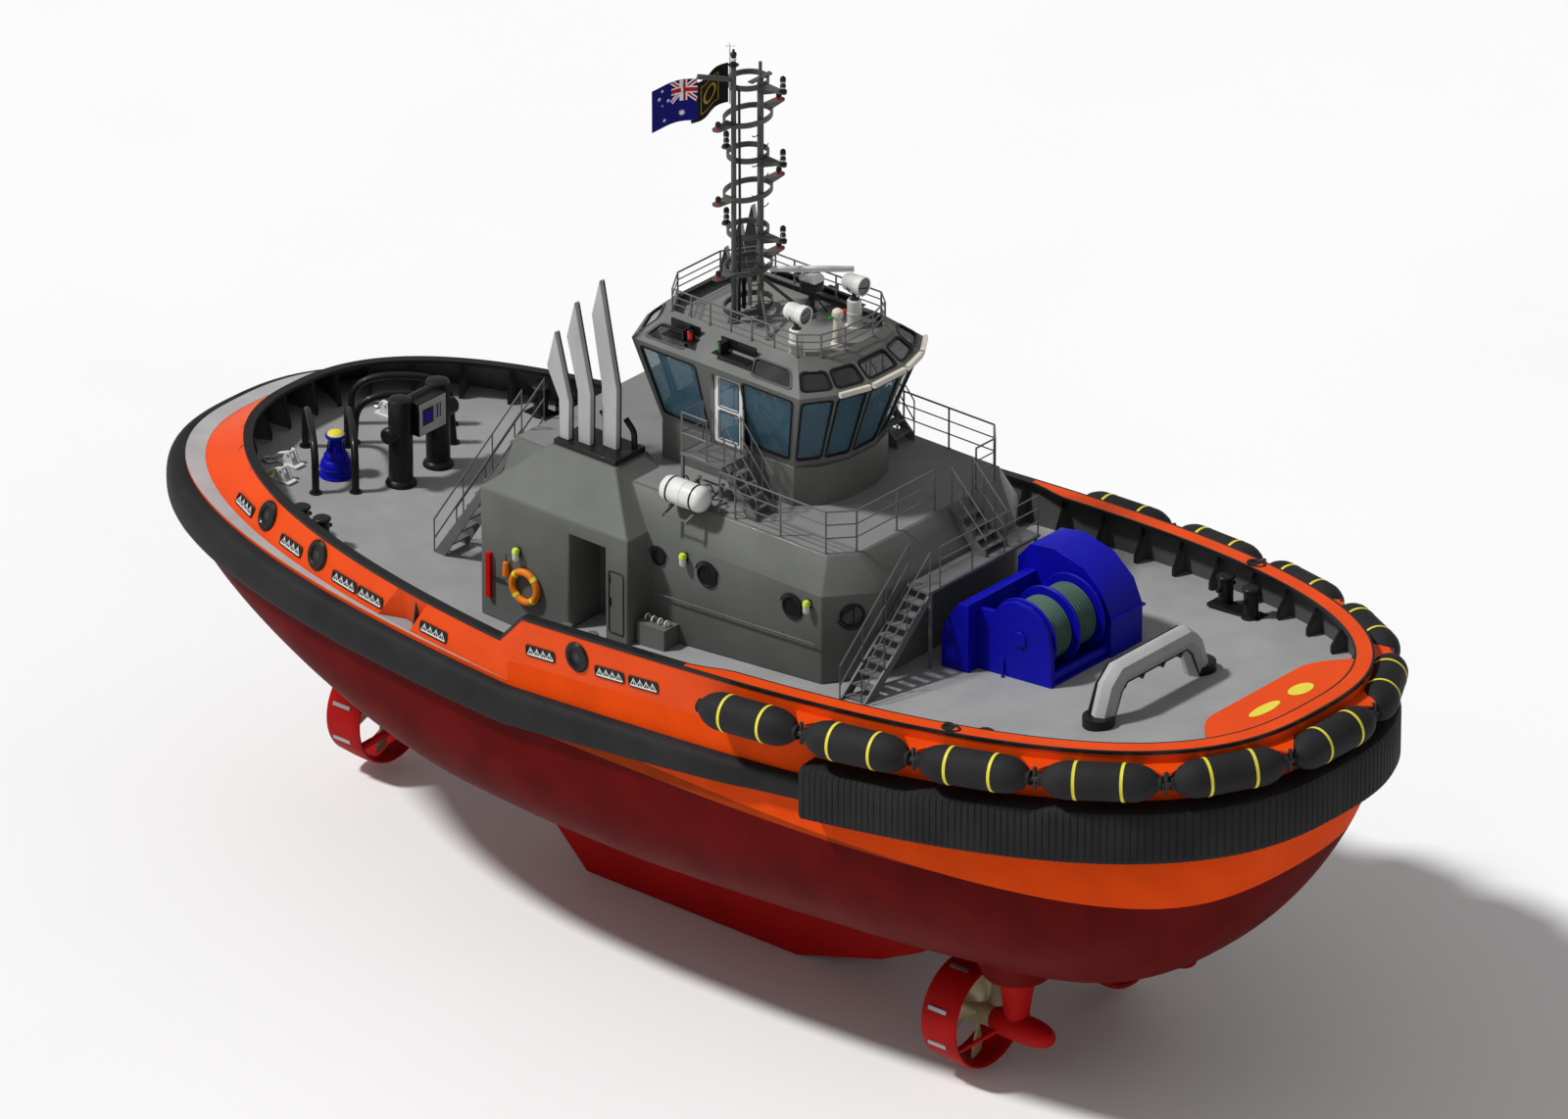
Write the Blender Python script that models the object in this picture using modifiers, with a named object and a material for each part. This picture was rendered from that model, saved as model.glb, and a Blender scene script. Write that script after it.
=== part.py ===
"""Three-thruster harbour tug with hull, fenders, deckhouse, wheelhouse, mast, deck gear and nozzle thrusters.

Metres. +X forward, +Y to port, +Z up. The origin is amidships on the centreline, at the waterline.
"""

import math

import bmesh
import bpy
from mathutils import Euler, Matrix, Vector

GAP = 0.0003
SIDES = (("stbd", -1), ("port", 1))

# Hull: a deck edge of two superellipse halves, over sections that fill out amidships.
HULL_AFT = 16.4
HULL_FORE = 15.0
HULL_HALF = 6.05
HULL_AFT_POWER = 2.6
HULL_FORE_POWER = 2.7
KEEL_Z = -3.2
KEEL_RISE_FORE_X = 9.0
KEEL_RISE_FORE_POWER = 3.1
KEEL_RISE_AFT_X = -5.5
KEEL_RISE_AFT_POWER = 1.6
SECTION_POWER_MID = 3.2
SECTION_POWER_END = 2.1
SECTION_STEPS = 6

# Decks: the aft deck rises towards the stern, and the raised foredeck rises towards the bow.
DECK_STEP_X = -3.0
AFT_DECK_Z = 1.38
AFT_DECK_SLOPE = -0.035
FORE_DECK_Z = 2.25
FORE_DECK_SLOPE = 0.085

# Fenders
BELT_FORE_X = 5.75
BELT_DEPTH_SIDE = 0.34
BELT_DEPTH_STERN = 0.44
BLOCK_DEPTH = 0.62
BLOCK_BOTTOM_Z = 0.66
BLOCK_TOP_Z = 1.95
STRING_RADIUS = 0.425
STRING_NECK = 0.16
STRING_Z = 2.84
STRING_SLOPE = 0.065
STRING_START_X = 2.9
STRING_COUNT = 13
STRING_STEPS = 40
STRING_OFFSET = STRING_RADIUS + 0.06

# Bulwark
BULWARK_PLATE = 0.07
AFT_BULWARK_HEIGHT = 0.88
AFT_FOOT = (16.0, 6.05, 2.4)
AFT_TOP = (14.77, 5.95, 2.4)
CAP_Z = 3.374
CAP_SLOPE = 0.0675
CAP_THICK = 0.08
CAP_WIDTH_FORE = 0.42
CAP_WIDTH_AFT = 0.2
CAP_LIP = 0.02
STEP_START_X = -3.7
STEP_END_X = -2.55

# Superstructure levels
KNUCKLE_Z = 4.7
TOP_DECK_Z = 5.5
SILL_Z = 6.45
BROW_Z = 8.5
BAND_TOP_Z = 9.1
ROOF_Z = 8.83
ROOF_THICK = 0.06
SHELL_THICK = 0.07

# Thrusters: three like units, each with a pod ahead of a nozzle.
THRUSTERS = {"stbd": (8.65, -2.45), "port": (8.65, 2.45), "aft": (-11.05, 0.0)}
SHAFT_Z = -4.55
NOZZLE_AFT_OF_AXIS = 1.23
NOZZLE_LENGTH = 1.02
NOZZLE_OUTER = 1.25
NOZZLE_INNER = 1.13
PAD_RADIUS = 0.78
PAD_BOTTOM_Z = -3.22
STRUT_RADIUS = 0.46

# Deck machinery
WINCH_AXIS = (7.3, 3.86)
STAPLE_X = 10.3
BITT_X = -10.93
CAPSTAN = (-12.27, -1.32)

# Colours: linear red, green and blue, then roughness and metallic
FINISHES = {
    "hull_red": (0.23, 0.0, 0.0, 0.45, 0.0),
    "orange": (0.85, 0.09, 0.0, 0.45, 0.0),
    "rubber": (0.008, 0.008, 0.008, 0.75, 0.0),
    "deck_grey": (0.30, 0.30, 0.30, 0.7, 0.0),
    "house_grey": (0.13, 0.14, 0.13, 0.5, 0.0),
    "rail_grey": (0.12, 0.12, 0.12, 0.5, 0.0),
    "white": (0.6, 0.6, 0.6, 0.4, 0.0),
    "blue": (0.0, 0.0, 0.27, 0.4, 0.0),
    "black": (0.006, 0.006, 0.006, 0.45, 0.0),
    "rope": (0.10, 0.15, 0.14, 0.8, 0.0),
    "bronze": (0.30, 0.24, 0.12, 0.35, 1.0),
    "light_grey": (0.38, 0.38, 0.38, 0.5, 0.0),
    "flag_blue": (0.0, 0.0, 0.2, 0.8, 0.0),
    "flag_black": (0.004, 0.004, 0.004, 0.8, 0.0),
    "cabin": (0.05, 0.06, 0.07, 0.6, 0.0),
}


def clear_scene():
    for obj in list(bpy.data.objects):
        bpy.data.objects.remove(obj, do_unlink=True)
    for name in ("Tugboat", "Cutters"):
        bpy.context.scene.collection.children.link(bpy.data.collections.new(name))


def material(name):
    found = bpy.data.materials.get(name)
    if found:
        return found
    made = bpy.data.materials.new(name)
    made.use_nodes = True
    shader = made.node_tree.nodes["Principled BSDF"]
    red, green, blue, rough, metal = FINISHES[name]
    shader.inputs["Base Color"].default_value = (red, green, blue, 1.0)
    shader.inputs["Roughness"].default_value = rough
    shader.inputs["Metallic"].default_value = metal
    made.diffuse_color = (red, green, blue, 1.0)
    return made


# Shapes. Each function returns a plain mesh, which fuse() joins, cuts and names.


def mesh_of(shape):
    """The finished mesh of a bmesh: doubles merged and faces turned outwards."""
    bmesh.ops.remove_doubles(shape, verts=shape.verts, dist=1e-5)
    bmesh.ops.recalc_face_normals(shape, faces=shape.faces)
    mesh = bpy.data.meshes.new("shape")
    shape.to_mesh(mesh)
    shape.free()
    return mesh


def evaluated(obj):
    """The evaluated mesh of a helper object, in world space. The helper is removed."""
    bpy.context.scene.collection.objects.link(obj)
    bpy.context.view_layer.update()
    graph = bpy.context.evaluated_depsgraph_get()
    mesh = bpy.data.meshes.new_from_object(obj.evaluated_get(graph), depsgraph=graph)
    shape = bmesh.new()
    shape.from_mesh(mesh)
    shape.transform(obj.matrix_world)
    bpy.data.objects.remove(obj, do_unlink=True)
    bpy.data.meshes.remove(mesh)
    return mesh_of(shape)


def moved(mesh, offset=(0.0, 0.0, 0.0), turn=(0.0, 0.0, 0.0)):
    """The same mesh turned by Euler angles in degrees, then moved."""
    turned_by = Euler([math.radians(angle) for angle in turn]).to_matrix().to_4x4()
    mesh.transform(Matrix.Translation(offset) @ turned_by)
    return mesh


def mirrored(mesh):
    """A copy of the mesh on the other side of the centreline."""
    shape = bmesh.new()
    shape.from_mesh(mesh)
    shape.transform(Matrix.Diagonal((1.0, -1.0, 1.0, 1.0)))
    return mesh_of(shape)


def box(low, high):
    shape = bmesh.new()
    low, high = Vector(low), Vector(high)
    place = Matrix.Translation((low + high) / 2) @ Matrix.Diagonal((*(high - low), 1.0))
    bmesh.ops.create_cube(shape, size=1.0, matrix=place)
    return mesh_of(shape)


def cylinder(start, end, radius, sides=12, end_radius=None):
    """A cylinder or cone between two points."""
    start, end = Vector(start), Vector(end)
    along = end - start
    turn = Vector((0, 0, 1)).rotation_difference(along).to_matrix().to_4x4()
    place = Matrix.Translation((start + end) / 2) @ turn
    shape = bmesh.new()
    bmesh.ops.create_cone(
        shape,
        cap_ends=True,
        segments=sides,
        radius1=radius,
        radius2=radius if end_radius is None else end_radius,
        depth=along.length,
        matrix=place,
    )
    return mesh_of(shape)


def tube(points, radius, radii=None, cyclic=False, resolution=2):
    """A round tube along a polyline, with a radius factor for each point where the tube swells."""
    curve = bpy.data.curves.new("tube", "CURVE")
    curve.dimensions = "3D"
    curve.bevel_depth = radius
    curve.bevel_resolution = resolution
    curve.use_fill_caps = True
    spline = curve.splines.new("POLY")
    spline.points.add(len(points) - 1)
    for index, point in enumerate(points):
        spline.points[index].co = (*point, 1.0)
        spline.points[index].radius = radii[index] if radii else 1.0
    spline.use_cyclic_u = cyclic
    return evaluated(bpy.data.objects.new("tube", curve))


# A flat outline's own two axes in the world, and the axis that it is extruded along
PLANES = {
    "XY": Matrix.Identity(4),
    "XZ": Matrix(((1, 0, 0, 0), (0, 0, -1, 0), (0, 1, 0, 0), (0, 0, 0, 1))),
    "YZ": Matrix(((0, 0, 1, 0), (1, 0, 0, 0), (0, 1, 0, 0), (0, 0, 0, 1))),
}


def plate(outline, low, high, plane="XY", holes=()):
    """A flat outline with holes, extruded from low to high along the axis that the plane leaves out."""
    curve = bpy.data.curves.new("plate", "CURVE")
    curve.dimensions = "2D"
    curve.fill_mode = "BOTH"
    curve.extrude = (high - low) / 2
    for loop in (outline, *holes):
        spline = curve.splines.new("POLY")
        spline.points.add(len(loop) - 1)
        for index, (across, up) in enumerate(loop):
            spline.points[index].co = (across, up, 0.0, 1.0)
        spline.use_cyclic_u = True
    mesh = evaluated(bpy.data.objects.new("plate", curve))
    middle = (low + high) / 2
    if plane == "XZ":
        middle = -middle
    mesh.transform(PLANES[plane] @ Matrix.Translation((0, 0, middle)))
    return mesh


def turned(profile, centre, axis="Z", steps=16):
    """A profile of (radius, height) points, from the top down the outer side, turned about an axis."""
    mesh = bpy.data.meshes.new("profile")
    closed = profile[0] == profile[-1]
    points = profile[:-1] if closed else profile
    edges = [(i, i + 1) for i in range(len(points) - 1)]
    if closed:
        edges.append((len(points) - 1, 0))
    mesh.from_pydata([(radius, 0.0, height) for radius, height in points], edges, [])
    obj = bpy.data.objects.new("profile", mesh)
    screw = obj.modifiers.new("turn", "SCREW")
    screw.steps = steps
    screw.render_steps = steps
    screw.use_merge_vertices = True
    screw.merge_threshold = 0.0001
    turn = {"Z": (0, 0, 0), "X": (0, 90, 0), "Y": (-90, 0, 0)}[axis]
    return moved(evaluated(obj), centre, turn)


def loft(rings, loop=False):
    """A skin over rings of equal count, closed on itself or capped at both ends."""
    shape = bmesh.new()
    rows = [[shape.verts.new(point) for point in ring] for ring in rings]
    pairs = list(zip(rows, rows[1:]))
    if loop:
        pairs.append((rows[-1], rows[0]))
    for one, two in pairs:
        for i in range(len(one)):
            j = (i + 1) % len(one)
            shape.faces.new((one[i], one[j], two[j], two[i]))
    if not loop:
        shape.faces.new(rows[0])
        shape.faces.new(rows[-1])
    return mesh_of(shape)


def railing(path, heights, radius, cyclic=False):
    """Bars along a path of post feet: one bar at each height, and a post at each point of the path."""
    shape = bmesh.new()
    lift = Vector((0, 0, radius + GAP))
    row = [shape.verts.new(Vector(point) + lift) for point in path]
    count = len(row) if cyclic else len(row) - 1
    edges = [shape.edges.new((row[i], row[(i + 1) % len(row)])) for i in range(count)]
    below = 0.0
    for height in heights:
        made = bmesh.ops.extrude_edge_only(shape, edges=edges)["geom"]
        points = [item for item in made if isinstance(item, bmesh.types.BMVert)]
        edges = [item for item in made if isinstance(item, bmesh.types.BMEdge)]
        bmesh.ops.translate(shape, verts=points, vec=(0, 0, height - below - (radius if below == 0 else 0)))
        below = height
    bmesh.ops.recalc_face_normals(shape, faces=shape.faces)
    mesh = bpy.data.meshes.new("rail")
    shape.to_mesh(mesh)
    shape.free()
    obj = bpy.data.objects.new("rail", mesh)
    bars = obj.modifiers.new("bars", "WIREFRAME")
    bars.thickness = 2 * radius
    bars.use_boundary = True
    bars.use_replace = True
    bars.use_even_offset = True
    return evaluated(obj)


def helper(mesh, group):
    obj = bpy.data.objects.new("helper", mesh)
    obj.hide_render = True
    obj.display_type = "WIRE"
    group.objects.link(obj)
    return obj


def fuse(name, shapes, finish, cuts=(), origin=(0.0, 0.0, 0.0)):
    """One named solid: the shapes joined, the cuts taken out, and its origin on its joint's axis."""
    obj = bpy.data.objects.new(name, shapes[0])
    bpy.data.collections["Tugboat"].objects.link(obj)
    for operation, meshes in (("UNION", shapes[1:]), ("DIFFERENCE", cuts)):
        if not meshes:
            continue
        group = bpy.data.collections.new(operation)
        bpy.data.collections["Cutters"].children.link(group)
        for mesh in meshes:
            helper(mesh, group)
        boolean = obj.modifiers.new(operation, "BOOLEAN")
        boolean.operation = operation
        boolean.operand_type = "COLLECTION"
        boolean.collection = group
        boolean.solver = "EXACT"
    bpy.context.view_layer.update()
    graph = bpy.context.evaluated_depsgraph_get()
    result = bpy.data.meshes.new_from_object(obj.evaluated_get(graph), depsgraph=graph)
    obj.modifiers.clear()
    for group in list(bpy.data.collections["Cutters"].children):
        for used in list(group.objects):
            bpy.data.objects.remove(used, do_unlink=True)
        bpy.data.collections.remove(group)
    result.name = name
    result.transform(Matrix.Translation(-Vector(origin)))
    result.materials.clear()
    result.materials.append(material(finish))
    result.shade_smooth()
    result.set_sharp_from_angle(angle=math.radians(35))
    obj.data = result
    obj.location = origin
    return obj


# Hull lines


def deck_z(x):
    if x < DECK_STEP_X:
        return AFT_DECK_Z + AFT_DECK_SLOPE * x
    return FORE_DECK_Z + FORE_DECK_SLOPE * x


def belt_z(x):
    """Centre height of the side belt."""
    return 0.815 - 0.035 * x if x < DECK_STEP_X else 1.175 + 0.085 * x


def belt_half(x):
    if x < DECK_STEP_X:
        return 0.52 - 0.06 * (x + HULL_AFT) / (HULL_AFT + DECK_STEP_X)
    return 0.46 - 0.18 * (x - DECK_STEP_X) / (BELT_FORE_X - DECK_STEP_X)


def side_foot_z(x):
    """Where the upright hull side ends and the bilge starts."""
    return belt_z(x) - 0.5 if x < BELT_FORE_X else 0.60 + 0.085 * x


def keel_z(x):
    if x > KEEL_RISE_FORE_X:
        end = side_foot_z(HULL_FORE)
        share = (x - KEEL_RISE_FORE_X) / (HULL_FORE - KEEL_RISE_FORE_X)
        return KEEL_Z + (end - KEEL_Z) * share**KEEL_RISE_FORE_POWER
    if x < KEEL_RISE_AFT_X:
        end = side_foot_z(-HULL_AFT)
        share = (KEEL_RISE_AFT_X - x) / (KEEL_RISE_AFT_X + HULL_AFT)
        return KEEL_Z + (end - KEEL_Z) * share**KEEL_RISE_AFT_POWER
    return KEEL_Z


def cap_z(x):
    """Height of the bulwark's top, which steps up from the aft deck to the foredeck."""
    aft = deck_z(min(x, DECK_STEP_X - GAP)) + AFT_BULWARK_HEIGHT
    fore = CAP_Z + CAP_SLOPE * x
    return aft + (fore - aft) * step_share(x)


def step_share(x):
    """0 on the aft bulwark, 1 on the fore bulwark, and between them in the step."""
    return min(1.0, max(0.0, (x - STEP_START_X) / (STEP_END_X - STEP_START_X)))


def ellipse(angle, length, half, power):
    """A point of a superellipse half: x forward, and the half breadth there."""
    along = abs(math.sin(angle)) ** (2 / power) * length
    across = abs(math.cos(angle)) ** (2 / power) * half
    return along, across


def station_angle(x):
    length, power = (HULL_FORE, HULL_FORE_POWER) if x > 0 else (HULL_AFT, HULL_AFT_POWER)
    return math.copysign(math.asin((abs(x) / length) ** (power / 2)), x)


def edge_point(angle):
    """Deck edge point to port at a station angle, and the outward normal there."""
    fore = angle > 0
    length = HULL_FORE if fore else HULL_AFT
    power = HULL_FORE_POWER if fore else HULL_AFT_POWER
    along, across = ellipse(angle, length, HULL_HALF, power)
    if across < 1e-6:
        across = 0.0
    way = 1 if fore else -1
    slope_x = way * along ** (power - 1) / length**power
    slope_y = across ** (power - 1) / HULL_HALF**power
    normal = Vector((slope_x, slope_y, 0.0))
    return Vector((way * along, across, 0.0)), normal.normalized()


STATION_STEP = 8.2
EXTRA_STATIONS = (
    DECK_STEP_X - 0.005,
    DECK_STEP_X + 0.005,
    STEP_START_X,
    STEP_END_X,
    STRING_START_X,
    BELT_FORE_X - GAP,
    BELT_FORE_X,
)


def station_angles():
    """Angles from the stern's to the bow's middle: even steps, and the stations where a piece begins."""
    count = round(90 / STATION_STEP)
    even = [math.radians(90 * i / count) for i in range(-count, count + 1)]
    extra = [station_angle(x) for x in EXTRA_STATIONS]
    kept = [angle for angle in even if all(abs(angle - other) > 0.045 for other in extra)]
    return sorted(kept + extra)


ANGLES = station_angles()


def round_the_edge(first_x=-100.0, last_x=100.0):
    """Deck edge points and normals clockwise from above, from the stern past starboard and back to port."""
    port = [edge_point(angle) for angle in ANGLES]
    port = [(point, normal) for point, normal in port if first_x <= point.x <= last_x]
    flip = Vector((1, -1, 1))
    starboard = [(point * flip, normal * flip) for point, normal in port]
    back = [pair for pair in reversed(port) if pair[0].y > 1e-4]
    return starboard, back


def hull_section(x, half):
    """Half section points from the deck edge to the keel, as (half breadth, height)."""
    top, keel = side_foot_z(x), keel_z(x)
    power = SECTION_POWER_MID + (SECTION_POWER_END - SECTION_POWER_MID) * min(1.0, abs(x) / HULL_AFT)
    points = [(half, deck_z(x)), (half, top)]
    for step in range(1, SECTION_STEPS + 1):
        angle = math.pi / 2 * step / SECTION_STEPS
        across = abs(math.cos(angle)) ** (2 / power) * half
        drop = math.sin(angle) ** (2 / power) * (top - keel)
        points.append((0.0 if step == SECTION_STEPS else across, top - drop))
    return points


def hull_rings():
    rings = []
    for angle in ANGLES:
        point, _ = edge_point(angle)
        half = hull_section(point.x, point.y)
        port = [(point.x, across, height) for across, height in half]
        starboard = [(x, -across, height) for x, across, height in reversed(port[:-1])]
        rings.append(port + starboard)
    return rings


def hull_skin(drop=0.0):
    """The hull's closed skin, with its two ends drawn to upright lines."""
    shape = bmesh.new()
    down = Vector((0, 0, drop))
    rows = [[shape.verts.new(Vector(point) - down) for point in ring] for ring in hull_rings()]
    for one, two in zip(rows, rows[1:]):
        for i in range(len(one)):
            j = (i + 1) % len(one)
            shape.faces.new((one[i], one[j], two[j], two[i]))
    bmesh.ops.remove_doubles(shape, verts=shape.verts, dist=1e-5)
    bmesh.ops.triangulate(shape, faces=shape.faces)
    return mesh_of(shape)


def below_deck():
    """Everything under both decks, as a cutter that leaves a hair's gap over the deck."""
    far = 20.0
    step_aft = DECK_STEP_X - 0.005
    outline = [
        (-far, -8.0),
        (far, -8.0),
        (far, FORE_DECK_Z + FORE_DECK_SLOPE * far + GAP),
        (step_aft - GAP, deck_z(DECK_STEP_X) + GAP),
        (step_aft - GAP, AFT_DECK_Z + AFT_DECK_SLOPE * step_aft + GAP),
        (-far, AFT_DECK_Z - AFT_DECK_SLOPE * far + GAP),
    ]
    return plate(outline, -8.0, 8.0, "XZ")


def build_hull():
    pads = []
    for x, y in THRUSTERS.values():
        top = keel_z(x) + 0.9
        flare = PAD_RADIUS + 0.35 * (top - PAD_BOTTOM_Z)
        pads.append(cylinder((x, y, PAD_BOTTOM_Z), (x, y, top), PAD_RADIUS, 16, flare))
    fuse("hull", [hull_skin(), *pads], "hull_red")


# Keel box outline as (x, z)
KEEL_BOX = (
    (-8.2, -2.6),
    (-6.8, -4.5),
    (-5.2, -6.03),
    (1.0, -6.03),
    (3.47, -5.3),
    (4.6, -4.75),
    (5.44, -4.17),
    (6.6, -2.9),
)
KEEL_BOX_HALF = 0.9


def build_keel_box():
    body = plate(KEEL_BOX, -KEEL_BOX_HALF, KEEL_BOX_HALF, "XZ")
    fuse("keel_box", [body], "hull_red", cuts=[hull_skin(GAP)])


def section_ring(point, normal, section):
    """A ring of (outward, height) pairs at a deck edge point."""
    return [point + normal * outward + Vector((0, 0, height)) for outward, height in section]


def build_belt():
    starboard, port = round_the_edge(last_x=BELT_FORE_X - GAP / 2)
    rings = []
    for point, normal in [*reversed(starboard), *reversed(port)]:
        centre, half = belt_z(point.x), belt_half(point.x)
        share = min(1.0, max(0.0, (-6.0 - point.x) / 8.0))
        depth = BELT_DEPTH_SIDE + (BELT_DEPTH_STERN - BELT_DEPTH_SIDE) * share
        if point.x > 4.0:
            depth *= 0.75
        section = (
            (GAP, centre - half),
            (GAP, centre + half),
            (0.62 * depth, centre + half),
            (depth, centre + 0.5 * half),
            (depth, centre - 0.5 * half),
            (0.62 * depth, centre - half),
        )
        rings.append(section_ring(point, normal, section))
    fuse("belt_fender", [loft(rings)], "rubber")


def build_block():
    starboard, port = round_the_edge(first_x=BELT_FORE_X - GAP / 2)
    rings = []
    for point, normal in [*starboard, *port]:
        low = BLOCK_BOTTOM_Z + 0.085 * point.x
        high = BLOCK_TOP_Z + 0.085 * point.x
        section = (
            (GAP, low),
            (GAP, high),
            (BLOCK_DEPTH - 0.1, high),
            (BLOCK_DEPTH, high - 0.12),
            (BLOCK_DEPTH, low + 0.12),
            (BLOCK_DEPTH - 0.1, low),
        )
        rings.append(section_ring(point, normal, section))
    fuse("bow_fender_block", [loft(rings)], "rubber")


def string_path():
    """The fender string's centre line as a fine polyline with its running length."""
    start = station_angle(STRING_START_X)
    angles = [start + (math.pi / 2 - start) * step / STRING_STEPS for step in range(STRING_STEPS + 1)]
    port = [edge_point(angle) for angle in angles]
    nodes = [point + normal * STRING_OFFSET for point, normal in port]
    nodes = [Vector((node.x, -node.y, 0)) for node in nodes] + list(reversed(nodes[:-1]))
    nodes = [Vector((node.x, node.y, STRING_Z + STRING_SLOPE * node.x)) for node in nodes]
    lengths = [0.0]
    for one, two in zip(nodes, nodes[1:]):
        lengths.append(lengths[-1] + (two - one).length)
    return nodes, lengths


def at_length(nodes, lengths, distance):
    distance = min(max(distance, 0.0), lengths[-1])
    for i in range(len(nodes) - 1):
        if distance <= lengths[i + 1]:
            share = (distance - lengths[i]) / (lengths[i + 1] - lengths[i])
            return nodes[i].lerp(nodes[i + 1], share)
    return nodes[-1]


# One cylinder of the string: share of its pitch, and radius
STRING_FORM = (
    (0.03, STRING_NECK),
    (0.12, 0.36),
    (0.22, STRING_RADIUS),
    (0.78, STRING_RADIUS),
    (0.88, 0.36),
    (0.97, STRING_NECK),
)


def build_string():
    nodes, lengths = string_path()
    pitch = lengths[-1] / STRING_COUNT
    points, radii = [], []
    for index in range(STRING_COUNT):
        for share, radius in STRING_FORM:
            points.append(at_length(nodes, lengths, (index + share) * pitch))
            radii.append(radius / STRING_RADIUS)
    fuse("bow_fender_string", [tube(points, STRING_RADIUS, radii)], "rubber")


def line_point(edge, length, half, power):
    """The point of an aft bulwark line that matches a deck edge point, by its share of the length."""
    share = min(1.0, -edge.x / HULL_AFT)
    return Vector((-share * length, half * (1 - share**power) ** (1 / power), 0.0))


def bulwark_lines(angle):
    """Outer foot and outer top of the bulwark to port at a station angle, with the outward normal."""
    edge, normal = edge_point(angle)
    foot, top = edge.copy(), edge.copy()
    if edge.x < 0:
        share = step_share(edge.x)
        foot = line_point(edge, *AFT_FOOT).lerp(edge, share)
        top = line_point(edge, *AFT_TOP).lerp(edge, share)
    foot.z = deck_z(edge.x) + GAP
    if edge.x < DECK_STEP_X:
        foot.z = AFT_DECK_Z + AFT_DECK_SLOPE * foot.x + GAP
    top.z = cap_z(edge.x)
    return foot, top, normal


def bulwark_ring(angle):
    foot, top, normal = bulwark_lines(angle)
    width = CAP_WIDTH_AFT + (CAP_WIDTH_FORE - CAP_WIDTH_AFT) * step_share(top.x)
    down = Vector((0, 0, CAP_THICK))
    return [
        foot,
        top - down,
        top + normal * CAP_LIP - down,
        top + normal * CAP_LIP,
        top - normal * width,
        top - normal * width - down,
        top - normal * BULWARK_PLATE - down,
        foot - normal * BULWARK_PLATE,
    ]


BRACKET_PITCH = 1.2
BRACKET_THICK = 0.03
BRACKET_DEPTH = 0.45


def bracket(foot, top, normal):
    """A triangular stay between the deck and the bulwark, square to the wall."""
    side = Vector((-normal.y, normal.x, 0.0)) * BRACKET_THICK / 2
    lean = (foot - top).dot(normal)
    low = foot - normal * 0.03 - Vector((0, 0, 0.1))
    rise = top.z - foot.z
    share = 1 - (CAP_THICK + 0.05) / rise
    high = foot - normal * (lean * share + 0.03) + Vector((0, 0, rise * share))
    toe = low - normal * max(BRACKET_DEPTH, lean + 0.14)
    shoulder = toe + Vector((0, 0, 0.22))
    crown = high - normal * 0.14
    corners = (low, toe, shoulder, crown, high)
    return loft([[corner - side for corner in corners], [corner + side for corner in corners]])


def brackets():
    """Stays to port, spaced evenly along each straight stretch between two stations."""
    made = []
    lines = [bulwark_lines(angle) for angle in ANGLES]
    for (foot_a, top_a, _), (foot_b, top_b, _) in zip(lines, lines[1:]):
        middle_x = (foot_a.x + foot_b.x) / 2
        stretch = foot_b - foot_a
        count = round(Vector((stretch.x, stretch.y)).length / BRACKET_PITCH)
        if not count or abs(middle_x - DECK_STEP_X) < 0.8:
            continue
        normal = Vector((-stretch.y, stretch.x, 0.0)).normalized()
        for index in range(count):
            share = (index + 0.5) / count
            foot, top = foot_a.lerp(foot_b, share), top_a.lerp(top_b, share)
            if foot.y > 0.2:
                made.append(bracket(foot, top, normal))
    return made


STRING_LUG = 0.05
LUG_SEAT = 0.0006


def string_lugs():
    """Short arms from the bulwark that carry the fender string at the neck before each cylinder."""
    nodes, lengths = string_path()
    pitch = lengths[-1] / STRING_COUNT
    neck = STRING_FORM[0][0]
    made = []
    for index in range(1, STRING_COUNT):
        before = at_length(nodes, lengths, (index - neck) * pitch)
        after = at_length(nodes, lengths, (index + neck) * pitch)
        middle = (before + after) / 2
        along = (after - before).normalized()
        inward = Vector((-along.y, along.x, 0.0)).normalized()
        root = middle + inward * (STRING_OFFSET + 0.04)
        tip = middle + inward * (STRING_NECK + LUG_SEAT)
        made.append(cylinder(root, tip, STRING_LUG, 6))
    return made


BOW_PLATFORM_AFT_X = 13.2
BOW_PLATFORM_FORE_X = 14.7
BOW_PLATFORM_HALF = 1.5


def build_bulwark():
    port = [bulwark_ring(angle) for angle in ANGLES]
    flip = Vector((1, -1, 1))
    starboard = [[point * flip for point in ring] for ring in port]
    rings = starboard + list(reversed(port[1:-1]))
    wall = loft(rings, loop=True)
    stays = brackets()
    stays += [mirrored(stay) for stay in stays]
    stays += string_lugs()
    aft, fore = cap_z(BOW_PLATFORM_AFT_X), cap_z(BOW_PLATFORM_FORE_X)
    outline = (
        (BOW_PLATFORM_AFT_X, aft - CAP_THICK + 0.01),
        (BOW_PLATFORM_FORE_X, fore - CAP_THICK + 0.01),
        (BOW_PLATFORM_FORE_X, fore - 0.01),
        (BOW_PLATFORM_AFT_X, aft - 0.01),
    )
    platform = plate(outline, -BOW_PLATFORM_HALF, BOW_PLATFORM_HALF, "XZ")
    fuse("bulwark", [wall, platform, *stays], "orange", cuts=[below_deck()])


# Superstructure

HOUSE_AFT_X = -5.5
HOUSE_HALF = 3.34
HOUSE_CORNER = (3.78, 3.34)
HOUSE_NOSE = (4.62, 2.25)
HOUSE_TOP_HALF = 2.92
HOUSE_TOP_CORNER = (3.6, 2.92)
HOUSE_TOP_NOSE = (4.06, 2.42)
CASING_AFT_X = -5.5
CASING_FORE_X = -1.2
CASING_HALF = 4.05
PLINTH_Z = 5.8
PLINTH_AFT_X = -4.25
PLINTH_FORE_X = -2.36
PLINTH_OUTER = 3.12
PLINTH_INNER = 2.0
PASSAGE = ((-2.9, -5.0, 1.0), (-1.85, -3.0, 4.35))


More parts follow.
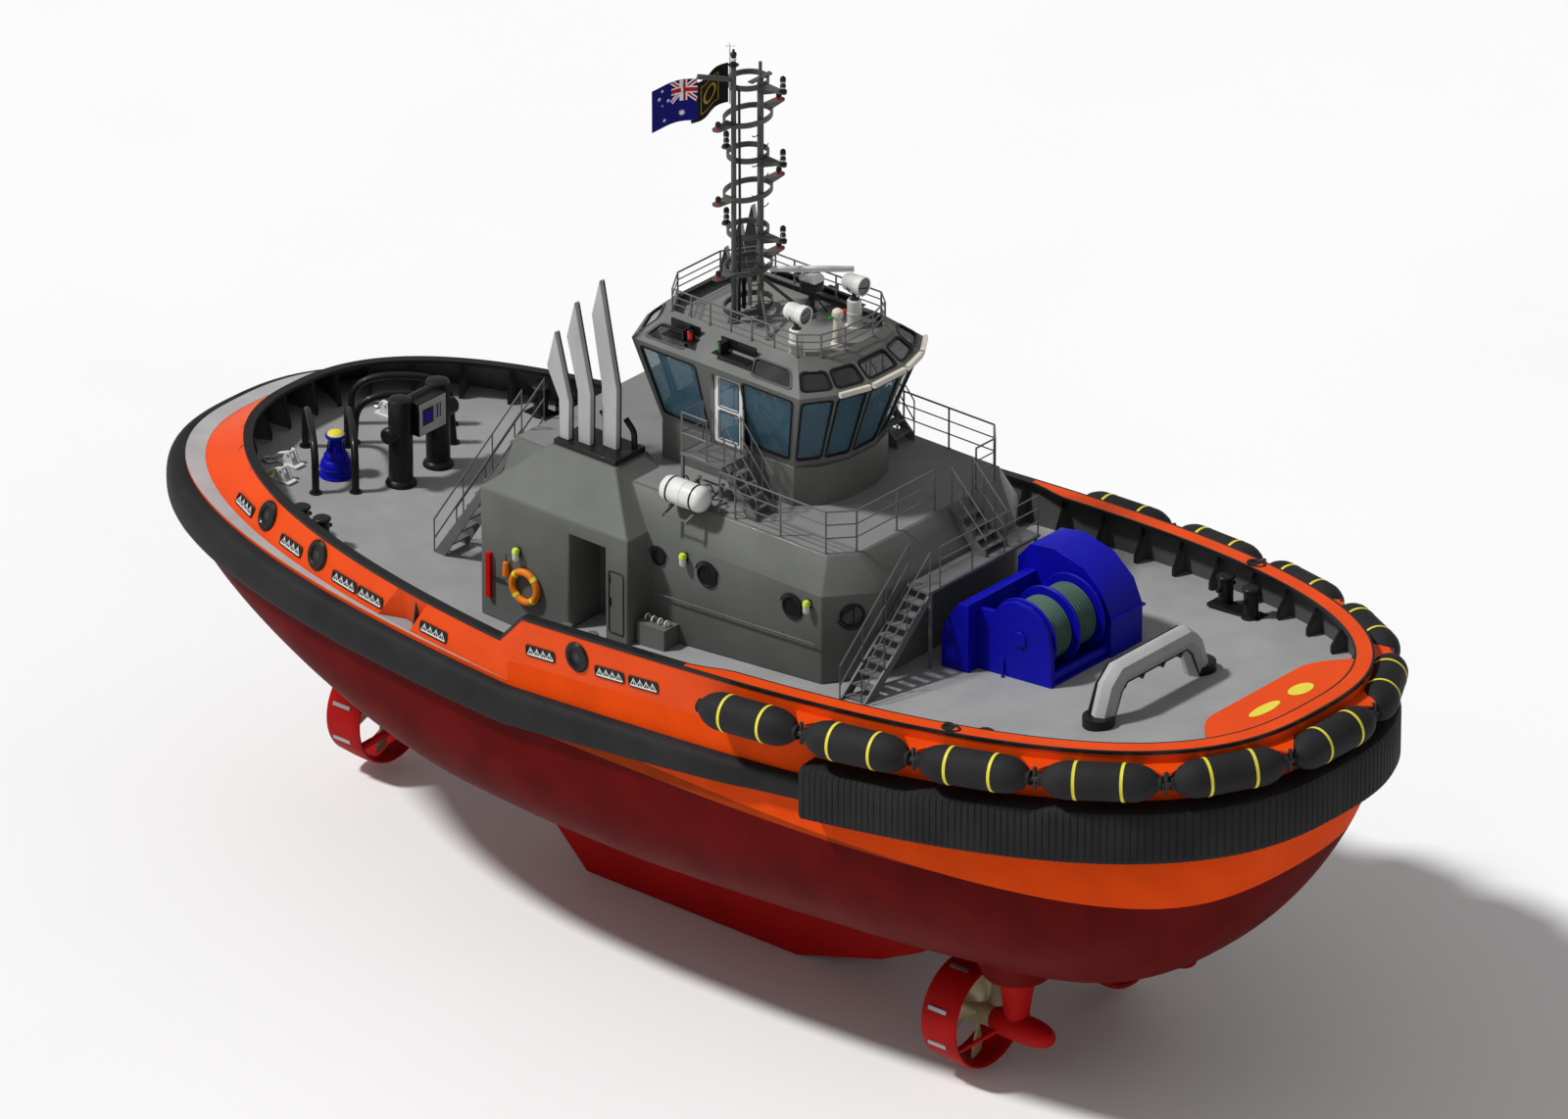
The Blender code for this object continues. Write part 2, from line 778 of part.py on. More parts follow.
def house_ring(z, half, corner, nose):
    half_outline = [(HOUSE_AFT_X, half), corner, nose]
    port = [(x, y, z) for x, y in half_outline]
    return port + [(x, -y, z) for x, y, z in reversed(port)]


def side_ring(aft, fore, outer, inner, z):
    """Corners of a level rectangle on the port side."""
    return [(aft, outer, z), (fore, outer, z), (fore, inner, z), (aft, inner, z)]


def casing(side):
    """The engine casing on one side, drawn in above the knuckle to the funnel's plinth."""
    inner = 2.0
    rings = []
    for z in (1.0, KNUCKLE_Z):
        rings.append(side_ring(CASING_AFT_X, CASING_FORE_X, CASING_HALF, inner, z))
    z = PLINTH_Z
    rings.append(side_ring(PLINTH_AFT_X, PLINTH_FORE_X, PLINTH_OUTER, inner, z))
    mesh = loft(rings)
    return mesh if side > 0 else mirrored(mesh)


def build_deckhouse():
    lower = [house_ring(z, HOUSE_HALF, HOUSE_CORNER, HOUSE_NOSE) for z in (1.0, KNUCKLE_Z)]
    body = loft([*lower, house_ring(TOP_DECK_Z, HOUSE_TOP_HALF, HOUSE_TOP_CORNER, HOUSE_TOP_NOSE)])
    passage = box(*PASSAGE)
    cuts = [below_deck(), passage, mirrored(passage)]
    fuse("deckhouse", [body, casing(1), casing(-1)], "house_grey", cuts)


# Funnel blades: foot x, foot half breadth, tip z
BLADES = ((-4.0, 2.86, 8.46), (-3.5, 2.76, 9.29), (-2.95, 2.55, 9.92))
BLADE_HALVES = (0.13, 0.17, 0.2)
BLADE_RAKE = 0.27
BLADE_BACK = 0.5
BLADE_POINT = 0.89
BLADE_BEND = 0.37
BLADE_THICK = 0.16


def blade(x, y, tip, half):
    """One exhaust blade: upright below, raked aft and drawn to a point above."""
    foot = PLINTH_Z + 0.05
    bend = foot + BLADE_BEND * (tip - foot)
    outline = (
        (x - half, foot),
        (x + half, foot),
        (x + half + 0.02, bend),
        (x - BLADE_RAKE, tip),
        (x - BLADE_BACK, tip - BLADE_POINT),
        (x - half - 0.02, bend),
    )
    return plate(outline, y - BLADE_THICK / 2, y + BLADE_THICK / 2, "XZ")


def build_funnels():
    for name, side in SIDES:
        low = (PLINTH_AFT_X + 0.05, PLINTH_INNER + 0.05, PLINTH_Z + GAP)
        base = box(low, (PLINTH_FORE_X - 0.05, PLINTH_OUTER - 0.05, PLINTH_Z + 0.12))
        shapes = [base, *[blade(*row, half) for row, half in zip(BLADES, BLADE_HALVES)]]
        if side < 0:
            shapes = [mirrored(shape) for shape in shapes]
        fuse(f"funnel_{name}", shapes, "light_grey")


# Wheelhouse corner points to port, from the front middle aft, as (x, y)
BASE_CORNERS = ((2.12, 0.47), (1.89, 1.15), (1.46, 1.56), (-2.34, 1.56), (-2.62, 0.8))
SILL_CORNERS = ((2.08, 0.43), (1.83, 1.05), (1.46, 1.55), (-2.34, 1.55), (-2.6, 0.78))
BROW_CORNERS = ((2.83, 0.58), (2.58, 1.40), (2.10, 2.10), (-2.75, 2.10), (-3.25, 1.0))
BAND_CORNERS = ((2.02, 0.47), (1.85, 1.08), (1.45, 1.42), (-2.15, 1.42), (-2.6, 0.72))
DOOR_AFT_X = -0.5
DOOR_FORE_X = 0.31
DOOR_FOOT_Z = 6.62
DOOR_HEAD_Z = 8.3
DOOR_Y = 1.86
DOOR_THICK = 0.06
DOOR_GAP = 0.008
HINGE_GAP = 0.0005


def corner_ring(corners, z):
    port = [(x, y, z) for x, y in corners]
    return port + [(x, -y, z) for x, y, z in reversed(port)]


def build_wheelhouse_base():
    base = loft([corner_ring(BASE_CORNERS, TOP_DECK_Z + GAP), corner_ring(BASE_CORNERS, SILL_Z)])
    fuse("wheelhouse_base", [base], "house_grey")


def shell_skin(thickness=SHELL_THICK):
    """The wheelhouse walls: out from the sill to the brow, then in over the roof's edge, and back inside."""
    rings = [
        corner_ring(SILL_CORNERS, SILL_Z + GAP),
        corner_ring(BROW_CORNERS, BROW_Z),
        corner_ring(BAND_CORNERS, BAND_TOP_Z),
    ]
    shape = bmesh.new()
    rows = [[shape.verts.new(point) for point in ring] for ring in rings]
    for one, two in zip(rows, rows[1:]):
        for i in range(len(one)):
            j = (i + 1) % len(one)
            shape.faces.new((one[i], one[j], two[j], two[i]))
    bmesh.ops.recalc_face_normals(shape, faces=shape.faces)
    mesh = bpy.data.meshes.new("skin")
    shape.to_mesh(mesh)
    shape.free()
    obj = bpy.data.objects.new("skin", mesh)
    wall = obj.modifiers.new("wall", "SOLIDIFY")
    wall.thickness = thickness
    wall.offset = -1.0
    wall.use_even_offset = True
    return evaluated(obj)


def facet_cut(foot_a, foot_b, head_a, head_b, across, up, depth=0.3):
    """A window's cutter through a wall facet: its share across and up the facet, squared to the facet."""
    corners = [Vector(corner) for corner in (foot_a, foot_b, head_b, head_a)]
    normal = (corners[1] - corners[0]).cross(corners[3] - corners[0]).normalized()

    def at(u, v):
        low = corners[0].lerp(corners[1], u)
        high = corners[3].lerp(corners[2], u)
        return low.lerp(high, v)

    ring = [at(across[0], up[0]), at(across[1], up[0]), at(across[1], up[1]), at(across[0], up[1])]
    return loft([[point - normal * depth for point in ring], [point + normal * depth for point in ring]])


# Windows of the side facets, as shares from the fore corner aft, below and above the brow
SIDE_WINDOWS = ((0.04, 0.345), (0.63, 0.96))
SIDE_SKYLIGHTS = ((0.05, 0.3), (0.72, 0.96))
FRONT_MARGIN = 0.07
WINDOW_RISE = (0.1, 0.93)
SKYLIGHT_RISE = (0.16, 0.62)


def window_cuts():
    sill = corner_ring(SILL_CORNERS, SILL_Z)
    brow = corner_ring(BROW_CORNERS, BROW_Z)
    band = corner_ring(BAND_CORNERS, BAND_TOP_Z)
    count = len(sill)
    cuts = []
    tiers = ((sill, brow, WINDOW_RISE, SIDE_WINDOWS), (brow, band, SKYLIGHT_RISE, SIDE_SKYLIGHTS))
    for low, high, rise, sides in tiers:
        for i in range(count):
            j = (i + 1) % count
            corners = (low[i], low[j], high[i], high[j])
            if i in (2, 6):
                for start, end in sides:
                    share = (start, end) if i == 2 else (1 - end, 1 - start)
                    cuts.append(facet_cut(*corners, share, rise))
            elif i == 4 and low is sill:
                for start, end in ((0.06, 0.47), (0.53, 0.94)):
                    cuts.append(facet_cut(*corners, (start, end), rise))
            else:
                cuts.append(facet_cut(*corners, (FRONT_MARGIN, 1 - FRONT_MARGIN), rise))
    return cuts


def build_wheelhouse_shell():
    low = (DOOR_AFT_X - 0.12, 1.52, SILL_Z + 0.02)
    frame = box(low, (DOOR_FORE_X + 0.12, DOOR_Y + 0.07, DOOR_HEAD_Z + 0.12))
    inside = DOOR_Y - 0.1
    opening = (
        (1.2, SILL_Z + 0.08),
        (inside, SILL_Z + 0.08),
        (inside, DOOR_FOOT_Z),
        (3.0, DOOR_FOOT_Z),
        (3.0, DOOR_HEAD_Z),
        (1.2, DOOR_HEAD_Z),
    )
    doorway = plate(opening, DOOR_AFT_X, DOOR_FORE_X, "YZ")
    shapes = [shell_skin(), frame, mirrored(frame)]
    cuts = [*window_cuts(), doorway, mirrored(doorway)]
    fuse("wheelhouse_shell", shapes, "house_grey", cuts)


def build_wheelhouse_roof():
    """The roof deck, let into the band a little below its top edge."""
    share = (ROOF_Z - BROW_Z) / (BAND_TOP_Z - BROW_Z)
    middle = []
    for brow, band in zip(BROW_CORNERS, BAND_CORNERS):
        spot = Vector(brow).lerp(Vector(band), share)
        middle.append(spot * (1 - 0.045 / spot.length))
    slab = loft([corner_ring(middle, ROOF_Z - ROOF_THICK), corner_ring(middle, ROOF_Z)])
    fuse("wheelhouse_roof", [slab], "house_grey", cuts=[shell_skin(SHELL_THICK + 4 * GAP)])




def build_wheelhouse_inside():
    floor = SILL_Z + GAP
    outline = ((1.0, floor), (1.75, floor), (1.9, floor + 0.75), (1.75, floor + 0.95), (1.0, floor + 0.8))
    desk = plate(outline, -0.75, 0.75, "XZ")
    fuse("helm_console", [desk], "cabin")
    seat = box((-0.2, -0.28, floor + 0.5), (0.35, 0.28, floor + 0.62))
    back = box((-0.28, -0.26, floor + 0.56), (-0.14, 0.26, floor + 1.3))
    post = cylinder((0.08, 0, floor), (0.08, 0, floor + 0.55), 0.07, 10)
    foot = cylinder((0.08, 0, floor), (0.08, 0, floor + 0.05), 0.28, 12)
    fuse("helm_chair", [seat, back, post, foot], "cabin")


def build_doors():
    for name, side in SIDES:
        low = (DOOR_AFT_X + HINGE_GAP, DOOR_Y, DOOR_FOOT_Z + DOOR_GAP)
        high = (DOOR_FORE_X - DOOR_GAP, DOOR_Y + DOOR_THICK, DOOR_HEAD_Z - DOOR_GAP)
        leaf = box(low, high)
        wide = DOOR_FORE_X - DOOR_AFT_X
        panes = []
        for foot, head in ((0.12, 0.78), (0.9, 1.55)):
            low = (DOOR_AFT_X + 0.14, 1.5, DOOR_FOOT_Z + foot)
            panes.append(box(low, (DOOR_AFT_X + wide - 0.14, 2.5, DOOR_FOOT_Z + head)))
        shapes = [leaf]
        if side < 0:
            shapes, panes = [mirrored(leaf)], [mirrored(pane) for pane in panes]
        hinge = (DOOR_AFT_X + HINGE_GAP, side * (DOOR_Y + DOOR_THICK), DOOR_FOOT_Z + DOOR_GAP)
        fuse(f"wheelhouse_door_{name}", shapes, "white", cuts=panes, origin=hinge)


# Mast poles: x, y, foot spread in y, top z
MAST_POLES = ((-1.13, -0.42, -0.16, 14.85), (-1.13, 0.42, 0.16, 14.85), (-0.80, 0.0, 0.0, 14.9))
MAST_RINGS = (9.95, 10.95, 11.9, 12.8, 13.7, 14.6)
MAST_RING_HALF = 0.62
MAST_CENTRE_X = -1.16
MAST_RING_STEPS = 12
YARD_X = -1.25
YARD_Z = 14.65
YARD_RADIUS = 0.03


def mast_ring(z):
    """One flat ring platform: a band round the poles, longer across the ship than along it."""
    outer, inner = [], []
    for step in range(MAST_RING_STEPS):
        angle = 2 * math.pi * step / MAST_RING_STEPS
        outer.append((MAST_CENTRE_X + 0.4 * math.cos(angle), (MAST_RING_HALF + 0.12) * math.sin(angle)))
        inner.append((MAST_CENTRE_X + 0.31 * math.cos(angle), (MAST_RING_HALF + 0.03) * math.sin(angle)))
    return plate(outer, z, z + 0.1, "XY", holes=(inner,))


def build_mast():
    shapes = []
    for x, y, spread, top in MAST_POLES:
        shapes.append(cylinder((x, y + spread, ROOF_Z - 0.1), (x, y, top), 0.075, 10))
    shapes += [mast_ring(z) for z in MAST_RINGS]
    for index, z in enumerate(MAST_RINGS):
        shapes.append(box((-1.0, -0.06, z + 0.02), (-0.78, 0.06, z + 0.08)))
        if index % 2:
            shapes.append(box((-0.86, -0.1, z + 0.02), (-0.2, 0.1, z + 0.06)))
        else:
            shapes.append(box((-1.22, -1.2, z + 0.02), (-1.02, -0.3, z + 0.06)))
    for side in (-1, 1):
        shapes.append(cylinder((0.05, side * 0.72, ROOF_Z - 0.1), (-0.85, side * 0.04, 9.8), 0.04, 8))
    shapes.append(cylinder((YARD_X, -0.45, YARD_Z), (YARD_X, -1.75, YARD_Z), YARD_RADIUS, 8))
    fuse("mast", shapes, "rail_grey", cuts=[box((-3.0, -2.0, ROOF_Z - 1.0), (2.0, 2.0, ROOF_Z + GAP))])


RAIL_RADIUS = 0.022
RAIL_HEIGHTS = (0.36, 0.68, 1.0)
ROOF_RAIL_SIDE_POSTS = (0.15, -1.05)
ROOF_RAIL_HEIGHTS = (0.27, 0.52, 0.78)
RAIL_INSET = 0.0005


def build_roof_rail():
    """The roof's rail, on the band's top edge, with extra posts along its straight sides."""
    corners = [Vector(corner) * (1 - RAIL_INSET / Vector(corner).length) for corner in BAND_CORNERS]
    side_y = corners[2].y
    port = [*corners[:3], *[Vector((x, side_y)) for x in ROOF_RAIL_SIDE_POSTS], *corners[3:]]
    path = [(x, y, BAND_TOP_Z) for x, y in port]
    path += [(x, -y, z) for x, y, z in reversed(path)]
    fuse("roof_rail", [railing(path, ROOF_RAIL_HEIGHTS, RAIL_RADIUS, cyclic=True)], "rail_grey")


DECK_RAIL_PATH = (
    (3.95, 1.7),
    (3.95, 2.35),
    (3.5, 2.86),
    (2.2, 2.86),
    (0.9, 2.86),
    (0.45, 2.86),
)


def build_deck_rails():
    port = [(x, y, TOP_DECK_Z) for x, y in DECK_RAIL_PATH]
    fuse("deck_rail_port", [railing(port, RAIL_HEIGHTS, RAIL_RADIUS)], "rail_grey")
    starboard = [(3.95, 0.3, TOP_DECK_Z), (3.95, -1.0, TOP_DECK_Z)] + [(x, -y, z) for x, y, z in port[1:]]
    fuse("deck_rail_stbd", [railing(starboard, RAIL_HEIGHTS, RAIL_RADIUS)], "rail_grey")


TREAD_SETBACK = 0.011


def flight(foot, head, width, rail_height=0.95, treads=9):
    """A stair between the middle of its foot and the middle of its head: stringers, treads and two rails."""
    foot, head = Vector(foot), Vector(head)
    run = Vector((head.x - foot.x, head.y - foot.y, 0.0))
    rise = head.z - foot.z
    length = run.length
    reach = width / 2 - TREAD_SETBACK
    shapes = []
    for side in (-1, 1):
        y = side * width / 2
        outline = ((0.0, 0.0), (0.22, 0.0), (length + 0.06, rise - 0.16), (length + 0.06, rise), (0.0, 0.16))
        shapes.append(plate(outline, y - 0.025, y + 0.025, "XZ"))
        posts = 3
        feet = [(length * i / posts, y, rise * i / posts + 0.02) for i in range(posts + 1)]
        shapes.append(railing(feet, (rail_height / 2, rail_height), RAIL_RADIUS))
    for index in range(1, treads + 1):
        x = length * index / (treads + 1)
        z = rise * index / (treads + 1)
        shapes.append(box((x - 0.1, -reach, z - 0.02), (x + 0.14, reach, z + 0.02)))
    turn = Matrix.Translation(foot) @ Matrix.Rotation(math.atan2(run.y, run.x), 4, "Z")
    for mesh in shapes:
        mesh.transform(turn)
    return shapes


PLATFORM_Z = 4.6


def house_front():
    """The deckhouse's front as a cutter with a hair's gap, for what stands against it."""
    wall, edge = HOUSE_NOSE[0] + GAP, HOUSE_TOP_NOSE[0] + 2 * GAP
    outline = ((3.0, 3.5), (wall, 3.5), (wall, KNUCKLE_Z), (edge, TOP_DECK_Z + GAP), (3.0, TOP_DECK_Z + GAP))
    return plate(outline, -2.4, 2.4, "XZ")


def build_stairs():
    aft = flight((-8.2, -2.2, 1.5), (HOUSE_AFT_X - 0.07, -2.2, TOP_DECK_Z), 0.75)
    fuse("stair_aft", aft, "rail_grey", cuts=[below_deck()])
    lower = flight((4.97, -3.75, 2.5), (4.97, -1.45, PLATFORM_Z - 0.01), 0.62)
    deck = box((4.6, -1.5, PLATFORM_Z - 0.06), (5.3, 2.3, PLATFORM_Z))
    rail = railing([(5.27, y, PLATFORM_Z - 0.03) for y in (-1.1, 0.0, 1.1, 2.25)], RAIL_HEIGHTS, RAIL_RADIUS)
    legs = [box((5.2, y, 2.3), (5.26, y + 0.06, PLATFORM_Z - 0.02)) for y in (-1.4, 2.2)]
    fuse("stair_front", [*lower, deck, rail, *legs], "rail_grey", cuts=[below_deck(), house_front()])
    upper = flight((5.12, 1.0, PLATFORM_Z - 0.08), (4.14, 1.0, TOP_DECK_Z - 0.01), 0.7, treads=4)
    floor = box((3.0, -4.0, PLATFORM_Z - 1.0), (5.9, 4.0, PLATFORM_Z + GAP))
    fuse("stair_front_upper", upper, "rail_grey", cuts=[floor, house_front()])
    for name, side in SIDES:
        platform = box((-0.75, 1.99, SILL_Z + 0.08), (0.45, 2.8, SILL_Z + 0.13))
        leg = box((-0.74, 2.72, TOP_DECK_Z + GAP), (-0.68, 2.78, SILL_Z + 0.1))
        climb = flight((1.35, 2.4, TOP_DECK_Z), (0.43, 2.4, SILL_Z + 0.13), 0.56, treads=4)
        corners = ((0.0, 2.77), (-0.72, 2.77), (-0.72, 2.05))
        rail = railing([(x, y, SILL_Z + 0.11) for x, y in corners], (0.5, 1.0), RAIL_RADIUS)
        shapes = [platform, leg, rail, *climb]
        trim = box((-2.0, 1.0, TOP_DECK_Z - 1.0), (3.0, 4.0, TOP_DECK_Z + GAP))
        if side < 0:
            shapes, trim = [mirrored(shape) for shape in shapes], mirrored(trim)
        fuse(f"stair_wheelhouse_{name}", shapes, "rail_grey", cuts=[trim])


# Winch: side frames as (x, z) outlines about the drum's axis
WINCH_FEET = (5.36, 8.25)
WINCH_HOUSING = ((5.36, 2.4), (6.12, 2.4), (6.12, 4.42), (5.8, 4.36), (5.5, 3.89), (5.36, 3.55))
WINCH_COVER = (
    (5.5, 2.4),
    (8.25, 2.4),
    (8.25, 3.9),
    (8.0, 4.45),
    (7.45, 4.9),
    (6.6, 5.1),
    (5.95, 5.0),
    (5.6, 4.6),
)
CHEEK_RADIUS = 0.87
CHEEK_AFT_X = 6.05
# Drum: y of each flange's faces from starboard to port, and its radii
DRUM_WIDTHS = (-0.66, -0.60, 0.14, 0.22, 0.98, 1.04)
FLANGE_RADIUS = 0.9
CORE_RADIUS = 0.3
SHAFT_RADIUS = 0.168
SHAFT_ENDS = (-0.82, 1.34)
ROPE_RADIUS = 0.72


def winch_cheek(y_low, y_high):
    """The starboard side plate: upright ahead and a round head on the drum's axis."""
    x, z = WINCH_AXIS
    outline = [(CHEEK_AFT_X, 2.4), (WINCH_FEET[1] - 0.02, 2.4)]
    for step in range(7):
        angle = math.radians(25 * step)
        outline.append((x + CHEEK_RADIUS * math.cos(angle), z + CHEEK_RADIUS * math.sin(angle)))
    outline.append((CHEEK_AFT_X, 4.25))
    return plate(outline, y_low, y_high, "XZ")


def build_winch():
    x, z = WINCH_AXIS
    base = box((WINCH_FEET[0] + 0.02, -0.79, 2.45), (WINCH_FEET[1] - 0.05, 2.2, 3.0))
    well = box((6.3, -0.68, 2.92), (7.8, 1.16, 3.2))
    housing = plate(WINCH_HOUSING, -1.14, 1.3, "XZ")
    cover = plate(WINCH_COVER, 1.17, 2.25, "XZ")
    roller = cylinder((8.05, -0.75, 3.1), (8.05, 1.3, 3.1), 0.12, 12)
    bore = cylinder((x, -1.0, z), (x, SHAFT_ENDS[1] + 0.01, z), SHAFT_RADIUS + 0.002, 23)
    shapes = [base, housing, cover, winch_cheek(-0.81, -0.69), roller]
    fuse("winch_frame", shapes, "blue", cuts=[below_deck(), bore, well])
    rim, core, shaft = FLANGE_RADIUS, CORE_RADIUS, SHAFT_RADIUS
    low, lip, middle, middle_port, lip_port, high = DRUM_WIDTHS
    profile = [(0.0, SHAFT_ENDS[1]), (shaft, SHAFT_ENDS[1]), (shaft, high), (rim, high), (rim, lip_port)]
    profile += [(core, lip_port), (core, middle_port), (rim, middle_port), (rim, middle), (core, middle)]
    profile += [(core, lip), (rim, lip), (rim, low), (shaft, low)]
    profile += [(shaft, SHAFT_ENDS[0]), (0.0, SHAFT_ENDS[0])]
    fuse("winch_drum", [turned(profile, (x, 0, z), "Y", 24)], "blue", origin=(x, 0, z))
    for name, start, end in (("stbd", lip, middle), ("port", middle_port, lip_port)):
        inner, side = core + GAP, 0.002
        pack = [
            (ROPE_RADIUS - 0.06, end - side),
            (ROPE_RADIUS, end - 0.08),
            (ROPE_RADIUS, start + 0.08),
            (ROPE_RADIUS - 0.06, start + side),
            (inner, start + side),
            (inner, end - side),
            (ROPE_RADIUS - 0.06, end - side),
        ]
        fuse(f"winch_rope_{name}", [turned(pack, (x, 0, z), "Y", 24)], "rope", origin=(x, 0, z))


# Towing staple: (y, z) of its path from the foot to the middle
STAPLE_PATH = ((1.74, 2.9), (1.38, 3.9), (1.1, 4.15))
STAPLE_RADIUS = 0.29


def build_staple():
    path = [(STAPLE_X, -y, z) for y, z in STAPLE_PATH] + [(STAPLE_X, y, z) for y, z in reversed(STAPLE_PATH)]
    foot_y, foot_z = STAPLE_PATH[0]
    feet = []
    for y in (-foot_y, foot_y):
        feet.append(cylinder((STAPLE_X, y, foot_z), (STAPLE_X, y, foot_z + 0.3), STAPLE_RADIUS + 0.05, 16))
    fuse("fore_staple", [tube(path, STAPLE_RADIUS), *feet], "light_grey", cuts=[below_deck()])


def build_aft_gear():
    posts = [cylinder((BITT_X, y, 1.4), (BITT_X, y, 3.9), 0.2775, 16) for y in (-0.63, 0.63)]
    bar = cylinder((BITT_X + 0.02, -1.15, 3.1), (BITT_X + 0.02, 1.15, 3.1), 0.2, 12)
    top = cylinder((BITT_X + 0.01, -0.6, 3.7), (BITT_X + 0.01, 0.6, 3.7), 0.15, 12)
    box_plate = box((BITT_X + 0.08, -0.45, 2.96), (BITT_X + 0.42, 0.45, 3.77))
    fuse("tow_bitt", [*posts, bar, top, box_plate], "black", cuts=[below_deck()])
    x, y = CAPSTAN
    foot = AFT_DECK_Z + AFT_DECK_SLOPE * x
    base = turned([(0.0, 0.42), (0.3, 0.42), (0.36, 0.3), (0.36, -0.3), (0.0, -0.3)], (x, y, foot), "Z", 20)
    fuse("capstan_base", [base], "blue", cuts=[below_deck()])
    head = [(0.0, 1.1), (0.16, 1.08), (0.24, 1.0), (0.24, 0.95), (0.15, 0.86), (0.15, 0.66)]
    head += [(0.28, 0.5), (0.28, 0.42 + GAP), (0.0, 0.42 + GAP)]
    fuse("capstan_head", [turned(head, (x, y, foot), "Z", 20)], "blue", origin=(x, y, foot + 0.42))


# Rope hoops on the aft deck: feet of the starboard pair as (x, y)
HOOPS = (((-13.70, -0.76), (-12.00, -2.31)), ((-13.01, -0.11), (-11.38, -1.66)))
HOOP_HEIGHT = 1.2


# Rope hoops: (share of the way between the feet, height over the deck)
HOOP_HALF = ((0.0, -0.2), (0.02, 0.75), (0.12, 1.05), (0.3, 1.2))
HOOP_SHAPE = HOOP_HALF + tuple((1.0 - share, height) for share, height in reversed(HOOP_HALF))


def build_hoops():
    for index, (one, two) in enumerate(HOOPS):
        one, two = Vector((*one, 0.0)), Vector((*two, 0.0))
        path = []
        for share, height in HOOP_SHAPE:
            point = one.lerp(two, share)
            deck = AFT_DECK_Z + AFT_DECK_SLOPE * point.x
            path.append((point.x, point.y, deck + height * HOOP_HEIGHT / 1.2))
        hoop = tube(path, 0.085)
        fuse(f"rope_hoop_stbd_{index + 1}", [hoop], "black", cuts=[below_deck()])
        fuse(f"rope_hoop_port_{index + 1}", [mirrored(tube(path, 0.085))], "black", cuts=[below_deck()])


# Double bollards: name, first post and second post to port as (x, y)
BOLLARDS = (("aft", (-10.85, 4.05), (-10.15, 4.15)), ("fore", (8.55, 4.78), (9.45, 4.55)))


def build_bollards():
    for place, one, two in BOLLARDS:
        for name, side in SIDES:
            shapes = []
            for x, y in (one, two):
                deck = deck_z(x)
                shapes.append(cylinder((x, y, deck - 0.3), (x, y, deck + 0.72), 0.17, 12))
                shapes.append(cylinder((x, y, deck + 0.68), (x, y, deck + 0.74), 0.21, 12))
            centre = ((one[0] + two[0]) / 2, (one[1] + two[1]) / 2)
            z = deck_z(centre[0])
            low = (centre[0] - 0.72, centre[1] - 0.22, z - 0.3)
            shapes.append(box(low, (centre[0] + 0.72, centre[1] + 0.22, z + 0.07)))
            if side < 0:
                shapes = [mirrored(shape) for shape in shapes]
            fuse(f"bollard_{place}_{name}", shapes, "black", cuts=[below_deck()])


RAFT = (-0.25, 3.2, 5.88)
RAFT_RADIUS = 0.3
# Launching rails under the raft: y of their outer and inner ends, rise over run, and depth
RAFT_RAIL_ENDS = (3.6, 2.3)
RAFT_RAIL_SLOPE = 0.352
RAFT_RAIL_DEPTH = 0.08
RAFT_RAIL_STEP = 0.34
RAFT_LEGS = (2.75, 2.36)


def raft_rail_z(y):
    """Top of the launching rails at y, tangent under the raft and 2 cm into it."""
    x, raft_y, raft_z = RAFT
    reach = (RAFT_RADIUS - 0.02) * math.hypot(1.0, RAFT_RAIL_SLOPE)
    return raft_z - reach + (raft_y - y) * RAFT_RAIL_SLOPE


def build_rafts():
    x, y, z = RAFT
    half = RAFT_RADIUS * 2 + 0.02
    profile = [(0.0, half), (0.2, half - 0.02), (RAFT_RADIUS, half - 0.16)]
    profile += [(radius, -along) for radius, along in reversed(profile)]
    for name, side in SIDES:
        shapes = [turned(profile, (x, y, z), "X", 16)]
        for middle in (x - RAFT_RAIL_STEP, x + RAFT_RAIL_STEP):
            tops = [(end, raft_rail_z(end)) for end in RAFT_RAIL_ENDS]
            outline = [*tops, *[(end, top - RAFT_RAIL_DEPTH) for end, top in reversed(tops)]]
            shapes.append(plate(outline, middle - 0.03, middle + 0.03, "YZ"))
            for leg in RAFT_LEGS:
                top = raft_rail_z(leg) - 0.04
                low = (middle - 0.025, leg - 0.03, TOP_DECK_Z + GAP)
                shapes.append(box(low, (middle + 0.025, leg + 0.03, top)))
        for tie in (RAFT_RAIL_ENDS[0] - 0.06, RAFT_LEGS[1]):
            top = raft_rail_z(tie) - 0.02
            low = (x - RAFT_RAIL_STEP, tie - 0.02, top - 0.04)
            shapes.append(box(low, (x + RAFT_RAIL_STEP, tie + 0.02, top)))
        if side < 0:
            shapes = [mirrored(shape) for shape in shapes]
        fuse(f"liferaft_{name}", shapes, "white")


# Searchlights on the roof: name, x, y, pillar height
SEARCHLIGHTS = (("stbd", 1.05, -0.98, 0.75), ("port", 1.05, 0.98, 0.75))


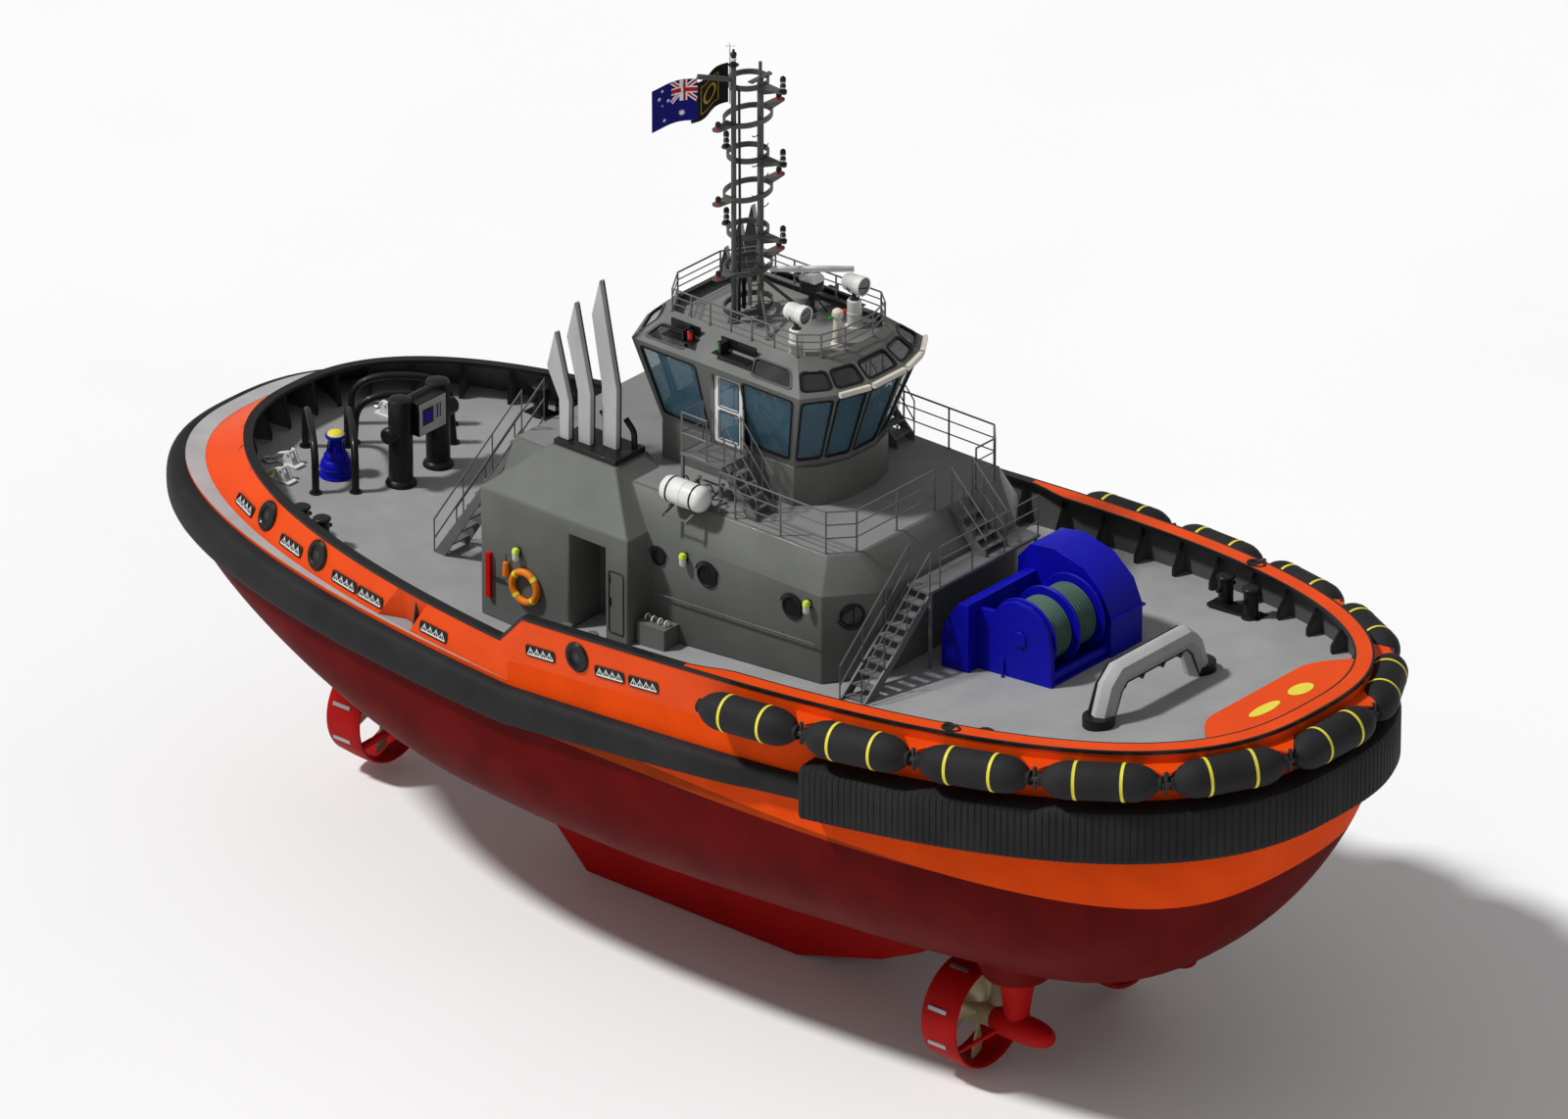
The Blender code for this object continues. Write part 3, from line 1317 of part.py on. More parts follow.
def build_roof_gear():
    for name, x, y, height in SEARCHLIGHTS:
        top = ROOF_Z + height
        fuse(f"searchlight_pillar_{name}", [cylinder((x, y, ROOF_Z + GAP), (x, y, top), 0.16, 16)], "white")
        neck = cylinder((x, y, top + GAP), (x, y, top + 0.3), 0.06, 10)
        profile = [(0.0, 0.28), (0.2, 0.28), (0.22, 0.2), (0.22, -0.2), (0.12, -0.28), (0.0, -0.28)]
        lamp = turned(profile, (x, y, top + 0.38), "X", 16)
        fuse(f"searchlight_{name}", [neck, lamp], "white", origin=(x, y, top))
    post_x, post_y = -0.15, 0.95
    post_top = ROOF_Z + 1.1
    post = cylinder((post_x, post_y, ROOF_Z + GAP), (post_x, post_y, post_top - 0.15), 0.07, 10)
    dish = cylinder((post_x, post_y, post_top - 0.2), (post_x, post_y, post_top), 0.27, 16)
    fuse("radar_post", [post, dish], "rail_grey")
    motor = box((post_x - 0.2, post_y - 0.15, post_top + GAP), (post_x + 0.2, post_y + 0.15, post_top + 0.24))
    neck = cylinder((post_x, post_y, post_top + 0.2), (post_x, post_y, post_top + 0.34), 0.06, 10)
    bar = box((-0.9, -0.07, post_top + 0.3), (0.9, 0.07, post_top + 0.42))
    bar = moved(bar, (post_x, post_y, 0), (0, 0, 38))
    fuse("radar_scanner", [motor, neck, bar], "white", origin=(post_x, post_y, post_top))
    x, y = 1.2, 0.0
    profile = [(0.0, 0.9), (0.1, 0.86), (0.14, 0.74), (0.1, 0.64), (0.1, 0.1), (0.16, 0.0 + GAP), (0.0, GAP)]
    fuse("binnacle", [turned(profile, (x, y, ROOF_Z), "Z", 14)], "white")


# Flags under the yard: name, hoist y, finish
FLAGS = (("ensign", -1.6, "flag_blue"), ("house", -0.85, "flag_black"))
FLAG_DROP = 0.72
FLAG_FLY = (-0.45, -1.0)
FLAG_THICK = 0.02


def build_flags():
    for name, hoist, finish in FLAGS:
        rings = []
        for step in range(7):
            along = step / 6
            x = YARD_X + FLAG_FLY[0] * along + 0.07 * math.sin(2 * math.pi * along)
            y = hoist + FLAG_FLY[1] * along
            top = YARD_Z - YARD_RADIUS - GAP - 0.16 * along
            low = top - FLAG_DROP
            half = FLAG_THICK / 2
            rings.append([(x - half, y, top), (x + half, y, top), (x + half, y, low), (x - half, y, low)])
        fuse(f"flag_{name}", [loft(rings)], finish)


# Thruster and propeller profiles


def nozzle(x, y, z):
    half = NOZZLE_LENGTH / 2
    profile = [
        (NOZZLE_INNER + 0.07, half),
        (NOZZLE_OUTER - 0.02, half - 0.08),
        (NOZZLE_OUTER, half - 0.25),
        (NOZZLE_OUTER - 0.05, -half),
        (NOZZLE_INNER + 0.02, -half),
        (NOZZLE_INNER, 0.1),
        (NOZZLE_INNER, half - 0.2),
        (NOZZLE_INNER + 0.07, half),
    ]
    return turned(profile, (x, y, z), "X", 24)


def build_thrusters():
    for name, (x, y) in THRUSTERS.items():
        z = SHAFT_Z
        pod = [(0.0, 1.05), (0.16, 1.0), (0.27, 0.8), (0.33, 0.45), (0.33, -0.3), (0.27, -0.62), (0.0, -0.62)]
        shapes = [
            turned(pod, (x, y, z), "X", 16),
            cylinder((x, y, z), (x, y, PAD_BOTTOM_Z - GAP), 0.3, 14, STRUT_RADIUS),
            nozzle(x - NOZZLE_AFT_OF_AXIS, y, z),
            box(
                (x - NOZZLE_AFT_OF_AXIS - 0.3, y - 0.12, z + NOZZLE_OUTER - 0.12),
                (x, y + 0.12, PAD_BOTTOM_Z - 0.03),
            ),
        ]
        for side in (-1, 1):
            fin = cylinder((x - 0.2, y, z), (x - 0.85, y + side * 1.06, z - 0.55), 0.09, 8)
            shapes.append(fin)
        fuse(f"thruster_{name}", shapes, "hull_red", origin=(x, y, z))
        build_propeller(name, x - NOZZLE_AFT_OF_AXIS, y, z)


PITCH = 2.2
HUB_FRONT = NOZZLE_AFT_OF_AXIS - 0.6205
# Blade stations: radius, chord, thickness
BLADE_STATIONS = ((0.16, 0.34, 0.09), (0.5, 0.62, 0.06), (0.85, 0.66, 0.04), (1.09, 0.36, 0.025))


def propeller_blade():
    """A blade standing along +Z, twisted to a constant pitch about the X axis."""
    rings = []
    for radius, chord, thick in BLADE_STATIONS:
        angle = math.atan(PITCH / (2 * math.pi * radius))
        ring = []
        for share, side in ((-0.5, 0), (-0.2, 1), (0.25, 1), (0.5, 0), (0.25, -1), (-0.2, -1)):
            along = share * chord
            out = side * thick / 2
            x = along * math.sin(angle) + out * math.cos(angle)
            y = along * math.cos(angle) - out * math.sin(angle)
            ring.append((x, y, radius))
        rings.append(ring)
    return loft(rings)


def build_propeller(name, x, y, z):
    profile = [(0.0, HUB_FRONT), (0.24, HUB_FRONT), (0.24, -0.1), (0.17, -0.3), (0.0, -0.36)]
    hub = turned(profile, (0, 0, 0), "X", 16)
    blades = [moved(propeller_blade(), (0.1, 0, 0), (90 * index, 0, 0)) for index in range(4)]
    shapes = [moved(shape, (x, y, z)) for shape in (hub, *blades)]
    fuse(f"propeller_{name}", shapes, "bronze", origin=(x, y, z))


def main():
    clear_scene()
    build_hull()
    build_keel_box()
    build_belt()
    build_block()
    build_string()
    build_bulwark()
    build_deckhouse()
    build_funnels()
    build_wheelhouse_base()
    build_wheelhouse_shell()
    build_wheelhouse_roof()
    build_wheelhouse_inside()
    build_doors()
    build_mast()
    build_roof_rail()
    build_deck_rails()
    build_stairs()
    build_winch()
    build_staple()
    build_aft_gear()
    build_hoops()
    build_bollards()
    build_rafts()
    build_roof_gear()
    build_flags()
    build_thrusters()


main()
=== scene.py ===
"""The looks of the harbour tug: smooth hull and fenders, glazed wheelhouse, mast, deck gear and thrusters.

Metres, +X forward, +Y to port, +Z up, with the origin amidships at the waterline.
"""

import logging
import math
from dataclasses import dataclass
from enum import Enum

import bmesh
import bpy
import numpy as np
from mathutils import Matrix, Vector


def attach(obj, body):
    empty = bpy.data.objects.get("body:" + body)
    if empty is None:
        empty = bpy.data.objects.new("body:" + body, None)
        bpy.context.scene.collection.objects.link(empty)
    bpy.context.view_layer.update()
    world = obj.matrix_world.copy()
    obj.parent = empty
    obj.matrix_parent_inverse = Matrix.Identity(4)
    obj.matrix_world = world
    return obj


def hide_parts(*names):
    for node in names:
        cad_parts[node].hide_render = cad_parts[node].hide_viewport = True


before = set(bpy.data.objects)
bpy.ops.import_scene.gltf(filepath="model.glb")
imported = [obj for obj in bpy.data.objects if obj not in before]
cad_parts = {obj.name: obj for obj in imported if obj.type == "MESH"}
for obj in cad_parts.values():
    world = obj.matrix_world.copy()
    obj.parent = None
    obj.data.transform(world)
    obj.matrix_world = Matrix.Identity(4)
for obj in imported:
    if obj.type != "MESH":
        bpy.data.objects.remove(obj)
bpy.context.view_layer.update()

LOG = logging.getLogger("tug")
Pair = tuple[float, float]
Point = tuple[float, float, float]
Colour = tuple[float, float, float]
Array = np.ndarray
Socket = bpy.types.NodeSocket
Obj = bpy.types.Object
UP = np.array((0.0, 0.0, 1.0))
SIDES = (("stbd", -1.0), ("port", 1.0))


# Mesh patches


@dataclass
class Patch:
    """Points and faces of one stretch of surface, and the material slot that it wears."""

    points: Array
    faces: list
    slot: int = 0

    def moved(self, matrix: Array, offset: Array | Point = (0.0, 0.0, 0.0)) -> "Patch":
        """The patch with each point p taken to matrix times p, plus offset.

        Args:
            matrix: three rows and three columns.
            offset: added after the turn.

        Returns:
            A new patch.
        """
        return Patch(
            self.points @ np.asarray(matrix, float).T + np.asarray(offset, float), self.faces, self.slot
        )

    def at(self, offset: Point) -> "Patch":
        """The patch moved by an offset."""
        return self.moved(np.eye(3), offset)

    def mirrored(self) -> "Patch":
        """The patch on the other side of the centreline."""
        return self.moved(np.diag((1.0, -1.0, 1.0)))


Parts = list[Patch]


def circle(count: int) -> Array:
    """Evenly spaced angles round a whole turn."""
    return np.linspace(0, 2 * np.pi, count, endpoint=False)


def running(line: Array) -> Array:
    """The length along a line at each of its points, from 0 at the first."""
    return np.concatenate(([0.0], np.cumsum(np.linalg.norm(np.diff(line, axis=0), axis=1))))


def sampled(line: Array, run: Array, at: float | Array) -> Array:
    """Points of a line at given lengths along it, straight between its own points."""
    return np.stack([np.interp(at, run, line[:, k]) for k in range(3)], axis=-1)


def mirrored(parts: Parts) -> Parts:
    """The same patches on the other side of the centreline."""
    return [part.mirrored() for part in parts]


def on_side(side: float, parts: Parts) -> Parts:
    """Port patches as they are for side 1, and mirrored for side -1."""
    return parts if side > 0 else mirrored(parts)


def grid(
    points: Array, wrap_u: bool = False, wrap_v: bool = False, slot: int = 0, caps: bool = False
) -> Patch:
    """A surface through a grid of points: each cell of four neighbours is a face.

    Args:
        points: array of shape (rows, columns, 3).
        wrap_u: joins the last row to the first.
        wrap_v: joins the last column to the first.
        slot: material slot.
        caps: closes the first and the last row with a face each.

    Returns:
        The patch.
    """
    rows, columns = points.shape[:2]
    index = np.arange(rows * columns).reshape(rows, columns)
    if wrap_u:
        index = np.vstack((index, index[:1]))
    if wrap_v:
        index = np.hstack((index, index[:, :1]))
    quads = np.stack((index[:-1, :-1], index[1:, :-1], index[1:, 1:], index[:-1, 1:]), axis=-1)
    made = Patch(points.reshape(-1, 3), list(quads.reshape(-1, 4)), slot)
    if caps:
        made.faces += [np.arange(columns), np.arange(columns) + (rows - 1) * columns]
    return made


def ribbon(one: Array, two: Array, steps: int = 1, wrap: bool = False, slot: int = 0) -> Patch:
    """A ruled surface between two lines: each point is (1 - s) one + s two, for s in even steps."""
    share = np.linspace(0.0, 1.0, steps + 1)[None, :, None]
    return grid(one[:, None] * (1 - share) + two[:, None] * share, wrap_u=wrap, slot=slot)


def rims(rings: list, slot: int = 0) -> Parts:
    """Ruled surfaces between neighbouring closed rings."""
    return [ribbon(one, two, wrap=True, slot=slot) for one, two in zip(rings, rings[1:])]


def disc(ring: Array, slot: int = 0) -> Patch:
    """One flat face inside a ring of points."""
    return Patch(np.asarray(ring, float), [np.arange(len(ring))], slot)


def box(low: Point, high: Point, slot: int = 0) -> Patch:
    """A block between two corners: its eight points are every mix of their coordinates.

    Args:
        low: the corner with the lowest coordinates.
        high: the opposite corner.
        slot: material slot.

    Returns:
        The patch.
    """
    low, high = np.asarray(low, float), np.asarray(high, float)
    mix = np.array([(x, y, z) for x in (0, 1) for y in (0, 1) for z in (0, 1)], float)
    faces = [(0, 1, 3, 2), (4, 6, 7, 5), (0, 4, 5, 1), (2, 3, 7, 6), (0, 2, 6, 4), (1, 5, 7, 3)]
    return Patch(low + mix * (high - low), [np.array(face) for face in faces], slot)


def prism(outline: Array | list, low: float, high: float, plane: str = "XY", slot: int = 0) -> Patch:
    """A flat outline carried from low to high along the axis that its plane leaves out.

    Args:
        outline: flat points, in the plane's two axes.
        low: where it starts on the third axis.
        high: where it ends.
        plane: XY, XZ or YZ.
        slot: material slot.

    Returns:
        The patch, with both ends closed.
    """
    outline = np.asarray(outline, float)
    order = {"XY": (0, 1, 2), "XZ": (0, 2, 1), "YZ": (1, 2, 0)}[plane]
    rings = np.zeros((2, len(outline), 3))
    rings[:, :, order[0]] = outline[:, 0]
    rings[:, :, order[1]] = outline[:, 1]
    rings[0, :, order[2]] = low
    rings[1, :, order[2]] = high
    return grid(rings, wrap_v=True, slot=slot, caps=True)


def frames_along(path: Array, wrap: bool) -> tuple[Array, Array]:
    """Two directions square to a path at each point.

    The first is the normal of the plane that fits the path best, made square to the tangent, and the
    second is the cross product of tangent and first.

    Args:
        path: points of the path.
        wrap: whether the path closes on itself.

    Returns:
        The first and the second direction at each point.
    """
    if wrap:
        tangent = np.roll(path, -1, axis=0) - np.roll(path, 1, axis=0)
    else:
        tangent = np.gradient(path, axis=0)
    tangent /= np.linalg.norm(tangent, axis=1, keepdims=True)
    middle = path - path.mean(axis=0)
    flat = np.linalg.svd(middle, full_matrices=True)[2][2]
    one = flat - tangent * (tangent @ flat)[:, None]
    one /= np.linalg.norm(one, axis=1, keepdims=True)
    return one, np.cross(tangent, one)


def tube(
    path: Array | list,
    radius: float | Array,
    sides: int,
    wrap: bool = False,
    slot: int = 0,
    flat: float = 1.0,
) -> Patch:
    """A round tube: path plus radius times cosine and sine of the angle along the two frame directions.

    Args:
        path: points of the centre line.
        radius: one radius, or one for each point.
        sides: points round the tube.
        wrap: closes the path on itself.
        slot: material slot.
        flat: squeezes the second direction, for a flat band.

    Returns:
        The patch, with its ends closed.
    """
    path = np.asarray(path, float)
    one, two = frames_along(path, wrap)
    angle = circle(sides)
    radius = np.broadcast_to(np.asarray(radius, float), (len(path),))
    ring = np.cos(angle)[None, :, None] * one[:, None] + flat * np.sin(angle)[None, :, None] * two[:, None]
    points = path[:, None] + ring * radius[:, None, None]
    return grid(points, wrap_u=wrap, wrap_v=True, slot=slot, caps=not wrap)


def bar(start: Point | Array, end: Point | Array, radius: float, sides: int, slot: int = 0) -> Patch:
    """A straight round bar between two points."""
    return tube([start, end], radius, sides, slot=slot)


AXES = {
    "Z": np.eye(3),
    "X": np.array(((0.0, 0.0, 1.0), (0.0, 1.0, 0.0), (-1.0, 0.0, 0.0))),
    "Y": np.array(((1.0, 0.0, 0.0), (0.0, 0.0, 1.0), (0.0, -1.0, 0.0))),
}


def turned(profile: list | Array, centre: Point | Array, axis: str, steps: int, slot: int = 0) -> Patch:
    """A profile of (radius, height) turned about an axis: (r cos a, r sin a, h) for each angle a.

    Args:
        profile: (radius, height) pairs.
        centre: where height 0 of the axis lies.
        axis: X, Y or Z.
        steps: points round the axis.
        slot: material slot.

    Returns:
        The patch.
    """
    profile = np.asarray(profile, float)
    angle = circle(steps)
    radius, height = profile[:, 0], profile[:, 1]
    points = np.stack(
        (
            np.cos(angle)[:, None] * radius, np.sin(angle)[:, None] * radius, np.ones((steps, 1)) * height
        ), axis=-1
    )
    return grid(points, wrap_u=True, slot=slot).moved(AXES[axis], centre)


def studs(centre: Point, spread: float, count: int, rise: Point, radius: float) -> Parts:
    """Short round bars in a circle, for bolts and ribs.

    Args:
        centre: middle of the circle.
        spread: radius of the circle, which is square to the bars.
        count: number of bars.
        rise: from a bar's foot to its head, along Y or Z.
        radius: radius of a bar.

    Returns:
        The patches.
    """
    made = []
    for angle in circle(count):
        across = spread * math.cos(angle), spread * math.sin(angle)
        out = (across[0], 0.0, across[1]) if rise[1] else (*across, 0.0)
        foot = np.add(centre, out)
        made.append(bar(foot, foot + np.array(rise), radius, 6))
    return made


def arc(centre: Pair, radius: float, start: float, end: float, count: int) -> Array:
    """Points of a flat arc, with its angles in degrees."""
    angle = np.radians(np.linspace(start, end, count))
    return np.stack((centre[0] + radius * np.cos(angle), centre[1] + radius * np.sin(angle)), axis=1)


def rounded(width: float, height: float, radius: float) -> Array:
    """A rectangle about the origin with round corners of five points, as a ring of flat points.

    Args:
        width: along the first axis.
        height: along the second axis.
        radius: of the corners.

    Returns:
        The ring's points.
    """
    x, y = width / 2 - radius, height / 2 - radius
    corners = ((x, y, 0), (-x, y, 90), (-x, -y, 180), (x, -y, 270))
    return np.concatenate([arc((cx, cy), radius, turn, turn + 90, 5) for cx, cy, turn in corners])


def frame_of(along: Array, out: Array) -> Array:
    """A turn whose columns are along, up the surface, and out of it.

    Args:
        along: wanted first direction, made square to the second.
        out: the direction out of the surface.

    Returns:
        Three rows and three columns.
    """
    out = out / np.linalg.norm(out)
    along = along - out * (along @ out)
    along /= np.linalg.norm(along)
    return np.stack((along, np.cross(out, along), out), axis=1)


def smooth_path(points: list, count: int) -> Array:
    """A rounded polyline: linear samples by length, averaged three times with their neighbours.

    Args:
        points: corners of the polyline.
        count: points of the smooth path.

    Returns:
        The path.
    """
    points = np.asarray(points, float)
    length = running(points)
    path = sampled(points, length, np.linspace(0, length[-1], count))
    for _ in range(3):
        path[1:-1] = (path[:-2] + 2 * path[1:-1] + path[2:]) / 4
    return path


# Materials


class Tree:
    """A node tree that is filled by short calls."""

    def __init__(self, tree: bpy.types.NodeTree) -> None:
        """Keeps the tree."""
        self.tree = tree

    def node(self, kind: str, inputs: dict | None = None, **settings: object) -> bpy.types.Node:
        """Adds a node.

        Args:
            kind: the node's type name.
            inputs: a value or another node's output for each input, by name or number.
            settings: properties of the node.

        Returns:
            The node.
        """
        made = self.tree.nodes.new(kind)
        for name, value in settings.items():
            setattr(made, name, value)
        for name, value in (inputs or {}).items():
            if isinstance(value, Socket):
                self.tree.links.new(value, made.inputs[name])
            else:
                made.inputs[name].default_value = value
        return made

    def math(self, operation: str, one: object, two: object = 0.0) -> Socket:
        """The output of a Math node on two values or sockets."""
        return self.node("ShaderNodeMath", {0: one, 1: two}, operation=operation).outputs[0]

    def noise(self, place: Socket, scale: float, detail: float = 4.0) -> Socket:
        """The factor of a Noise Texture."""
        values = {"Vector": place, "Scale": scale, "Detail": detail}
        return self.node("ShaderNodeTexNoise", values).outputs[0]

    def mix(self, share: object, one: object, two: object) -> Socket:
        """The colour between two colours.

        Args:
            share: 0 for the first colour and 1 for the second.
            one: the first colour or socket.
            two: the second colour or socket.

        Returns:
            The mixed colour's socket.
        """
        made = self.node("ShaderNodeMix", data_type="RGBA")
        for socket, value in ((made.inputs[0], share), (made.inputs[6], one), (made.inputs[7], two)):
            if isinstance(value, Socket):
                self.tree.links.new(value, socket)
            else:
                socket.default_value = (*value, 1.0) if isinstance(value, tuple) else value
        return made.outputs[2]

    def feed(self, shader: bpy.types.Node, **inputs: object) -> None:
        """Links a socket, or sets a value, on each named input of a shader; an underscore stands for a space.

        Args:
            shader: the node whose inputs are fed.
            inputs: sockets or values, by input.
        """
        for name, value in inputs.items():
            target = shader.inputs[name.replace("_", " ")]
            if isinstance(value, Socket):
                self.tree.links.new(value, target)
            else:
                target.default_value = value

    def place(self) -> Socket:
        """The Object coordinates."""
        return self.node("ShaderNodeTexCoord").outputs["Object"]

    def span(
        self, value: object, low: float, high: float, start: float = 0.0, end: float = 1.0
    ) -> Socket:
        """A value taken from one range to another, and kept inside it."""
        inputs = {0: value, 1: low, 2: high, 3: start, 4: end}
        return self.node("ShaderNodeMapRange", inputs).outputs[0]


def weathering() -> bpy.types.NodeTree:
    """The shared weathering group: broad patches, downward streaks and a fine relief, on Object coordinates.

    Returns:
        A group with inputs Patch Scale, Grain Scale and outputs Patches, Streaks and Relief.
    """
    name = "weathering"
    found = bpy.data.node_groups.get(name)
    if found:
        return found
    group = bpy.data.node_groups.new(name, "ShaderNodeTree")
    for label in ("Patch Scale", "Grain Scale"):
        group.interface.new_socket(label, in_out="INPUT", socket_type="NodeSocketFloat")
    for label in ("Patches", "Streaks", "Relief"):
        group.interface.new_socket(label, in_out="OUTPUT", socket_type="NodeSocketFloat")
    tree = Tree(group)
    given = tree.node("NodeGroupInput")
    place = tree.place()
    broad = tree.noise(place, given.outputs[0], 5.0)
    drawn = tree.node("ShaderNodeMapping", {"Vector": place, "Scale": (2.2, 2.2, 0.22)}).outputs[0]
    streak = tree.span(tree.noise(drawn, given.outputs[0], 3.0), 0.52, 0.75)
    fine = tree.noise(place, given.outputs[1], 2.0)
    coarse = tree.noise(place, tree.math("MULTIPLY", given.outputs[1], 0.12), 3.0)
    relief = tree.math("ADD", tree.math("MULTIPLY", fine, 0.6), tree.math("MULTIPLY", coarse, 0.4))
    tree.node("NodeGroupOutput", {0: broad, 1: streak, 2: relief})
    return group


class Look(Enum):
    """How a finish's colour is laid out over the object."""

    EVEN = "even"
    HULL = "hull"
    NONSKID = "nonskid"
    RIBBED = "ribbed"


@dataclass(frozen=True)
class Surface:
    """What every material has: a name, and nodes that are filled in once."""

    name: str

    def make(self) -> bpy.types.Material:
        """Builds the material, or returns it if it is there.

        Returns:
            The material, whose title differs from the names of the CAD's own materials.
        """
        title = self.name + "_finish"
        found = bpy.data.materials.get(title)
        if found:
            return found
        made = bpy.data.materials.new(title)
        made.use_nodes = True
        self.fill(Tree(made.node_tree), made.node_tree.nodes["Principled BSDF"])
        return made

    def fill(self, tree: Tree, shader: bpy.types.Node) -> None:
        """Adds the nodes that feed the shader."""
        raise NotImplementedError


@dataclass(frozen=True)
class Finish(Surface):
    """One finish: two close colours that patches mix, its gloss and its relief."""

    colour: Colour
    second: Colour
    roughness: float = 0.45
    metallic: float = 0.0
    coat: float = 0.0
    specular: float = 0.18
    patch_scale: float = 0.9
    grain_scale: float = 60.0
    relief: float = 0.004
    streaks: float = 0.25
    look: Look = Look.EVEN

    def fill(self, tree: Tree, shader: bpy.types.Node) -> None:
        """Adds the nodes: patches of two colours, darker streaks, uneven gloss and a fine relief.

        Args:
            tree: the material's nodes.
            shader: its Principled BSDF.
        """
        inputs = {"Patch Scale": self.patch_scale, "Grain Scale": self.grain_scale}
        worn = tree.node("ShaderNodeGroup", node_tree=weathering())
        for label, value in inputs.items():
            worn.inputs[label].default_value = value
        patches, streaks, height = (worn.outputs[label] for label in ("Patches", "Streaks", "Relief"))
        colour = tree.mix(tree.span(patches, 0.35, 0.65), self.colour, self.second)
        if self.look is Look.HULL:
            colour = self.hull_bands(tree, colour)
        else:
            dark = tuple(part * 0.55 for part in self.colour)
            colour = tree.mix(tree.math("MULTIPLY", streaks, self.streaks), colour, dark)
        rough = tree.math("ADD", tree.math("MULTIPLY", patches, 0.18), self.roughness - 0.09)
        if self.look is Look.NONSKID:
            grit = tree.node("ShaderNodeTexVoronoi", {"Vector": tree.place(), "Scale": 55.0}).outputs[0]
            height = tree.math("ADD", height, grit)
        elif self.look is Look.RIBBED:
            scuff = tree.noise(tree.place(), 3.0, 6.0)
            colour = tree.mix(tree.span(scuff, 0.55, 0.8, 0.0, 0.5), colour, self.second)
        bump = tree.node("ShaderNodeBump", {"Strength": 0.5, "Distance": self.relief, "Height": height})
        tree.feed(shader, Base_Color=colour, Roughness=rough, Normal=bump.outputs[0])
        tree.feed(shader, Metallic=self.metallic, Coat_Weight=self.coat, Specular_IOR_Level=self.specular)

    def hull_bands(self, tree: Tree, red: Socket) -> Socket:
        """Orange over the belt, a darker orange from there down to the paint line forward, which is painted
        shade on the same orange paint, and red below.

        Args:
            tree: the material's nodes.
            red: colour under the line.

        Returns:
            The colour.
        """
        place = tree.place()
        split = tree.node("ShaderNodeSeparateXYZ", {0: place})
        x, z = split.outputs[0], split.outputs[2]
        fore = tree.math("GREATER_THAN", x, LINES.step_x)
        over = tree.math("GREATER_THAN", z, PAINT_LINE_Z)
        belt = tree.math("ADD", tree.math("MULTIPLY", x, LINES.aft_slope), LINES.belt_aft_z)
        above = tree.math("GREATER_THAN", z, belt)
        spread = tree.span(tree.noise(place, 1.4, 5.0), 0.35, 0.65)
        paint = tree.mix(spread, ORANGE.colour, ORANGE.second)
        # The darker orange forward under the belt is painted shade on the same orange paint.
        deep = tree.mix(spread, *SHADED_ORANGE)
        return tree.mix(above, tree.mix(tree.math("MULTIPLY", fore, over), red, deep), paint)


@dataclass(frozen=True)
class Glass(Surface):
    """Window glass: a tinted glossy sheet that is partly seen through."""

    colour: Colour
    alpha: float

    def fill(self, tree: Tree, shader: bpy.types.Node) -> None:
        """Adds the nodes: a film that varies the tint and the haze.

        Args:
            tree: the material's nodes.
            shader: its Principled BSDF.
        """
        film = tree.span(tree.noise(tree.place(), 1.3, 3.0), 0.3, 0.7)
        deep = tuple(part * 0.7 for part in self.colour)
        haze = tree.math("ADD", tree.math("MULTIPLY", film, 0.08), 0.04)
        tree.feed(shader, Base_Color=tree.mix(film, self.colour, deep), Roughness=haze)
        tree.feed(shader, Alpha=self.alpha, Coat_Weight=0.5)


PAINT_LINE_Z = 0.5
# Hull orange darkened for the band forward under the belt and bow block: painted shade.
SHADED_ORANGE = ((0.34, 0.036, 0.001), (0.28, 0.03, 0.001))

RED = Finish(
    "hull_red_paint", (0.11, 0.0008, 0.0006), (0.085, 0.0007, 0.0005), 0.6, specular=0.06, look=Look.HULL
)
# The hull's red made brighter for the keel box and thrusters: the red is their paint, the extra brightness is
# a painted highlight.
LIT_HULL_RED = Finish(
    "lit_hull_red_paint", (0.36, 0.002, 0.0015), (0.30, 0.0018, 0.0012), 0.55, specular=0.1, streaks=0.1
)
ORANGE = Finish("orange_paint", (0.72, 0.062, 0.001), (0.66, 0.054, 0.001), 0.5, streaks=0.06)
RUBBER = Finish(
    "fender_rubber", (0.011, 0.011, 0.012), (0.018, 0.018, 0.019), 0.72, grain_scale=35, relief=0.01,
    look=Look.RIBBED,
)
DECK = Finish(
    "deck_nonskid", (0.30, 0.30, 0.30), (0.265, 0.265, 0.265), 0.75, relief=0.006, streaks=0.05,
    look=Look.NONSKID,
)
LEDGE = Finish("ledge_paint", (0.40, 0.40, 0.40), (0.34, 0.34, 0.34), 0.6, streaks=0.15)
INNER = Finish("bulwark_inner_paint", (0.085, 0.085, 0.083), (0.07, 0.07, 0.068), 0.6, streaks=0.15)
HOUSE = Finish("house_grey_paint", (0.125, 0.130, 0.120), (0.110, 0.115, 0.106), 0.5, coat=0.05, streaks=0.10)
UPPER = Finish(
    "top_deck_grey", (0.215, 0.218, 0.212), (0.19, 0.193, 0.188), 0.65, relief=0.005, streaks=0.03,
    look=Look.NONSKID,
)
DARK = Finish("dark_grey_paint", (0.035, 0.036, 0.035), (0.028, 0.029, 0.028), 0.5)
RAIL = Finish("rail_paint", (0.135, 0.137, 0.134), (0.115, 0.117, 0.114), 0.45, grain_scale=120, relief=0.001)
MAST_GREY = Finish(
    "mast_grey", (0.085, 0.087, 0.082), (0.07, 0.072, 0.068), 0.5, grain_scale=120, relief=0.001
)
BLACK = Finish("black_paint", (0.0065, 0.0065, 0.0065), (0.011, 0.011, 0.011), 0.4, coat=0.1)
WHITE = Finish("white_paint", (0.70, 0.70, 0.68), (0.62, 0.62, 0.60), 0.35, coat=0.2, streaks=0.08)
CREAM = Finish("cream_paint", (0.62, 0.58, 0.50), (0.55, 0.51, 0.44), 0.4, streaks=0.1)
STACK = Finish("stack_grey", (0.42, 0.42, 0.42), (0.36, 0.36, 0.36), 0.4, streaks=0.2)
STEEL = Finish("bare_steel", (0.45, 0.45, 0.46), (0.36, 0.36, 0.37), 0.35, metallic=0.8)
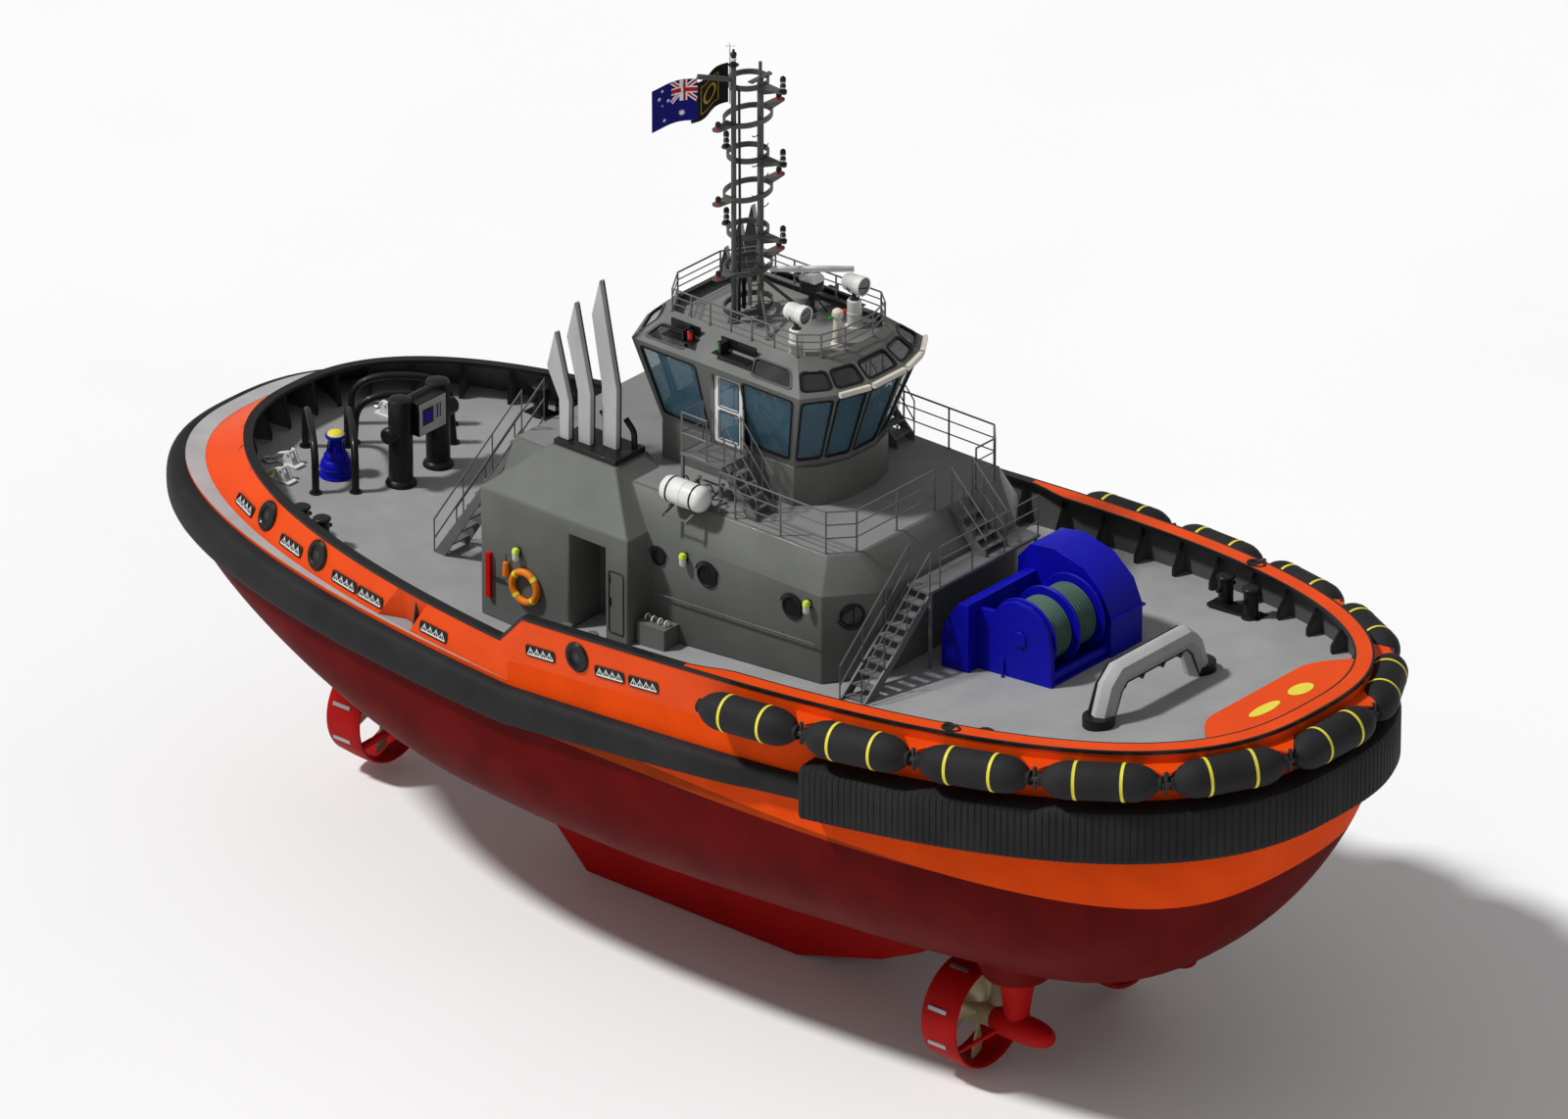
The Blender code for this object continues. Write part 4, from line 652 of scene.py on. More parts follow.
BLUE = Finish("machine_blue", (0.002, 0.002, 0.38), (0.002, 0.002, 0.33), 0.45, streaks=0.08)
YELLOW = Finish("yellow_paint", (0.75, 0.66, 0.06), (0.66, 0.57, 0.05), 0.45, streaks=0.05)
LIME = Finish("lamp_lime", (0.62, 0.75, 0.08), (0.55, 0.66, 0.06), 0.4)
SCARLET = Finish("scarlet_paint", (0.55, 0.004, 0.004), (0.45, 0.003, 0.003), 0.35, coat=0.3)
GREEN = Finish("lamp_green", (0.01, 0.20, 0.012), (0.008, 0.15, 0.01), 0.3, coat=0.4)
BUOY = Finish("buoy_orange", (0.75, 0.20, 0.01), (0.68, 0.17, 0.008), 0.55, streaks=0.05)
ROPE = Finish("rope_green", (0.085, 0.15, 0.125), (0.05, 0.09, 0.075), 0.85, grain_scale=140, relief=0.006)
BRONZE = Finish("propeller_bronze", (0.45, 0.40, 0.24), (0.38, 0.33, 0.19), 0.38, metallic=0.35)
CABIN = Finish("cabin_trim", (0.05, 0.055, 0.06), (0.04, 0.045, 0.05), 0.6)
PANEL = Finish("cabin_panel", (0.30, 0.33, 0.34), (0.26, 0.29, 0.30), 0.5)
ENSIGN = Finish("ensign_blue", (0.004, 0.004, 0.16), (0.003, 0.003, 0.13), 0.8, grain_scale=300, relief=0.001)
FLAG_BLACK = Finish(
    "flag_black", (0.006, 0.006, 0.006), (0.009, 0.009, 0.009), 0.8, grain_scale=300, relief=0.001
)
FLAG_WHITE = Finish("flag_white", (0.75, 0.75, 0.75), (0.68, 0.68, 0.68), 0.8, grain_scale=300, relief=0.001)
FLAG_RED = Finish("flag_red", (0.45, 0.008, 0.012), (0.38, 0.006, 0.01), 0.8, grain_scale=300, relief=0.001)
FLAG_GOLD = Finish("flag_gold", (0.40, 0.27, 0.02), (0.34, 0.22, 0.015), 0.8, grain_scale=300, relief=0.001)
BLUE_GLASS = Glass("window_glass", (0.075, 0.17, 0.24), 0.62)
DARK_GLASS = Glass("skylight_glass", (0.018, 0.019, 0.021), 0.86)


def assemble(name: str, patches: Parts, finishes: list, recalc: bool = True) -> Obj:
    """One mesh object of all the patches, with a material for each slot.

    Args:
        name: the object's name.
        patches: its surfaces.
        finishes: the finish of each slot.
        recalc: turns the faces of closed shells outwards.

    Returns:
        The object, at the origin and linked.
    """
    offsets = np.cumsum([0] + [len(patch.points) for patch in patches[:-1]])
    faces = [face + offset for patch, offset in zip(patches, offsets) for face in patch.faces]
    slots = np.concatenate([np.full(len(patch.faces), patch.slot) for patch in patches])
    mesh = bpy.data.meshes.new(name)
    mesh.from_pydata(np.concatenate([patch.points for patch in patches]), [], faces)
    mesh.polygons.foreach_set("material_index", slots.astype(np.int32))
    shape = bmesh.new()
    shape.from_mesh(mesh)
    bmesh.ops.remove_doubles(shape, verts=shape.verts, dist=1e-5)
    bmesh.ops.dissolve_degenerate(shape, edges=shape.edges, dist=1e-6)
    if recalc:
        bmesh.ops.recalc_face_normals(shape, faces=shape.faces)
    shape.to_mesh(mesh)
    shape.free()
    for finish in finishes:
        mesh.materials.append(finish.make())
    obj = bpy.data.objects.new(name, mesh)
    bpy.context.scene.collection.objects.link(obj)
    return obj


def finish_piece(
    obj: Obj,
    body: str = "root",
    replaces: tuple[str, ...] = (),
    slot: str | None = None,
    bevel: float = 0.0,
    angle: float = 35.0,
) -> Obj:
    """Shades a piece, rounds its edges and puts it on its body.

    Args:
        obj: the piece.
        body: the body that it rides on.
        replaces: CAD nodes that it stands for.
        slot: the record's material slot; not used.
        bevel: width of its rounded edges.
        angle: edges sharper than this many degrees stay sharp.

    Returns:
        The piece.
    """
    if bevel:
        rounder = obj.modifiers.new("rounded", "BEVEL")
        rounder.width = bevel
        rounder.segments = 2
        rounder.limit_method = "ANGLE"
        rounder.angle_limit = math.radians(30)
        rounder.harden_normals = False
    obj.data.shade_smooth()
    obj.data.set_sharp_from_angle(angle=math.radians(angle))
    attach(obj, body)
    if replaces:
        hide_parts(*replaces)
    LOG.info("%s: %d faces on %s", obj.name, len(obj.data.polygons), body)
    return obj


def piece(name: str, patches: Parts, finishes: list, **options: object) -> Obj:
    """Assembles and finishes a piece in one call."""
    recalc = options.pop("recalc", True)
    return finish_piece(assemble(name, patches, finishes, recalc), **options)


def dress(node: str, patches: Parts, finishes: list, name: str | None = None, **options: object) -> Obj:
    """A piece that stands for a CAD node, and is named after it unless it has a name of its own."""
    return piece(name or node + "_skin", patches, finishes, replaces=(node,), **options)


def polished(
    node: str, finish: Finish, body: str = "root", slot: str | None = None, bevel: float = 0.01
) -> Obj:
    """A merged, rounded and smoothly shaded copy of a CAD node, which stands for it.

    Args:
        node: the CAD node.
        finish: its finish.
        body: the body that it rides on.
        slot: the record's material slot.
        bevel: width of its rounded edges.

    Returns:
        The piece.
    """
    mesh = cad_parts[node].data.copy()
    mesh.name = node + "_skin"
    shape = bmesh.new()
    shape.from_mesh(mesh)
    bmesh.ops.remove_doubles(shape, verts=shape.verts, dist=2e-5)
    bmesh.ops.dissolve_limit(shape, angle_limit=math.radians(1.0), verts=shape.verts, edges=shape.edges)
    shape.to_mesh(mesh)
    shape.free()
    mesh.materials.clear()
    mesh.materials.append(finish.make())
    mesh.polygons.foreach_set("material_index", np.zeros(len(mesh.polygons), np.int32))
    obj = bpy.data.objects.new(node + "_skin", mesh)
    bpy.context.scene.collection.objects.link(obj)
    return finish_piece(obj, body=body, replaces=(node,), slot=slot, bevel=bevel)


def wear(node: str, finish: Finish | Glass) -> None:
    """Gives a CAD node that stays its finish.

    Args:
        node: the CAD node.
        finish: its finish.
    """
    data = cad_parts[node].data
    data.materials.clear()
    data.materials.append(finish.make())
    LOG.info("%s keeps its solid", node)


# Hull lines


@dataclass(frozen=True)
class Lines:
    """The lines of the hull and bulwark, from the same driving sizes as the solids."""

    aft: float = 16.4
    fore: float = 15.0
    half: float = 6.05
    aft_power: float = 2.6
    fore_power: float = 2.7
    keel: float = -3.2
    step_x: float = -3.0
    aft_deck: float = 1.38
    aft_slope: float = -0.035
    fore_deck: float = 2.25
    fore_slope: float = 0.085
    belt_aft_z: float = 0.815
    belt_fore_z: float = 1.175
    belt_fore_x: float = 5.75
    cap: float = 3.374
    cap_slope: float = 0.0675
    cap_thick: float = 0.08
    step_start: float = -3.7
    step_end: float = -2.55
    aft_height: float = 0.88
    foot_line: Point = (16.0, 6.05, 2.4)
    top_line: Point = (14.77, 5.95, 2.4)

    def deck(self, x: Array) -> Array:
        """Deck height at x: one sloping line aft of the step, and another ahead of it."""
        aft, fore = self.aft_deck + self.aft_slope * x, self.fore_deck + self.fore_slope * x
        return np.where(x < self.step_x, aft, fore)

    def belt(self, x: Array) -> Array:
        """Centre height of the belt at x, on lines with the slopes of the decks."""
        aft, fore = self.belt_aft_z + self.aft_slope * x, self.belt_fore_z + self.fore_slope * x
        return np.where(x < self.step_x, aft, fore)

    def side_foot(self, x: Array) -> Array:
        """Height where the upright side ends."""
        return np.where(x < self.belt_fore_x, self.belt(x) - 0.5, 0.60 + self.fore_slope * x)

    def keel_line(self, x: Array) -> Array:
        """Height of the keel: level amidships, and rising to the side's foot by a power at each end.

        Args:
            x: places along the hull.

        Returns:
            Heights.
        """
        rise_fore, rise_aft = 9.0, -5.5
        fore = np.clip((x - rise_fore) / (self.fore - rise_fore), 0, 1) ** 3.1
        aft = np.clip((rise_aft - x) / (rise_aft + self.aft), 0, 1) ** 1.6
        fore_end = self.side_foot(np.array(self.fore))
        aft_end = self.side_foot(np.array(-self.aft))
        return self.keel + (fore_end - self.keel) * fore + (aft_end - self.keel) * aft

    def share(self, x: Array) -> Array:
        """0 on the aft bulwark and 1 on the fore bulwark."""
        return np.clip((x - self.step_start) / (self.step_end - self.step_start), 0, 1)

    def cap_top(self, x: Array) -> Array:
        """Height of the bulwark's top.

        Args:
            x: places along the hull.

        Returns:
            Heights.
        """
        aft = self.aft_deck + self.aft_slope * np.minimum(x, self.step_x) + self.aft_height
        fore = self.cap + self.cap_slope * x
        return aft + (fore - aft) * self.share(x)

    def angle(self, x: float) -> float:
        """The station angle of a place x."""
        length, power = (self.fore, self.fore_power) if x > 0 else (self.aft, self.aft_power)
        return math.copysign(math.asin((abs(x) / length) ** (power / 2)), x)

    def edge(self, angle: Array) -> tuple[Array, Array]:
        """Deck edge to port, as a superellipse half each way, and its outward normal.

        Args:
            angle: station angles, from the stern's middle at -90 degrees to the bow's middle at 90.

        Returns:
            Points at height 0, and normals.
        """
        fore = angle > 0
        length = np.where(fore, self.fore, self.aft)
        power = np.where(fore, self.fore_power, self.aft_power)
        along = np.abs(np.sin(angle)) ** (2 / power) * length
        across = np.abs(np.cos(angle)) ** (2 / power) * self.half
        across = np.where(np.abs(np.cos(angle)) < 1e-6, 0.0, across)
        way = np.where(fore, 1.0, -1.0)
        normal = np.stack(
            (
                way * along ** (power - 1) / length**power, across ** (power - 1) / self.half**power,
                0 * along,
            ), axis=-1
        )
        normal /= np.linalg.norm(normal, axis=-1, keepdims=True)
        return np.stack((way * along, across, 0 * along), axis=-1), normal

    def stations(self, count: int, first: float = -16.4, last: float = 15.0, extra: tuple = ()) -> Array:
        """Station angles from one x to another, evenly spaced, with extra places added.

        Args:
            count: number of even stations.
            first: x of the first.
            last: x of the last.
            extra: places that get a station of their own.

        Returns:
            Rising station angles.
        """
        even = np.linspace(self.angle(first), self.angle(last), count)
        added = [self.angle(x) for x in extra if first < x < last]
        return np.unique(np.concatenate((even, added)))

    def power_line(self, x: Array, length: float, half: float, power: float) -> Array:
        """An aft bulwark line's point that matches a deck edge place, by its share of the length."""
        share = np.clip(-x / self.aft, 0, 1)
        return np.stack((-share * length, half * (1 - share**power) ** (1 / power), 0 * x), axis=-1)

    def wall(self, angle: Array) -> tuple[Array, Array, Array]:
        """Outer foot and outer top of the bulwark to port, and the outward normal.

        Args:
            angle: station angles.

        Returns:
            Feet, tops and normals.
        """
        edge, normal = self.edge(angle)
        x = edge[:, 0]
        share = self.share(x)[:, None]
        aft = (x < 0)[:, None]
        foot = self.power_line(x, *self.foot_line) * (1 - share) + edge * share
        top = self.power_line(x, *self.top_line) * (1 - share) + edge * share
        foot, top = np.where(aft, foot, edge), np.where(aft, top, edge)
        foot[:, 2] = np.where(x < self.step_x, self.aft_deck + self.aft_slope * foot[:, 0], self.deck(x))
        top[:, 2] = self.cap_top(x)
        return foot, top, normal


LINES = Lines()
STEP_STATIONS = (-3.005, -2.995, -3.7, -2.55)
MIRROR = np.array((1.0, -1.0, 1.0))


def around(port: Array) -> Array:
    """Port rows from stern to bow made a closed loop: starboard forward, then port aft."""
    return np.concatenate((port * MIRROR, port[-2:0:-1]))


@dataclass
class Hull:
    """The hull's skin, decks, belt, bow block and keel."""

    stations: int = 170
    section_steps: int = 26
    belt_side: float = 0.34
    belt_stern: float = 0.44
    block_depth: float = 0.62
    block_bottom: float = 0.66
    block_top: float = 1.95
    rib_pitch: float = 0.15
    pads: tuple = ((8.65, -2.45), (8.65, 2.45), (-11.05, 0.0))

    def skin(self) -> Parts:
        """Side and bottom: under the upright side, half breadth times cos a and depth times sin a.

        Both the cosine and the sine are raised to a power that falls from amidships to the ends.

        Returns:
            Port side, starboard side and decks.
        """
        angles = LINES.stations(self.stations, extra=STEP_STATIONS)
        edge, _ = LINES.edge(angles)
        x, half = edge[:, :1], edge[:, 1:2]
        top, keel = LINES.side_foot(x), LINES.keel_line(x)
        power = 3.2 + (2.1 - 3.2) * np.minimum(1.0, np.abs(x) / LINES.aft)
        turn = np.linspace(0, np.pi / 2, self.section_steps)[None, :]
        across = np.cos(turn).clip(0) ** (2 / power) * half
        height = top - np.sin(turn) ** (2 / power) * (top - keel)
        across[:, -1] = 0.0
        side = np.stack((np.broadcast_to(x, across.shape), across, height), axis=-1)
        deck = np.concatenate((x, half, LINES.deck(x)), axis=1)[:, None]
        port = np.concatenate((deck, side), axis=1)
        spread = np.linspace(-1, 1, 13)[None, :]
        flat = np.stack(
            (
                np.broadcast_to(x, (len(x), 13)), half * spread, np.broadcast_to(LINES.deck(x), (len(x), 13))
            ), axis=-1
        )
        return [grid(port), grid(port * MIRROR), grid(flat, slot=1)]

    def thruster_pads(self) -> Parts:
        """The cones that carry the thrusters.

        Returns:
            The patches.
        """
        made = []
        for x, y in self.pads:
            top = float(LINES.keel_line(np.array(x))) + 0.9
            flare = 0.78 + 0.35 * (top + 3.22)
            made.append(
                turned([(0.0, -3.22), (0.74, -3.22), (0.78, -3.18), (flare, top)], (x, y, 0), "Z", 40)
            )
        return made

    def ledge(self) -> Patch:
        """The light ledge outside the aft bulwark's foot.

        Returns:
            The patch.
        """
        angles = LINES.stations(110, last=-4.2)
        foot, _, _ = LINES.wall(angles)
        edge, _ = LINES.edge(angles)
        edge[:, 2] = LINES.deck(edge[:, 0])
        lift = np.array((0, 0, 0.006))
        band = np.stack((foot + lift, edge + lift), axis=1)
        loop = np.concatenate((band[::-1] * MIRROR, band[1:]))
        return grid(loop, slot=2)

    def swept(self, angles: Array, section: Array) -> Patch:
        """A closed section carried round the bow or stern: edge point plus normal times outward.

        Args:
            angles: port stations, from one end of the sweep to the centreline end.
            section: (stations, points, 2) outward and height values.

        Returns:
            The patch, capped where it ends.
        """
        edge, normal = LINES.edge(angles)
        points = edge[:, None] + normal[:, None] * section[..., :1]
        points[..., 2] = section[..., 1]
        both = np.concatenate((points * MIRROR, points[::-1][1:]))
        return grid(both, wrap_v=True, caps=True)

    def belt(self) -> Patch:
        """The side belt, a flattened half round with a flat back.

        Returns:
            The patch.
        """
        angles = LINES.stations(150, last=LINES.belt_fore_x - 0.001, extra=STEP_STATIONS)[::-1]
        x = LINES.edge(angles)[0][:, 0]
        centre = LINES.belt(x)
        aft_half = 0.52 - 0.06 * (x + LINES.aft) / (LINES.aft + LINES.step_x)
        fore_half = 0.46 - 0.18 * (x - LINES.step_x) / (LINES.belt_fore_x - LINES.step_x)
        half = np.where(x < LINES.step_x, aft_half, fore_half)
        depth = self.belt_side + (self.belt_stern - self.belt_side) * np.clip((-6.0 - x) / 8.0, 0, 1)
        depth *= 1 - 0.25 * np.clip((x - 3.6) / 0.6, 0, 1)
        turn = np.linspace(-np.pi / 2, np.pi / 2, 19)
        out = np.abs(np.cos(turn)) ** 0.62
        rise = np.sign(np.sin(turn)) * np.abs(np.sin(turn)) ** 0.75
        section = np.stack((0.002 + depth[:, None] * out, centre[:, None] + half[:, None] * rise), axis=-1)
        return self.swept(angles, section)

    def block(self) -> Patch:
        """The ribbed bow block: the depth rises and falls along the running length, once every rib.

        Returns:
            The patch.
        """
        angles = LINES.stations(820, first=LINES.belt_fore_x, last=15.0)
        edge = LINES.edge(angles)[0]
        run = running(edge)
        groove = 0.018 * (np.cos(2 * np.pi * run / self.rib_pitch) > 0.72)
        low = self.block_bottom + LINES.fore_slope * edge[:, 0]
        high = self.block_top + LINES.fore_slope * edge[:, 0]
        depth = self.block_depth - groove
        columns = (
            (0.001, low), (0.001, high), (depth - 0.16, high), (depth - 0.05, high - 0.045),
            (depth, high - 0.15),
        )
        columns += ((depth, low + 0.15), (depth - 0.05, low + 0.045), (depth - 0.16, low))
        section = np.stack([np.stack((out + 0 * run, height), axis=-1) for out, height in columns], axis=1)
        return self.swept(angles, section)

    def build(self) -> None:
        """Makes the pieces."""
        parts = [*self.skin(), self.ledge(), *self.thruster_pads()]
        dress("hull", parts, [RED, DECK, LEDGE], slot="hull_paint", angle=50)
        dress("belt_fender", [self.belt()], [RUBBER], "belt_skin", slot="fender_rubber")
        dress("bow_fender_block", [self.block()], [RUBBER], "block_skin", slot="fender_rubber", angle=28)
        # The keel box wears the hull's red brightened as a painted highlight.
        polished("keel_box", LIT_HULL_RED, slot="hull_paint", bevel=0.06)


@dataclass
class FenderString:
    """The string of cylinders under the bow's cap, with yellow bands, linked at their necks."""

    count: int = 11
    radius: float = 0.425
    neck: float = 0.16
    start_x: float = 2.9
    height: float = 2.84
    slope: float = 0.065
    offset: float = 0.485

    def path(self) -> tuple[Array, Array]:
        """The centre line from starboard round the bow to port, and its running length.

        Returns:
            The line's points, and the length at each.
        """
        angles = np.linspace(LINES.angle(self.start_x), np.pi / 2, 41)
        edge, normal = LINES.edge(angles)
        port = edge + normal * self.offset
        line = np.concatenate((port * MIRROR, port[::-1][1:]))
        line[:, 2] = self.height + self.slope * line[:, 0]
        return line, running(line)

    def place(self, shares: Array) -> Array:
        """Points at shares of the pitch, counted from the first cylinder's end."""
        line, run = self.path()
        return sampled(line, run, np.asarray(shares) * run[-1] / self.count)

    def cylinder(self, index: int) -> Parts:
        """One cylinder with its rounded shoulders, end collars and two yellow bands.

        Args:
            index: its number from the starboard end.

        Returns:
            The patches.
        """
        ends = self.place(np.array((index + 0.03, index + 0.97)))
        axis = ends[1] - ends[0]
        length = np.linalg.norm(axis)
        profile = [
            (0.0, 0.0), (self.neck, 0.0), (self.neck, 0.03), (0.25, 0.06), (0.335, 0.105), (0.385, 0.15)
        ]
        profile += [(0.415, 0.19), (self.radius, 0.23)]
        profile += [(radius, 1 - share) for radius, share in reversed(profile)]
        body = turned([(radius, share * length) for radius, share in profile], (0, 0, 0), "Z", 40)
        bands = []
        for share in (0.305, 0.695):
            start, end, high = share * length - 0.035, share * length + 0.035, self.radius + 0.006
            band = [(self.radius - 0.01, start), (high, start), (high, end), (self.radius - 0.01, end)]
            bands.append(turned(band, (0, 0, 0), "Z", 40, slot=1))
        matrix = frame_of(np.cross(UP, axis), axis)
        return [patch.moved(matrix, ends[0]) for patch in (body, *bands)]

    def lugs(self) -> Parts:
        """Orange triangular plates from the bulwark to each neck.

        Returns:
            The patches.
        """
        made = []
        for index in range(1, self.count):
            before, here, after = self.place(np.array((index - 0.1, index, index + 0.1)))
            along = (after - before) / np.linalg.norm(after - before)
            inward = np.array((-along[1], along[0], 0.0))
            inward /= np.linalg.norm(inward)
            matrix = np.stack((along, inward, UP), axis=1)
            outline = [(-0.5, self.offset), (0.5, self.offset), (0.09, 0.0), (-0.09, 0.0)]
            made.append(prism(outline, 0.2, 0.25, "XY", 2).moved(matrix, here))
            made.append(
                turned([(0.0, -0.24), (0.05, -0.24), (0.05, 0.27), (0.0, 0.27)], tuple(here), "Z", 12, 3)
            )
        return made

    def chains(self) -> Parts:
        """A short steel link through each neck.

        Returns:
            The patches.
        """
        made = []
        for index in range(1, self.count):
            ends = self.place(np.array((index - 0.035, index + 0.035)))
            made.append(bar(tuple(ends[0]), tuple(ends[1]), 0.07, 12, slot=3))
        return made

    def build(self) -> None:
        """Makes the piece."""
        patches = [patch for index in range(self.count) for patch in self.cylinder(index)]
        patches += self.lugs() + self.chains()
        dress(
            "bow_fender_string", patches, [RUBBER, YELLOW, ORANGE, DARK], "fender_string_skin",
            slot="fender_rubber",
        )


@dataclass
class Bulwark:
    """The bulwark: outer and inner plating, cap, stays, chocks, freeing ports and the bow platform."""

    plate: float = 0.07
    fore_width: float = 0.42
    aft_width: float = 0.2
    cap_start: float = 2.1
    cap_full: float = 3.3
    recess: Pair = (-7.3, -6.25)
    stay_pitch: float = 1.2
    chocks: tuple = (-12.2, -10.0, -0.93)
    ports: tuple = (-13.0, -10.85, -8.75, -7.8, -5.6, -2.0, 0.02, 1.0)
    cap_chocks: tuple = (9.1, 3.4)

    def angles(self) -> Array:
        """Fine stations, with a pair at each step and recess edge.

        Returns:
            Rising station angles.
        """
        low, high = self.recess
        extra = (
            *STEP_STATIONS, low - 0.005, low + 0.005, high - 0.005, high + 0.005, self.cap_start,
            self.cap_full,
        )
        return LINES.stations(190, extra=extra)

    def lines(self) -> tuple[Array, Array, Array]:
        """Foot, top and normal at the fine stations, with the foot drawn in at the recess.

        Returns:
            Feet, tops and normals.
        """
        angles = self.angles()
        foot, top, normal = LINES.wall(angles)
        x = LINES.edge(angles)[0][:, 0]
        inside = ((x > self.recess[0]) & (x < self.recess[1]))[:, None]
        upright = np.concatenate((top[:, :2] - normal[:, :2] * 0.16, foot[:, 2:]), axis=1)
        return np.where(inside, upright, foot), top, normal

    def plating(self) -> Parts:
        """Ruled surfaces: foot to top outside, and the same an inch inside.

        Returns:
            The patches.
        """
        foot, top, normal = self.lines()
        under = top - np.array((0, 0, LINES.cap_thick))
        inner_foot, inner_top = foot - normal * self.plate, under - normal * self.plate
        made = []
        for one, two, slot in ((foot, under, 0), (inner_foot, inner_top, 1)):
            made.append(ribbon(around(one), around(two), 4, wrap=True, slot=slot))
        return made

    def cap(self) -> Parts:
        """The cap rail: an orange top between black edges forward, and a black strip aft.

        Returns:
            The patches.
        """
        _, top, normal = self.lines()
        x = top[:, :1]
        widen = np.clip((x - self.cap_start) / (self.cap_full - self.cap_start), 0, 1)
        width = self.aft_width + (self.fore_width - self.aft_width) * widen * widen * (3 - 2 * widen)
        down = np.array((0, 0, LINES.cap_thick))
        rows = {"out": top + normal * 0.02, "in": top - normal * width}
        rows["out_line"] = top - normal * 0.035
        rows["in_line"] = top - normal * (width - 0.045)
        fore = top[:, 0] > self.cap_start
        made = []
        for one, two, slot in (
            (rows["out"] - down, rows["out"], 2),
            (rows["out"], rows["out_line"], 2),
            (rows["out_line"], rows["in_line"], 0),
            (rows["in_line"], rows["in"], 2),
            (rows["in"], rows["in"] - down, 2),
            (rows["in"] - down, rows["out"] - down, 1),
        ):
            if slot:
                made.append(ribbon(around(one), around(two), 1, wrap=True, slot=slot))
                continue
            made.append(ribbon(one[~fore], two[~fore], slot=2))
            made.append(ribbon(one[~fore] * MIRROR, two[~fore] * MIRROR, slot=2))
            first = np.argmax(fore) - 1
            made.append(ribbon(one[first:], two[first:], slot=0))
            made.append(ribbon(one[first:] * MIRROR, two[first:] * MIRROR, slot=0))
        return made

    def stays(self) -> Parts:
        """Triangular stays at an even pitch along the deck edge, each square to the wall.

        Returns:
            The patches.
        """
        angles = LINES.stations(900)
        foot, top, normal = LINES.wall(angles)
        run = running(foot)
        count = round(run[-1] / self.stay_pitch)
        made = []
        for at in (np.arange(count) + 0.5) * run[-1] / count:
            base, head, out = (sampled(line, run, at) for line in (foot, top, normal))
            if abs(base[0] - LINES.step_x) < 0.7:
                continue
            lean = (base - head) @ out
            rise = head[2] - base[2] - LINES.cap_thick
            toe = max(0.42, lean + 0.3)
            outline = [(0.06, 0.0), (toe, 0.0), (toe, 0.16), (lean + 0.17, rise * 0.72), (lean + 0.17, rise)]
            outline += [(lean + 0.06, rise)]
            matrix = np.stack((-out, UP, np.cross(-out, UP)), axis=1)
            flange = [(toe, 0.0), (toe + 0.012, 0.0), (toe + 0.012, 0.165), (lean + 0.182, rise * 0.725)]
            flange += [(lean + 0.182, rise), (lean + 0.17, rise), (lean + 0.17, rise * 0.72), (toe, 0.16)]
            for shape, half, slot in ((outline, 0.012, 1), (flange, 0.05, 2)):
                stay = prism(shape, -half, half, "XY", slot).moved(matrix, base)
                made += [stay, stay.mirrored()]
        return made

    def spot(self, x: float, rise: float, out: float = 0.0) -> tuple[Array, Array]:
        """A place on the starboard wall and its frame: along, up the wall, and outward.

        Args:
            x: place along the hull.
            rise: share of the wall's height.
            out: distance off the wall.

        Returns:
            The point, and a matrix of three columns.
        """
        angle = np.array((LINES.angle(x), LINES.angle(x + 0.05)))
        foot, top, _ = LINES.wall(angle)
        foot, top = foot * MIRROR, top * MIRROR
        up = top[0] - foot[0]
        along = foot[1] - foot[0]
        normal = np.cross(along, up)
        normal /= np.linalg.norm(normal)
        return foot[0] + up * rise + normal * out, frame_of(along, normal)

    def chock(self, x: float) -> Parts:
        """A round chock through the wall: a black ring with a dark mouth.

        Args:
            x: place along the hull.

        Returns:
            The patches.
        """
        place, matrix = self.spot(x, 0.5)
        ring = [
            (0.19, -0.1), (0.19, 0.03), (0.23, 0.06), (0.29, 0.06), (0.33, 0.02), (0.33, -0.02), (0.25, -0.1)
        ]
        parts = [turned(ring, (0, 0, 0), "Z", 40, 2)]
        parts.append(turned([(0.0, 0.012), (0.2, 0.012), (0.2, -0.04)], (0, 0, 0), "Z", 40, 2))
        parts.append(turned([(0.0, 0.016), (0.085, 0.016), (0.085, 0.0)], (0, 0, 0), "Z", 24, 1))
        stretch = np.diag((1.0, 1.08, 1.0))
        return [part.moved(matrix @ stretch, place) for part in parts]

    def freeing_port(self, x: float) -> Parts:
        """A freeing port: a black round-cornered frame, a dark back and a white zigzag grille.

        Args:
            x: place along the hull.

        Returns:
            The patches.
        """
        place, matrix = self.spot(x, 0.3 if x < LINES.step_x else 0.34, 0.006)
        width, height = 0.86, 0.27
        outer, inner = rounded(width, height, 0.06), rounded(width - 0.07, height - 0.07, 0.04)
        flat = np.zeros((len(outer), 1))
        outer, inner = np.hstack((outer, flat)), np.hstack((inner, flat))
        lift = np.array((0, 0, 0.02))
        parts = [*rims([outer, outer + lift, inner + lift, inner], 2), disc(inner + lift * 0.1, slot=2)]
        steps = 9
        across = np.linspace(-width / 2 + 0.06, width / 2 - 0.06, steps)
        zigzag = np.stack(
            (across, np.where(np.arange(steps) % 2, 0.07, -0.07), np.full(steps, 0.014)), axis=1
        )
        bars = [bar(one, two, 0.011, 6, 3) for one, two in zip(zigzag, zigzag[1:])]
        for step in range(1, steps, 2):
            bars.append(bar((across[step], -0.1, 0.014), (across[step], 0.1, 0.014), 0.009, 6, 3))
        bars.append(box((-width / 2 + 0.04, -0.1, 0.006), (width / 2 - 0.04, -0.07, 0.018), 3))
        return [part.moved(matrix, place) for part in (*parts, *bars)]

